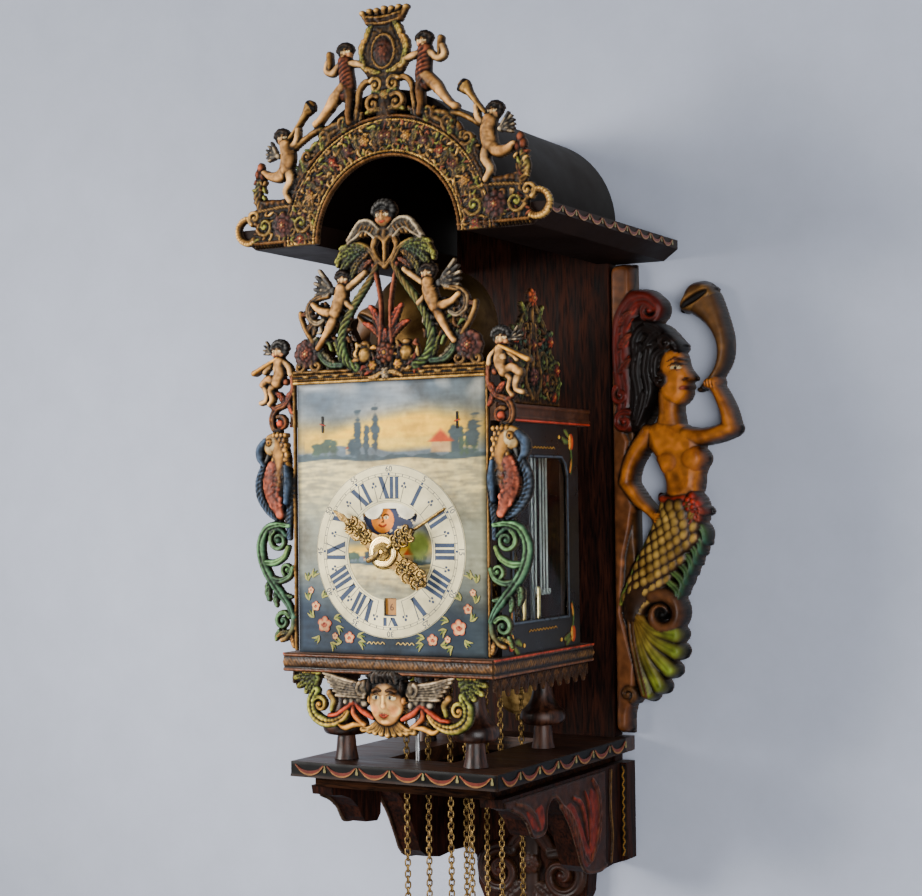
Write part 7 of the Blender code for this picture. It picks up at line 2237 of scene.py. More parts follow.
        # A second, smaller view of the lake inside the chapter ring
        small = self._landscape(gu * 2.1 + 12, (gv - self.hub) * 1.7 + 286, 5)
        bank = np.clip(2.4 * (1 - np.hypot((gu - 29) / 13, (gv - self.hub - 5) / 15)), 0, 1)[..., None]
        small = small * (1 - bank) + bank * np.array([0.42, 0.47, 0.20])
        cloud = np.clip((gv - 204.0 - 0.16 * np.abs(gu)) / 3.0, 0, 1)[..., None]
        mist = np.clip(1.25 - np.abs(np.abs(gu) - 17.2) / 9.0 - np.abs(gv - 221) / 9.0, 0, 1)[..., None]
        puff = np.array([0.90, 0.86, 0.74]) * (1 - mist) + mist * np.array([0.80, 0.77, 0.67])
        small = small * (1 - cloud) + cloud * puff
        r.paint[..., :3] = np.where((inner < self.ring[0] + 1)[..., None], small, r.paint[..., :3])
        edge = np.minimum(self.half - np.abs(gu), np.minimum(gv - self.low, self.high - gv))
        r.paint[..., :3] *= np.clip(0.55 + 0.09 * edge, 0, 1)[..., None]
        r.inside = np.minimum(r.inside, -self._moon_opening(gu, gv))
        r.inside = np.minimum(r.inside, np.maximum(np.abs(gu) - 6.0, np.abs(gv - 138.75) - 7.25))
        r.inside = np.minimum(r.inside, inner - 6.5)
        r.finished(0.2, 0.0, 0.35)
        settle(r.mesh("dial_picture", Facing.FRONT, self.rear), PANEL, ROOT, "dial_paint", "dial_plate")

    def _moon_opening(self, u: np.ndarray, v: np.ndarray) -> np.ndarray:
        """How far inside the moon's opening a place lies: a bowl with two humps over it.

        Args:
            u: places across, in millimetres.
            v: places up.
        Returns:
            The distance, positive inside.
        """
        bowl = 29.5 - np.hypot(u, v - self.moon_middle)
        humps = np.minimum(np.hypot(u - 17.2, v - 224.5), np.hypot(u + 17.2, v - 224.5)) - 10.1
        return np.minimum(np.minimum(bowl, humps), np.minimum(223.8 - v, 27.6 - np.abs(u)))

    def _ring(self) -> None:
        """The cream chapter ring with a notch for the date window."""
        low, high = self.ring
        count, notch = 192, 8
        radii = [low, low + 0.5, 56.2, high - 0.6, high]
        flat, bevel = self.ring_lift, self.ring_lift - 0.0003
        rise = [bevel, flat, flat, flat, bevel]
        verts, faces = [], []
        for back in (False, True):
            for radius, up in zip(radii, rise):
                for k in range(count):
                    a = 2 * math.pi * k / count - math.pi / 2
                    x, z = radius * math.cos(a), radius * math.sin(a)
                    side = k if k <= count / 2 else k - count
                    if abs(side) == notch // 2 and radius < 57:
                        x = math.copysign(6.4, x)
                    verts.append((x * MM, self.front + (0.0002 if back else -up), (z + self.hub) * MM))
        rows = len(radii)

        def at(back: int, row: int, k: int) -> int:
            """Number of a point of the ring."""
            return (back * rows + row) * count + k % count

        kept = np.ones((rows - 1, count), bool)
        for k in range(-(notch // 2), notch // 2):
            kept[:2, k % count] = False
        for row in range(rows - 1):
            for k in range(count):
                if not kept[row, k]:
                    continue
                faces.append((at(0, row, k), at(0, row, k + 1), at(0, row + 1, k + 1), at(0, row + 1, k)))
                faces.append((at(1, row, k), at(1, row + 1, k), at(1, row + 1, k + 1), at(1, row, k + 1)))
                for there, one, two in (((row - 1, k), (row, k), (row, k + 1)),
                                        ((row + 1, k), (row + 1, k + 1), (row + 1, k)),
                                        ((row, (k - 1) % count), (row + 1, k), (row, k)),
                                        ((row, (k + 1) % count), (row, k + 1), (row + 1, k + 1))):
                    if not 0 <= there[0] < rows - 1 or not kept[there[0], there[1] % count]:
                        faces.append((at(0, *one), at(1, *one), at(1, *two), at(0, *two)))
        obj = solid("chapter_ring", verts, faces)
        with edited(obj.data) as shape:
            bmesh.ops.delete(shape, geom=[v for v in shape.verts if not v.link_faces], context="VERTS")
        settle(obj, RING_CREAM, ROOT, "dial_paint")

    def _clockwise(self, radius: float, angle: float) -> Point:
        """A place at a radius and an angle in radians, clockwise from twelve."""
        return radius * math.sin(angle), self.hub + radius * math.cos(angle)

    def _turned(self, outline: Sequence[Point], angle: float) -> list[Point]:
        """Turn an outline clockwise about the hub, by an angle in degrees."""
        c, s = math.cos(math.radians(angle)), math.sin(math.radians(angle))
        return [(x * c + y * s, self.hub - x * s + y * c) for x, y in outline]

    def _marks(self) -> None:
        """Roman hour figures, half-hour marks, minute track and minute figures."""
        top, foot, thick, thin = 64.6, 45.8, 3.5, 0.85

        def bar(x0: float, x1: float, wide: float) -> list[list[Point]]:
            """A bar of a figure from foot to top, with its two serifs.

            Args:
                x0: place of the foot.
                x1: place of the top.
                wide: the bar's width.
            Returns:
                Outlines of the bar and the serifs.
            """
            h, ends = wide / 2, ((x0, foot), (x1, top))
            serifs = [[(x - h - 0.7, y - 0.25), (x + h + 0.7, y - 0.25), (x + h + 0.7, y + 0.25),
                       (x - h - 0.7, y + 0.25)] for x, y in ends]
            return [[(x0 - h, foot), (x0 + h, foot), (x1 + h, top), (x1 - h, top)]] + serifs

        shapes = {"I": (5.3, bar(0, 0, thick)),
                  "V": (10.6, bar(0.6, -3.4, 1.25 * thick) + bar(1.0, 4.2, thin)),
                  "X": (10.6, bar(3.8, -3.4, 1.25 * thick) + bar(-3.8, 4.0, thin))}
        words = ("XII", "I", "II", "III", "IIII", "V", "VI", "VII", "VIII", "IX", "X", "XI")
        outlines: list[list[Point]] = []
        for hour, word in enumerate(words):
            total = sum(shapes[c][0] for c in word)
            x = -total / 2
            for c in word:
                wide, pieces = shapes[c]
                for piece in pieces:
                    bounds = [(px + x + wide / 2, py) for px, py in piece]
                    if hour == 6:
                        # The date window takes the inner part of this figure
                        bounds = [(px, min(max(py, 57.3), top)) for px, py in bounds]
                        if max(py for _, py in bounds) - min(py for _, py in bounds) <= 0.3:
                            continue
                    outlines.append(self._turned(bounds, 30 * hour))
                x += wide
        for k in range(60):
            wide = 0.9 if k % 5 == 0 else 0.28
            outlines.append(self._turned([(-wide, 66.0), (wide, 66.0), (wide, 68.0), (-wide, 68.0)], 6 * k))
        for k in range(12):
            angle = 30 * k + 15
            outlines.append(self._turned([(-0.24, 44.5), (0.24, 44.5), (0.24, 57.5), (-0.24, 57.5)], angle))
            for x, y, size in ((-1.7, 58.0, 1.05), (1.7, 58.0, 1.05), (0, 60.8, 1.2)):
                oval = [(x + size * math.cos(a), y + 1.15 * size * math.sin(a))
                        for a in np.linspace(0, 2 * math.pi, 10, endpoint=False)]
                outlines.append(self._turned(oval, angle))
        for radius in (44.2, 65.9, 68.1, 74.8):
            for k in range(96):
                a, b = 2 * math.pi * k / 96, 2 * math.pi * (k + 1) / 96
                if radius < 57 and 44 <= k < 52:
                    continue
                corners = ((radius - 0.14, a), (radius + 0.14, a), (radius + 0.14, b), (radius - 0.14, b))
                outlines.append([self._clockwise(*corner) for corner in corners])
        face = self.front - self.ring_lift
        settle(prisms("hour_figures", outlines, face + 0.0001, face - 0.00012), INK, ROOT, "dial_paint")
        entries = []
        for k in range(12):
            spot = self._clockwise(self.minute_radius, math.radians(30 * k))
            entries.append((str(5 * k or 60), *spot, 5.2, 30.0 * k))
        settle(figures("minute_figures", entries, face - 0.00012, 0.00022), INK, ROOT, "dial_paint")

    def _flowers(self) -> None:
        """Roses, leaves and a wavy line on the dark foot of the dial."""
        r = Relief((-90.0, 99.0), (90.0, 176.0), 0.5)
        pink, rose = (0.74, 0.40, 0.28, 0.0), (0.62, 0.24, 0.16, 0.0)
        straw, heart = (0.80, 0.68, 0.40, 0.0), (0.46, 0.14, 0.10, 0.0)
        pale, lime, leaf = (0.82, 0.62, 0.43, 0.0), (0.60, 0.57, 0.30, 0.0), (0.36, 0.40, 0.20, 0.0)
        for r.flip in (1.0, -1.0):
            for x, y, size in ((68, 122, 7.2), (77, 138, 4.4), (42, 111, 5.2), (57, 112, 3.0),
                               (82, 152, 3.0)):
                r.dome((x, y), 0.8 * size, 0.12, rose, 0.12)
                for k in range(5):
                    petal = polar(0.6 * size, 2 * math.pi * k / 5 + 0.4, (x, y))
                    r.dome(petal, 0.42 * size, 0.2, pale, 0.18, edge=rose)
                r.dome((x, y), 0.46 * size, 0.2, pink, 0.3, edge=heart)
                for start, reach in ((20, 0.34), (150, 0.52), (260, 0.7)):
                    fold = [polar(reach * size, math.radians(start + k), (x, y)) for k in (0, 45, 90, 130)]
                    r.stroke(fold, [0.3, 0.07 * size, 0.07 * size, 0.3], 0.2, pale, 0.44, steps=3)
                r.dome((x + 0.1 * size, y + 0.1 * size), 0.2 * size, 0.2, heart, 0.42)
            for x, y, angle in ((56, 120, 200), (58, 127, 160), (79, 128, 40), (84, 143, 70),
                                (70, 145, 120), (85, 160, 80), (80, 163, 110), (33, 107, 190),
                                (34, 112, 165), (50, 107, 0), (62, 106, 210), (74, 112, 300)):
                for spread in (-28, 0, 28):
                    a = math.radians(angle + spread)
                    blade = [(x, y), polar(3.6, a, (x, y)), polar(8.0, a + 0.25, (x, y))]
                    r.stroke(blade, [0.3, 0.95, 0.2], 0.2, lime if spread else leaf, 0.15, steps=3)
            wave = [(6 + 2.2 * k, 107 + (0.9 if k % 2 else -0.9)) for k in range(9)]
            r.stroke(wave, 0.42, 0.2, straw, 0.15, steps=3)
        r.finished(0.0, 0.0, 0.2)
        settle(r.mesh("dial_flowers", Facing.FRONT, self.front), PANEL, ROOT, "dial_paint")
        r = Relief((-70.0, 291.0), (70.0, 306.0), 0.5)
        for r.flip in (1.0, -1.0):
            r.stroke([(68.5, 292), (68.5, 305)], 0.9, 0.2, BLACK, 0.15)
            r.stroke([(66, 297.5), (71, 299.0)], 0.5, 0.25, RED, 0.25)
        r.finished(0.0, 0.0, 0.0)
        settle(r.mesh("dial_slots", Facing.FRONT, self.front), PANEL, ROOT, "dial_paint")

    def _moon(self) -> None:
        """The turning disc: a night sky with stars and two orange moons."""
        middle, wide = (0.0, self.moon_middle), self.moon_radius
        r = Relief((-wide, self.moon_middle - wide), (wide, self.moon_middle + wide), 0.5)
        r.dome(middle, wide, 0.05, (0.22, 0.24, 0.32, 0.0), 0.7, power=0.1)
        chance = np.random.default_rng(11)
        for _ in range(90):
            a, d = chance.uniform(0, 2 * math.pi), 29 * math.sqrt(chance.uniform(0.02, 1))
            r.dome(polar(d, a, middle), chance.uniform(0.5, 0.95), 0.04, CREAM, 0.78)
        for turn in (234, 54):
            x, y = polar(15.8, math.radians(turn), middle)
            r.dome((x, y), 11.0, 0.06, (0.95, 0.54, 0.17, 0.0), 0.84, power=0.1)
            s = 1.0 if turn > 180 else -1.0
            for e in (-3.6, 3.6):
                r.dome((x + e, y + 2.2 * s), (1.9, 1.1), 0.05, CREAM, 0.92)
                r.dome((x + e, y + 2.2 * s), 0.8, 0.05, UMBER, 0.95)
                r.stroke([(x + e - 2.2, y + 4.0 * s), (x + e, y + 4.9 * s), (x + e + 2.2, y + 4.0 * s)],
                         0.35, 0.05, BROWN, 0.92)
            r.stroke([(x, y + 2 * s), (x + 0.8, y - 1.6 * s), (x - 0.6, y - 1.8 * s)], 0.35, 0.05,
                     BROWN, 0.92)
            r.stroke([(x - 3.4, y - 4.4 * s), (x, y - 5.8 * s), (x + 3.4, y - 4.4 * s)], 0.5, 0.05, RED, 0.92)
        r.finished(0.0, 0.0, 0.3)
        settle(r.mesh("moon_face", Facing.FRONT, self.moon_plane), PANEL, "moon", "moon_paint")

    def _date(self) -> None:
        """Figures 1 to 31 on the date ring."""
        entries = []
        for k in range(31):
            turn = 180 + 360 * k / 31
            spot = self._clockwise(self.date_radius, math.radians(turn))
            entries.append((str((k + 5) % 31 + 1), *spot, 6.4, turn - 180))
        settle(figures("date_figures", entries, self.date_plane, 0.0003), INK_BROWN, "date", "date_paint")


@dataclass
class Hands:
    """Cast brass hands and the turned alarm disc."""

    hub: float = 186.5
    minute: float = 60.0
    hour: float = 305.0
    hour_plane: float = -0.2912
    minute_plane: float = -0.2957
    disc_plane: float = -0.2933
    # Settings for finished(): painted shade and grime in hollows, bare gilding on ridges, mottle, varnish,
    # and grit that also sets painted light and shade
    worn: tuple[float, ...] = (0.95, 0.3, 1.0, 0.1, 0.12)

    def build(self) -> None:
        """Make both hands and the disc."""
        self._hour()
        self._minute()
        self._disc()

    def _hour(self) -> None:
        """The hour hand: two leafy arms, one with a point, on a flat plate."""
        r = Relief((-66.0, 150.0), (60.0, 228.0), 0.5)
        self._foliage(r, self.hour, 17.0, 46.0, 7.6, 1.0)
        self._foliage(r, self.hour + 180, 17.0, 48.0, 8.6, 1.0)
        self._bar(r, self.hour, 40.0, 62.0, 1.3, 1.4)
        self._plate(r, 15.5)
        r.pierce([(-0.01, self.hub), (0.01, self.hub)], 3.6)
        # Kept low enough to pass under the disc and the minute hand
        near = np.hypot(*np.meshgrid(r.u, r.v - self.hub))
        r.tall = np.where(near < 15.6, np.minimum(r.tall, 1.4), np.minimum(r.tall, 3.5))
        r.finished(*self.worn)
        settle(r.mesh("hour_pointer", Facing.FRONT, self.hour_plane), CASTBRASS, "hour", "hand_brass")

    def _minute(self) -> None:
        """The minute hand with its short tail."""
        r = Relief((-20.0, 168.0), (70.0, 230.0), 0.5)
        self._foliage(r, self.minute, 12.0, 36.0, 7.2, 0.9)
        self._bar(r, self.minute, 30.0, 74.0, 1.5, 1.4)
        self._plate(r, 8.0)
        self._bar(r, self.minute + 180, 4.0, 16.0, 2.4, 1.4)
        r.pierce([(-0.01, self.hub), (0.01, self.hub)], 2.6)
        r.finished(*self.worn)
        settle(r.mesh("minute_pointer", Facing.FRONT, self.minute_plane), CASTBRASS, "minute", "hand_brass",
               "minute_hand")

    def _disc(self) -> None:
        """The turned alarm disc with its rings."""
        profile = [(3.9, 0.0), (13.5, 0.0), (13.5, 1.2), (13.0, 1.6), (12.2, 1.6), (11.8, 1.1), (11.2, 1.1),
                   (10.8, 1.6), (9.6, 1.6), (9.2, 1.0), (8.4, 1.0), (8.0, 1.6), (6.8, 1.6), (6.4, 1.1),
                   (5.4, 1.1), (5.0, 1.7), (3.9, 1.7)]
        at = (0.0, self.disc_plane, self.hub * MM)
        disc = lathe("alarm_rings", [(r * MM, h * MM) for r, h in profile], at, Axis.FRONT, 72)
        settle(disc, PALE_BRASS, "alarm_setting", "hand_brass", "alarm_disc")

    def _axis(self, angle: float) -> tuple[np.ndarray, np.ndarray]:
        """The direction of a hand and the direction across it."""
        a = math.radians(angle)
        return np.array([math.sin(a), math.cos(a)]), np.array([math.cos(a), -math.sin(a)])

    def _at(self, angle: float, along: float, across: float) -> Point:
        """A place on a hand.

        Args:
            angle: the hand's angle in degrees, clockwise from twelve.
            along: distance from the hub.
            across: distance to the side.
        Returns:
            The place on the dial.
        """
        d, n = self._axis(angle)
        spot = d * along + n * across
        return float(spot[0]), float(self.hub + spot[1])

    def _plate(self, r: Relief, radius: float) -> None:
        """The flat round plate at the middle of a hand."""
        r.dome((0.0, self.hub), radius, 0.3, BRASSY, 1.0, power=0.1)

    def _bar(self, r: Relief, angle: float, start: float, end: float, half: float, height: float) -> None:
        """The plain pointer."""
        points = [self._at(angle, start + (end - start) * t, 0.0) for t in (0.0, 0.5, 0.92, 1.0)]
        r.stroke(points, [half, half, half * 0.9, 0.3], 0.6, BRASSY, height - 0.4, edge=BROWN)

    def _foliage(self, r: Relief, angle: float, start: float, end: float, half: float, base: float) -> None:
        """Cast leaves and scrolls along a hand.

        Args:
            r: the field that is drawn on.
            angle: the hand's angle in degrees, clockwise from twelve.
            start: where the leaves begin.
            end: where they end.
            half: how far they reach to a side.
            base: height of the foot over the back plane.
        """
        span = end - start
        r.stroke([self._at(angle, start - 4 + (span + 4) * t, 0) for t in (0, 0.3, 0.6, 1)],
                 [2.2, 2.4, 2.2, 1.6], 1.8, BRASSY, base - 0.4)
        for t, wide in ((0.06, 0.8), (0.36, 1.0), (0.68, 0.95)):
            for s in (-1, 1):
                spot = self._at(angle, start + span * t + 3.0, s * half * 0.52 * wide)
                turn = -angle + (20 if s > 0 else 160)
                r.curl(spot, turn, -1.35 * s, half * 0.55 * wide, 0.95, BRASSY, 2.0, base, groove=0.0)
                r.leaf(self._at(angle, start + span * t, s * 1.2),
                       self._at(angle, start + span * (t + 0.25), s * half * wide), 1.7, BRASSY, GOLD,
                       0.12 * s, 1.9, base)
        for t in (0.2, 0.5, 0.82):
            r.dome(self._at(angle, start + span * t, 0), 1.9, 2.4, BRASSY, base, edge=UMBER)
        r.rose(self._at(angle, end - 2.0, 0), half * 0.5, BRASSY, GOLD, 6, 1.7, base)


class Repeater:
    """Geometry Nodes that set copies of a unit on points, for links, swags and teeth."""

    def __init__(self) -> None:
        """Build the node group with its named inputs."""
        tree = bpy.data.node_groups.new("set_copies", "GeometryNodeTree")
        sockets = (("Geometry", "INPUT", "NodeSocketGeometry"), ("Unit", "INPUT", "NodeSocketObject"),
                   ("Finish", "INPUT", "NodeSocketMaterial"), ("Sway", "INPUT", "NodeSocketVector"),
                   ("Seed", "INPUT", "NodeSocketInt"), ("Geometry", "OUTPUT", "NodeSocketGeometry"))
        for name, way, kind in sockets:
            tree.interface.new_socket(name, in_out=way, socket_type=kind)
        self.tree = tree
        make = tree.nodes.new
        source, target = make("NodeGroupInput"), make("NodeGroupOutput")
        unit, spread = make("GeometryNodeObjectInfo"), make("GeometryNodeInstanceOnPoints")
        turn, grow = make("GeometryNodeInputNamedAttribute"), make("GeometryNodeInputNamedAttribute")
        turn.data_type, grow.data_type = "FLOAT_VECTOR", "FLOAT"
        turn.inputs["Name"].default_value, grow.inputs["Name"].default_value = "turn", "grow"
        sway, flip = make("FunctionNodeRandomValue"), make("ShaderNodeVectorMath")
        sway.data_type, flip.operation = "FLOAT_VECTOR", "SCALE"
        flip.inputs["Scale"].default_value = -1.0
        total, euler = make("ShaderNodeVectorMath"), make("FunctionNodeEulerToRotation")
        real, dress_up = make("GeometryNodeRealizeInstances"), make("GeometryNodeSetMaterial")
        link = tree.links.new
        link(source.outputs["Geometry"], spread.inputs["Points"])
        link(source.outputs["Unit"], unit.inputs["Object"])
        link(unit.outputs["Geometry"], spread.inputs["Instance"])
        link(source.outputs["Sway"], flip.inputs[0])
        link(flip.outputs["Vector"], sway.inputs["Min"])
        link(source.outputs["Sway"], sway.inputs["Max"])
        link(source.outputs["Seed"], sway.inputs["Seed"])
        link(turn.outputs["Attribute"], total.inputs[0])
        link(sway.outputs["Value"], total.inputs[1])
        link(total.outputs["Vector"], euler.inputs["Euler"])
        link(euler.outputs["Rotation"], spread.inputs["Rotation"])
        link(grow.outputs["Attribute"], spread.inputs["Scale"])
        link(spread.outputs["Instances"], real.inputs["Geometry"])
        link(real.outputs["Geometry"], dress_up.inputs["Geometry"])
        link(source.outputs["Finish"], dress_up.inputs["Material"])
        link(dress_up.outputs["Geometry"], target.inputs["Geometry"])

    def build(self, name: str, unit: bpy.types.Object, points: Sequence[Sequence[float]],
              turns: Sequence[Sequence[float]], grow: float, finish: Finish,
              sway: float = 0.0) -> bpy.types.Object:
        """Set the copies and turn them into one plain mesh.

        Args:
            name: the piece's name.
            unit: what is repeated.
            points: where the copies go.
            turns: their turns, as angles about the three axes.
            grow: their scale.
            finish: their finish.
            sway: how far, in radians, each may lean at random.
        Returns:
            The new object.
        """
        mesh = bpy.data.meshes.new(name + "_points")
        mesh.from_pydata([tuple(p) for p in points], [], [])
        mesh.attributes.new("turn", "FLOAT_VECTOR", "POINT").data.foreach_set("vector", np.ravel(turns))
        mesh.attributes.new("grow", "FLOAT", "POINT").data.foreach_set("value", [grow] * len(points))
        host = placed(name + "_points", mesh)
        modifier = host.modifiers.new("copies", "NODES")
        modifier.node_group = self.tree
        values = {"Unit": unit, "Finish": finish.material(), "Sway": (sway, sway, sway), "Seed": 5}
        for item in self.tree.interface.items_tree:
            if item.name in values and item.in_out == "INPUT":
                modifier[item.identifier] = values[item.name]
        bpy.context.view_layer.update()
        graph = bpy.context.evaluated_depsgraph_get()
        plain = bpy.data.meshes.new_from_object(host.evaluated_get(graph))
        plain.name = name
        obj = placed(name, plain)
        host.modifiers.clear()
        bpy.data.objects.remove(host)
        return obj


def drop(unit: bpy.types.Object) -> None:
    """Take a unit away once its copies are made."""
    bpy.data.objects.remove(unit)


@dataclass
class ChainLoop:
    """One endless chain over two chain wheels, with a weight in one bight and a ring in the other."""

    word: str
    front: tuple[float, float, float]
    rear: tuple[float, float, float]
    weight_level: float = -0.200
    ring_level: float = -0.150
    pitch: float = 0.0050
    top: float = 0.100
    link: float = 0.003
    gap: float = 0.0003

    def build(self, repeater: Repeater) -> None:
        """Lay the links along the loop, in three pieces.

        Args:
            repeater: sets the copies of a unit.
        """
        unit = self._link()
        places, turns = self._lay()
        root, moving = ROOT, {"weight": "weight_" + self.word, "ring": "ring_" + self.word}
        groups = {"top": places[:, 2] > self.top, "weight": (places[:, 2] <= self.top) & (places[:, 0] > 0),
                  "ring": (places[:, 2] <= self.top) & (places[:, 0] < 0)}
        for part, mask in groups.items():
            name = "chain_%s_%s" % (self.word, part)
            obj = repeater.build(name, unit, places[mask], turns[mask], 1.0, DULL_BRASS, 0.03)
            obj.data.shade_smooth()
            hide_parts("chain_" + self.word)
            if part == "top":
                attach(obj, root)
            else:
                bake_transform(obj)
            LOG.info("%s: %d links", name, int(mask.sum()))
        drop(unit)
        self._weight()
        self._ring()

    def _weight(self) -> None:
        """The turned weight with its yoke and the pulley that rides in the chain."""
        (r1, y1, _), (r2, y2, _) = self.front, self.rear
        x, y, bow = (r1 + r2) / 2, (y1 + y2) / 2, (y2 - y1) / 2
        half, cheek, strap = self.link + 0.0022, 2 * self.link + 0.0022, 0.0012
        root, level = bow - self.link - self.gap, self.weight_level
        lip = root + 1.2 * self.link
        low = level - bow - self.link - 0.006
        top, radius, foot = low - 0.014, 0.020, low - 0.114
        edge = [(0.0, cheek + 0.002), (0.0012, cheek + 0.002), (0.002, cheek + 0.0012),
                (0.002, half + 0.0008), (0.0055, half + 0.0006), (0.0065, half), (lip - 0.0008, half),
                (lip, half - 0.0006), (lip, self.link + 0.0014), (root + 0.0006, 0.75 * self.link),
                (root, 0.0)]
        pulley = lathe("pulley_" + self.word, edge + [(r, -h) for r, h in edge[-2::-1]], (x, y, level),
                       Axis.RIGHT)
        outer, inner, sill = cheek + strap, cheek - strap, 0.002
        ring = [(x - outer, level + 0.004), (x - outer, low - 0.001), (x - outer + sill, low - 0.003),
                (x + outer - sill, low - 0.003), (x + outer, low - 0.001), (x + outer, level + 0.004),
                (x + inner, level + 0.004), (x + inner, low), (x - inner, low), (x - inner, level + 0.004)]
        yoke = prisms("yoke_" + self.word, [[(px / MM, pz / MM) for px, pz in ring]], y + 0.004, y - 0.004)
        bead = [(1.0, 0.012), (0.96, 0.0128), (0.96, 0.0142), (1.0, 0.015)]
        rows = [(0.0, low - 0.002), (0.0025, low - 0.002), (0.0025, top + 0.006), (0.0060, top + 0.004),
                (0.0075, top + 0.0025), (0.6 * radius, top + 0.0015), (0.9 * radius, top - 0.0012),
                (radius, top - 0.006)]
        rows += [(share * radius, top - drop_by) for share, drop_by in bead]
        rows += [(share * radius, foot + rise) for share, rise in reversed(bead)]
        rows += [(radius, foot + 0.006), (0.9 * radius, foot + 0.0012), (0.7 * radius, foot), (0.0, foot)]
        body = lathe("weight_body_" + self.word, rows, (x, y, 0.0))
        for piece in (pulley, yoke, body):
            settle(piece, BRASS, "weight_" + self.word, "weight_brass", "weight_" + self.word)

    def _ring(self) -> None:
        """The lead ring that keeps the slack side taut."""
        (r1, y1, _), (r2, y2, _) = self.front, self.rear
        major, minor = 0.0125, 0.004
        middle = self.ring_level - (y2 - y1) / 2 + self.link + self.gap - (major - minor)
        rows = [(major + minor * math.cos(a), minor * math.sin(a))
                for a in np.linspace(0, 2 * math.pi, 20, endpoint=False)]
        ring = lathe("lead_ring_" + self.word, rows, (-(r1 + r2) / 2, (y1 + y2) / 2, middle), Axis.FRONT, 48)
        settle(ring, LEAD, "ring_" + self.word, "ring_lead", "ring_" + self.word)

    def _link(self) -> bpy.types.Object:
        """One oval link of round wire, long axis along X.

        Returns:
            The unit that is repeated.
        """
        wire, bow, straight = 0.00078, 0.0023, 0.0010
        spine = []
        for k in range(16):
            a = 2 * math.pi * k / 16 - math.pi / 2 + 0.01
            spine.append((bow * math.cos(a) + math.copysign(straight, math.cos(a)), bow * math.sin(a)))
        verts, faces = [], []
        for k, (x, y) in enumerate(spine):
            (x0, y0), (x1, y1) = spine[k - 1], spine[(k + 1) % len(spine)]
            long = math.hypot(x1 - x0, y1 - y0)
            nx, ny = (y1 - y0) / long, -(x1 - x0) / long
            for s in range(6):
                b = 2 * math.pi * s / 6
                verts.append((x + wire * math.cos(b) * nx, y + wire * math.cos(b) * ny, wire * math.sin(b)))
        for k in range(16):
            for s in range(6):
                n, t = (k + 1) % 16, (s + 1) % 6
                faces.append((k * 6 + s, n * 6 + s, n * 6 + t, k * 6 + t))
        return solid("link", verts, faces)

    def _lay(self) -> tuple[np.ndarray, np.ndarray]:
        """Places and turns of the links along the whole loop.

        Returns:
            Places in metres and turns as angles about the three axes.
        """
        (r1, y1, z1), (r2, y2, z2) = self.front, self.rear
        bow = (y2 - y1) / 2
        mid = (y1 + y2) / 2
        xw = (r1 + r2) / 2
        path = [(r1 * math.sin(a), y1, z1 + r1 * math.cos(a))
                for a in np.linspace(-math.pi / 2, math.pi / 2, 25)]
        path += [(xw, mid - bow * math.cos(a), self.weight_level - bow * math.sin(a))
                 for a in np.linspace(0, math.pi, 19)]
        path += [(r2 * math.sin(a), y2, z2 + r2 * math.cos(a))
                 for a in np.linspace(math.pi / 2, -math.pi / 2, 25)]
        path += [(-xw, mid + bow * math.cos(a), self.ring_level - bow * math.sin(a))
                 for a in np.linspace(0, math.pi, 19)]
        line = np.array(path + path[:1])
        run = np.concatenate([[0.0], np.cumsum(np.linalg.norm(np.diff(line, axis=0), axis=1))])
        count = 2 * int(round(run[-1] / self.pitch / 2))
        at = run[-1] * np.arange(count) / count
        places = np.column_stack([np.interp(at, run, line[:, i]) for i in range(3)])
        ahead = np.column_stack([np.interp((at + 0.001) % run[-1], run, line[:, i])
                                 for i in range(3)]) - places
        turns = []
        for k, way in enumerate(ahead):
            x = Vector(way).normalized()
            side = Vector((0.0, 1.0, 0.0)) if abs(x.y) < 0.9 else Vector((1.0, 0.0, 0.0))
            z = x.cross(side).normalized()
            y = z.cross(x)
            roll = math.radians(45 if k % 2 else -45)
            y, z = y * math.cos(roll) + z * math.sin(roll), z * math.cos(roll) - y * math.sin(roll)
            turns.append(tuple(Matrix((x, y, z)).transposed().to_euler()))
        return places, np.array(turns)


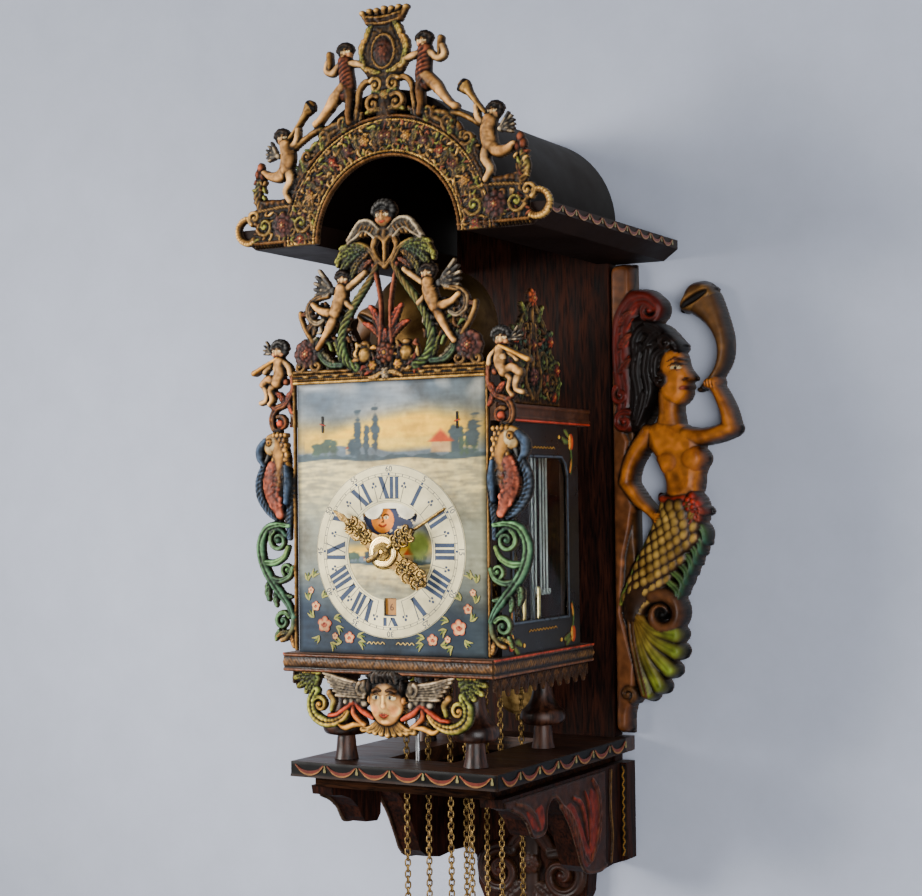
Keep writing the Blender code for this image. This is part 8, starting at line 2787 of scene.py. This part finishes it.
@dataclass
class Bracket:
    """Painted edges of shelf and eaves, carved consoles, pendant, board margins and the vault's roof."""

    half: float = 103.5
    front: float = -284.0
    eaves: float = 156.0
    eaves_level: float = 477.9
    swag_level: float = -1.6
    swag_gap: float = 1.3
    console_half: float = 97.0
    board_plane: float = -0.020
    back: float = -22.0

    def build(self, repeater: Repeater) -> None:
        """Dress the shelf, the eaves, the consoles and the lower board.

        Args:
            repeater: sets the copies of a unit.
        """
        for facing, name in ((Facing.FRONT, "shelf_edge_front"), (Facing.RIGHT, "shelf_edge_right"),
                             (Facing.LEFT, "shelf_edge_left")):
            self._edge(facing, name)
        unit = self._swag()
        level = self.swag_level * MM
        points = [(x * MM, (self.front - self.swag_gap) * MM, level) for x in (np.arange(6) - 2.5) * 33.5]
        swags = repeater.build("shelf_swags_front", unit, points, [(0.0, 0.0, 0.0)] * 6, 0.98, CARVED)
        settle(swags, CARVED, ROOT, "bracket_wood")
        for side, word in SIDES:
            turn = (0.0, 0.0, side * math.pi / 2)
            points = [(side * (self.half + self.swag_gap) * MM, (self.front + 22 + 36.6 * k) * MM, level)
                      for k in range(7)]
            swags = repeater.build("shelf_swags_" + word, unit, points, [turn] * len(points), 1.05, CARVED)
            settle(swags, CARVED, ROOT, "bracket_wood")
            points = [(side * (self.eaves + 0.1) * MM, (-266 + 26.6 * k) * MM, self.eaves_level * MM)
                      for k in range(10)]
            swags = repeater.build("eaves_swags_" + word, unit, points, [turn] * len(points), 0.78, CARVED)
            settle(swags, CARVED, ROOT, "canopy_paint")
            self._console(side, word)
        drop(unit)
        self._pendant()
        self._margins()
        self._vault()

    def _vault(self) -> None:
        """The bent roof boards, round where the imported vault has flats."""
        outer, inner, foot, spring, count = 91.0, 84.5, 478.8, 498.3, 72
        rows = []
        for radius in (outer, inner):
            arc = [(radius * math.cos(math.pi * k / count), spring + radius * math.sin(math.pi * k / count))
                   for k in range(count + 1)]
            rows.append([(radius, foot)] + arc + [(-radius, foot)])
        ring = rows[0] + rows[1][::-1]
        size, half = len(ring), len(ring) // 2
        verts = [(x * MM, y, z * MM) for y in (-0.279, 0.0) for x, z in ring]
        faces = [(k, (k + 1) % size, size + (k + 1) % size, size + k) for k in range(size)]
        for first in (0, size):
            faces += [(first + k, first + k + 1, first + size - 2 - k, first + size - 1 - k)
                      for k in range(half - 1)]
        roof = solid("vault_roof", verts, faces)
        roof.data.shade_smooth()
        roof.data.set_sharp_from_angle(angle=math.radians(35))
        settle(roof, BLACKED, ROOT, "canopy_paint", "canopy_vault")

    def _margins(self) -> None:
        """Black margins with a gold wavy line on the lower board, beside the consoles."""
        r = Relief((-103.0, -114.0), (103.0, -25.0), 0.8)
        for r.flip in (1.0, -1.0):
            r.area([(97.6, -113), (102.8, -113), (102.8, -25.5), (97.6, -25.5)], 0.6, BLACK, 0.3, 1.0)
            r.stroke([(100.2 + (0.8 if k % 2 else -0.8), -112 + 4.2 * k) for k in range(21)], 0.55, 0.5,
                     (0.56, 0.40, 0.17, 0.2), 0.8, steps=3)
        r.finished(0.3, 0.0, 1.0)
        settle(r.mesh("lower_margins", Facing.FRONT, self.board_plane), CARVED, ROOT, "back_wood")

    def _swag(self) -> bpy.types.Object:
        """A painted swag: red crescent, cream rim and a small sprig at its end.

        Returns:
            The unit that is repeated.
        """
        r = Relief((-18.0, -11.0), (18.0, 1.0), 0.55)
        flame = (0.37, 0.125, 0.07, 0.0)
        r.stroke([(-15, -0.8), (-8.5, -5.8), (0, -7.6), (8.5, -5.8), (15, -0.8)], [0.5, 1.3, 1.8, 1.3, 0.5],
                 0.4, flame, 0.15, edge=(0.34, 0.15, 0.10, 0.0))
        r.stroke([(-15, -1.4), (-8.5, -7.2), (0, -9.4), (8.5, -7.2), (15, -1.4)],
                 [0.3, 0.6, 0.75, 0.6, 0.3], 0.4, (0.52, 0.35, 0.19, 0.0), 0.25)
        for x in (-1.6, 0.0, 1.6):
            r.stroke([(16.6, -0.8), (16.6 + 0.6 * x, -6.5)], [0.4, 0.55], 0.3, (0.45, 0.42, 0.27, 0.0), 0.15)
        r.finished(0.2, 0.0, 0.8)
        return r.mesh("swag", Facing.FRONT, 0.0)

    def _edge(self, facing: Facing, name: str) -> None:
        """The dark painted band of the shelf with a brown line along its foot.

        Args:
            facing: which edge.
            name: the piece's name.
        """
        if facing is Facing.FRONT:
            low, high, plane = -self.half, self.half, self.front * MM
        else:
            low, high = (self.front, self.back) if facing is Facing.RIGHT else (-self.back, -self.front)
            plane = self.half * MM if facing is Facing.RIGHT else -self.half * MM
        r = Relief((low, -14.0), (high, 0.0), 1.1)
        band = (0.07, 0.064, 0.062, 0.0)
        r.area([(low, -13.5), (high, -13.5), (high, -0.1), (low, -0.1)], 1.0, band, 0.2, 1.2)
        r.stroke([(low, -12.6), (high, -12.6)], 0.9, 1.0, (0.14, 0.09, 0.06, 0.0), 0.8)
        r.finished(0.3, 0.0, 1.0)
        settle(r.mesh(name, facing, plane), PANEL, ROOT, "bracket_wood")

    def _console(self, side: float, word: str) -> None:
        """Red carved leaves on the console's outer face.

        Args:
            side: 1 for the right side, -1 for the left.
            word: the side's word in the names.
        """
        facing = Facing.RIGHT if side > 0 else Facing.LEFT
        low, high = (-262.0, self.back) if side > 0 else (-self.back, 262.0)
        r = Relief((low, -119.0), (high, -25.0), 0.9)
        r.flip = side
        red, wood, lip = (0.39, 0.115, 0.065, 0.0), (0.20, 0.11, 0.075, 0.0), (0.25, 0.135, 0.085, 0.0)
        edge = [(-260, -27), (-258, -32), (-246, -35), (-231, -41), (-219, -50), (-212, -60), (-206, -64),
                (-190, -64.5), (-183, -59), (-182, -46), (-175, -37), (-164, -35.5), (-154, -42),
                (-140, -57), (-127, -75), (-117, -93), (-109, -107), (-96, -115), (-70, -117.5),
                (-58, -115), (-57, -27)]
        r.area(edge, 1.0, wood, 0.4, 1.2)
        r.stroke(edge[2:-1], 1.7, 1.5, lip, 1.0, edge=UMBER)
        r.area([(-150, -50), (-134, -68), (-122, -88), (-112, -103), (-98, -110), (-92, -100), (-102, -84),
                (-116, -62), (-132, -46)], 0.9, red, 1.2, 2.0, 3)
        r.area([(-90, -38), (-76, -46), (-72, -70), (-78, -92), (-90, -100), (-96, -88), (-92, -66),
                (-96, -48)], 0.9, red, 1.2, 2.0, 3)
        r.stroke([(-152, -46), (-134, -58), (-120, -78), (-108, -98), (-96, -106)],
                 [2.6, 4.0, 4.6, 4.2, 2.6], 2.2, lip, 1.4, edge=BRICK, groove=0.35, rib=(9, 0.3), twist=0.9)
        r.stroke([(-86, -32), (-76, -44), (-72, -66), (-77, -88), (-90, -104)], [2.4, 4.2, 4.8, 4.4, 2.6],
                 2.2, lip, 1.4, edge=BRICK, groove=0.35, rib=(8, 0.3), twist=0.9)
        r.stroke([(-128, -42), (-112, -50), (-104, -66), (-100, -84)], [1.8, 3.4, 3.6, 1.8], 2.0, red, 1.4,
                 edge=UMBER, groove=0.3)
        r.stroke([(-104, -40), (-96, -54), (-94, -74), (-96, -90)], [1.6, 3.0, 3.2, 1.6], 2.0, red, 1.4,
                 edge=UMBER, groove=0.3)
        r.area([(-210, -57), (-200, -61), (-188, -60), (-186, -48), (-192, -38), (-206, -42), (-222, -40)],
               0.7, red, 1.2, 2.0, 2)
        r.stroke([(-240, -31), (-222, -36), (-206, -46), (-196, -58)], [1.4, 2.4, 3.0, 1.8], 1.6, lip, 1.3,
                 edge=UMBER, groove=0.3)
        r.stroke([(-44, -28), (-46, -60), (-42, -90), (-46, -114)], 1.6, 1.6, BRONZE, 0.6, edge=UMBER)
        r.finished(0.8, 0.0, 2.0, 0.1, 0.0, 0.3)
        settle(r.mesh("console_carving_" + word, facing, side * self.console_half * MM), CAST, ROOT,
               "bracket_wood")

    def _pendant(self) -> None:
        """Two carved volutes on the lower board."""
        r = Relief((-62.0, -193.0), (62.0, -84.0), 1.0)
        wood, deep = (0.125, 0.065, 0.045, 0.0), (0.185, 0.085, 0.05, 0.0)
        for r.flip in (1.0, -1.0):
            r.curl((34, -138), 120, -1.6, 22.0, 7.0, wood, 6.0, 1.0, deep, 0.3)
            r.stroke([(4, -96), (14, -104), (22, -114)], [7, 8, 7], 5.0, deep, 1.0, edge=UMBER, groove=0.3)
            r.leaf((8, -150), (30, -172), 8.0, wood, deep, 0.1, 4.5, 1.0)
            r.leaf((4, -158), (10, -188), 7.0, deep, wood, 0.05, 4.5, 1.0)
        r.flip = 1.0
        r.stroke([(0, -92), (0, -140), (0, -188)], [9, 8, 4], 4.0, wood, 1.0, edge=UMBER)
        r.rose((0, -128), 10.0, deep, wood, 7, 3.5, 4.0)
        r.finished(0.7, 0.0)
        settle(r.mesh("pendant_carving", Facing.FRONT, self.board_plane), CARVED, ROOT, "back_wood")


@dataclass
class Case:
    """Mouldings, fringe, feet, doors and bell of the case, and the rods inside it."""

    base: tuple[float, float] = (80.4, 96.5)
    base_half: float = 105.0
    base_front: float = -291.0
    back: float = -98.0
    top_half: float = 104.5
    door_half: float = 101.5
    fringe_half: float = 100.6
    bell_at: float = -0.200
    inner_half: float = 0.0905

    def build(self, repeater: Repeater) -> None:
        """Dress the case.

        Args:
            repeater: sets the copies of a unit.
        """
        self._base()
        self._fringe(repeater)
        self._feet()
        self._top()
        for side, word in SIDES:
            self._door(side, word)
        self._bell()
        for side, word in SIDES:
            self._rods(side, word)
            self._pillars(side, word)

    def _strip(self, facing: Facing) -> tuple[float, float]:
        """How far a side's strip runs, along its own u.

        Args:
            facing: which side.
        Returns:
            Its two ends, in millimetres.
        """
        if facing is Facing.FRONT:
            return -self.base_half, self.base_half
        return (self.base_front, self.back) if facing is Facing.RIGHT else (-self.back, -self.base_front)

    def _base(self) -> None:
        """The carved moulding around the base board."""
        wood, gilt = (0.33, 0.195, 0.12, 0.0), (0.44, 0.30, 0.16, 0.1)
        planes = {Facing.FRONT: self.base_front * MM, Facing.RIGHT: self.base_half * MM,
                  Facing.LEFT: -self.base_half * MM}
        low, high = self.base
        for facing, plane in planes.items():
            a, b = self._strip(facing)
            r = Relief((a, low), (b, high), 0.8)
            r.area([(a, low), (b, low), (b, high), (a, high)], 0.8, wood, 0.2, 1.0)
            r.stroke([(a, high - 1.6), (b, high - 1.6)], 1.5, 1.5, wood, 0.8)
            r.stroke([(a, 88.8), (b, 88.8)], 4.2, 1.6, gilt, 0.8, edge=BROWN, rib=((b - a) / 3.4, 0.3),
                     twist=0.8)
            r.stroke([(a, low + 1.5), (b, low + 1.5)], 1.4, 1.4, wood, 0.8)
            if facing is not Facing.FRONT:
                r.stroke([(a, high - 0.5), (b, high - 0.5)], 0.6, 1.0, (0.55, 0.17, 0.10, 0.0), 1.6)
            r.cut_beside(a, b)
            r.finished(0.9, 0.3, 1.5, 0.1, 0.12)
            settle(r.mesh("base_moulding_" + facing.value, facing, plane), CARVED, ROOT, "case_wood")

    def _fringe(self, repeater: Repeater) -> None:
        """A row of cast pointed leaves under each side of the base.

        Args:
            repeater: sets the copies of a unit.
        """
        r = Relief((-9.0, -16.0), (9.0, 1.0), 0.6)
        paint = (0.16, 0.105, 0.065, 0.2)
        r.area([(-8.6, -3.6), (8.6, -3.6), (8.6, 0.3), (-8.6, 0.3)], 1.0, paint, 0.8, 0.8)
        r.leaf((0, -1.0), (0, -15.2), 4.6, paint, BROWN, 0.0, 1.8, 1.0, 4)
        for s in (-1, 1):
            r.leaf((s * 6, -1.5), (s * 7.6, -10.5), 2.6, BROWN, paint, 0.0, 1.5, 0.9, 3)
            r.dome((s * 4.2, -4.4), 1.5, 1.2, BROWN, 1.2)
        r.finished(0.8, 0.4)
        unit = r.mesh("tooth", Facing.FRONT, 0.0)
        for side, word in SIDES:
            points = [(side * self.fringe_half * MM, (-274.7 + 16.5 * k) * MM, 79.6 * MM) for k in range(11)]
            turns = [(0.0, 0.0, side * math.pi / 2)] * len(points)
            obj = repeater.build("fringe_casting_" + word, unit, points, turns, 1.0, CAST)
            settle(obj, CAST, ROOT, "cast_ornament", "fringe_" + word)
        drop(unit)

    def _feet(self) -> None:
        """Turned feet: stem, bun rim and a bell-shaped neck."""
        rows = [(0.0, 80.0), (13.0, 80.0), (13.0, 75.5), (11.8, 72.0), (9.4, 66.0), (8.9, 60.0),
                (9.4, 53.0), (11.6, 45.0), (15.5, 39.0), (19.4, 35.4), (20.9, 31.0), (20.4, 26.5),
                (17.6, 23.2), (11.0, 22.2), (8.2, 21.9), (8.4, 18.0), (9.2, 9.0), (10.8, 0.6), (0.0, 0.6)]
        profile = [rows[0]] + [tuple(p) for p in smooth(rows[2:-1], 5)] + [rows[-1]]
        for (x, y), word in (((66, -252), "front_right"), ((-66, -252), "front_left"),
                             ((63, -117), "rear_right"), ((-63, -117), "rear_left")):
            obj = lathe("turned_foot_" + word, [(max(r, 0) * MM, h * MM) for r, h in profile],
                        (x * MM, y * MM, 0.0), Axis.UP, 48, 50)
            settle(obj, FOOT_WOOD, ROOT, "foot_wood", "foot_" + word)

    def _top(self) -> None:
        """Moulding along the sides of the top board, with a red line under it."""
        for facing, word in ((Facing.RIGHT, "right"), (Facing.LEFT, "left")):
            a, b = (-279.0, -98.4) if facing is Facing.RIGHT else (98.4, 279.0)
            r = Relief((a, 297.0), (b, 313.0), 0.9)
            wood = (0.26, 0.15, 0.09, 0.0)
            r.area([(a, 297.3), (b, 297.3), (b, 312.6), (a, 312.6)], 0.8, wood, 0.3, 1.2)
            r.stroke([(a, 310.6), (b, 310.6)], 1.8, 1.6, wood, 0.8)
            r.stroke([(a, 301.0), (b, 301.0)], 1.2, 1.2, wood, 0.8)
            r.stroke([(a, 298.2), (b, 298.2)], 0.9, 1.2, (0.66, 0.20, 0.11, 0.0), 0.9)
            r.cut_beside(a, b)
            r.finished(0.6, 0.0)
            plane = (self.top_half if facing is Facing.RIGHT else -self.top_half) * MM
            settle(r.mesh("top_moulding_" + word, facing, plane), CARVED, ROOT, "case_wood")

    def _door(self, side: float, word: str) -> None:
        """Painted flowers and the bright bevel around the door's window.

        Args:
            side: 1 for the right side, -1 for the left.
            word: the side's word in the names.
        """
        facing = Facing.RIGHT if side > 0 else Facing.LEFT
        low, high = (-267.0, -116.0) if side > 0 else (116.0, 267.0)
        r = Relief((low, 98.0), (high, 296.0), 0.7)
        r.flip = side
        orange, yellow = (0.78, 0.36, 0.12, 0.0), (0.82, 0.60, 0.22, 0.0)
        for x, y, up in ((-131, 278, -1), (-131, 112, 1), (-252, 278, -1), (-252, 112, 1)):
            s = 1 if x > -190 else -1
            r.dome((x, y - 4 * up), (5.0, 7.6), 0.5, orange, 0.15, edge=(0.55, 0.16, 0.08, 0.0))
            r.dome((x - 2.4 * s, y - 4 * up), (2.2, 6.4), 0.55, yellow, 0.2)
            r.stroke([(x, y + 3 * up), (x + 1.4 * s, y + 15 * up), (x - 1 * s, y + 25 * up)],
                     [1.3, 0.8, 0.5], 0.4, LEAF, 0.15)
            r.leaf((x - 7 * s, y - 4 * up), (x - 19 * s, y - 8 * up), 3.2, LEAF, GREEN, 0.1, 0.5, 0.15, 3)
            r.leaf((x - 6 * s, y - 9 * up), (x - 15 * s, y - 14 * up), 2.8, GREEN, LEAF, -0.1, 0.5, 0.15, 3)
            r.leaf((x + 1 * s, y + 12 * up), (x - 3 * s, y + 24 * up), 2.4, yellow, orange, 0.0, 0.5, 0.15, 2)
            r.dome((x - 24 * s, y - 8 * up), 1.8, 0.5, yellow, 0.15)
        for y in (116.0, 276.0):
            wave = [(-218 + 3.0 * k, y + (0.8 if k % 2 else -0.8)) for k in range(19)]
            r.stroke(wave, 0.5, 0.3, (0.56, 0.40, 0.16, 0.0), 0.15, steps=3)
        r.finished(0.3, 0.0, 1.0)
        settle(r.mesh("door_flowers_" + word, facing, side * self.door_half * MM), CARVED, "door_" + word,
               "door_paint")
        r = Relief((low, 118.0), (high, 275.0), 0.7)
        r.flip = side
        ring = [(-248.2, 124), (-248.2, 252), (-245, 262), (-237, 268.2), (-151, 268.2), (-143, 262),
                (-139.8, 252), (-139.8, 124), (-248.2, 124)]
        steel = (0.30, 0.34, 0.38, 0.5)
        for a, b in zip(ring, ring[1:]):
            r.stroke([a, b], 1.5, 1.4, steel, 0.3, edge=BLACK)
        r.finished(0.2, 0.0, 0.5)
        settle(r.mesh("door_bevel_" + word, facing, side * self.door_half * MM), CASTBRASS, "door_" + word,
               "door_paint")

    def _bell(self) -> None:
        """The turned bell on its post."""
        top, rim, radius, wall, post = 438.0, 357.0, 60.0, 2.5, 313.2
        outer = [(0.28, 0.0), (0.52, 0.04), (0.72, 0.15), (0.85, 0.29), (0.93, 0.45), (0.97, 0.64),
                 (1.0, 0.85), (1.02, 1.0)]
        shell = smooth([(radius * r, top - (top - rim) * z) for r, z in outer], 4)
        inner = [(r - wall, z - wall * (top - z < 70)) for r, z in shell[::-1] if r - wall > 5]
        rows = [(0.0, top + 7.5), (4.0, top + 7.5), (4.0, top + 1.0)]
        rows += [tuple(p) for p in shell] + [(r, max(z, rim)) for r, z in inner]
        rows += [(4.0, top - wall - 1.5), (4.0, post), (0.0, post)]
        obj = lathe("turned_bell", [(r * MM, z * MM) for r, z in rows], (0.0, self.bell_at, 0.0),
                    Axis.UP, 64, 35)
        settle(obj, BELL_METAL, ROOT, "bell_bronze", "bell")

    def _rods(self, side: float, word: str) -> None:
        """Slim lifting rods with hooked ends.

        Args:
            side: 1 for the right side, -1 for the left.
            word: the side's word in the names.
        """
        thick, count, verts, faces = 0.0010, 8, [], []
        path = [(0.0, 0.2960), (0.0, 0.1500), (0.0006, 0.1462), (0.0032, 0.1446), (0.0054, 0.1468),
                (0.0048, 0.1500)]
        for y in (-0.1830, -0.1730, -0.1670, -0.1610):
            first = len(verts)
            for dx, z in path:
                for k in range(count):
                    a = 2 * math.pi * k / count
                    verts.append((side * (self.inner_half + thick * math.cos(a)),
                                  y + dx + thick * math.sin(a), z))
            for i in range(len(path) - 1):
                low = first + count * i
                for k in range(count):
                    n = (k + 1) % count
                    faces.append((low + k, low + n, low + count + n, low + count + k))
            last = first + count * (len(path) - 1)
            faces += [[first + k for k in range(count)], [last + k for k in range(count)]]
        rods = solid("lifting_rods_" + word, verts, faces)
        rods.data.shade_smooth()
        settle(rods, TINNED, ROOT, "steel_work")

    def _pillars(self, side: float, word: str) -> None:
        """Short turned pillars on the base board.

        Args:
            side: 1 for the right side, -1 for the left.
            word: the side's word in the names.
        """
        profile = [(0.0, 0.0560), (1.2, 0.0560), (2.6, 0.0548), (2.9, 0.0525), (2.6, 0.0300), (2.9, 0.0035),
                   (3.4, 0.0025), (3.6, 0.0003), (0.0, 0.0003)]
        rows = [(r * MM, 0.0969 + h) for r, h in profile]
        for k, y in enumerate((-0.238, -0.208, -0.180)):
            obj = lathe("pillar_%s_%d" % (word, k), rows, (side * self.inner_half, y, 0.0), Axis.UP, 24)
            settle(obj, PALE_BRASS, ROOT, "wheel_brass")


def dress(frame: dict) -> None:
    """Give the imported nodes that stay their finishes.
    """
    paint_node(frame, OAK, "back_board", "lower_back_board", "console_left", "console_right")
    paint_node(frame, SHELF_OAK, "seat_shelf")
    paint_node(frame, EAVES_PAINT, "canopy_eaves_left", "canopy_eaves_right")
    paint_node(frame, BLACKED, "canopy_vault")
    paint_node(frame, FOOT_WOOD, "foot_front_left", "foot_front_right", "foot_rear_left", "foot_rear_right")
    paint_node(frame, CASE_WOOD, "base_board", "top_board", "post_front_left", "post_front_right",
               "post_rear_left", "post_rear_right", "fringe_left", "fringe_right")
    paint_node(frame, BELL_METAL, "bell")
    paint_node(frame, STEEL, "stay_rod", "anchor", "hammer", "escape_wheel")
    paint_node(frame, IRON, "front_bar", "middle_bar", "rear_bar")
    paint_node(frame, BRASS, "minute_hand", "alarm_disc", "centre_wheel", "motion_wheel", "great_wheel",
               "strike_wheel", "alarm_wheel", "idler_wheel")
    paint_node(frame, DULL_BRASS, "chain_front", "chain_rear", "hour_hand", "pendulum")
    paint_node(frame, DOOR_BLACK, "door_left", "door_right")
    paint_node(frame, DATE_OCHRE, "date_ring")
    paint_node(frame, BLACKED, "moon_disc")
    paint_node(frame, PANE, "door_glass_right")
    # The left pane is dark glass, as painted shade of the dark inside
    paint_node(frame, SHADE_PANE, "door_glass_left")


def main() -> None:
    """Build every sub-assembly in order."""
    logging.basicConfig(level=logging.INFO, format="%(message)s")
    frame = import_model()
    Studio().build()
    dress(frame)
    repeater = Repeater()
    ChainLoop("front", (0.0228, -0.220, 0.1557), (0.0222, -0.182, 0.135)).build(repeater)
    ChainLoop("rear", (0.0187, -0.118, 0.135), (0.0195, -0.0765, 0.135)).build(repeater)
    Bracket().build(repeater)
    Case().build(repeater)
    Dial().build()
    Hands().build()
    CanopyCrest().build()
    FrontCrest().build()
    for side, word in SIDES:
        Column("column_casting_" + word, "column_" + word, side).build()
        Mermaid("mermaid_carving_" + word, "mermaid_" + word, side).build()
    Apron().build()
    SideCrest("side_casting_right", "side_crest_right", Facing.RIGHT, 0.0963).build()
    SideCrest("side_casting_left", "side_crest_left", Facing.LEFT, -0.0963).build()


if __name__ == "__main__":
    main()
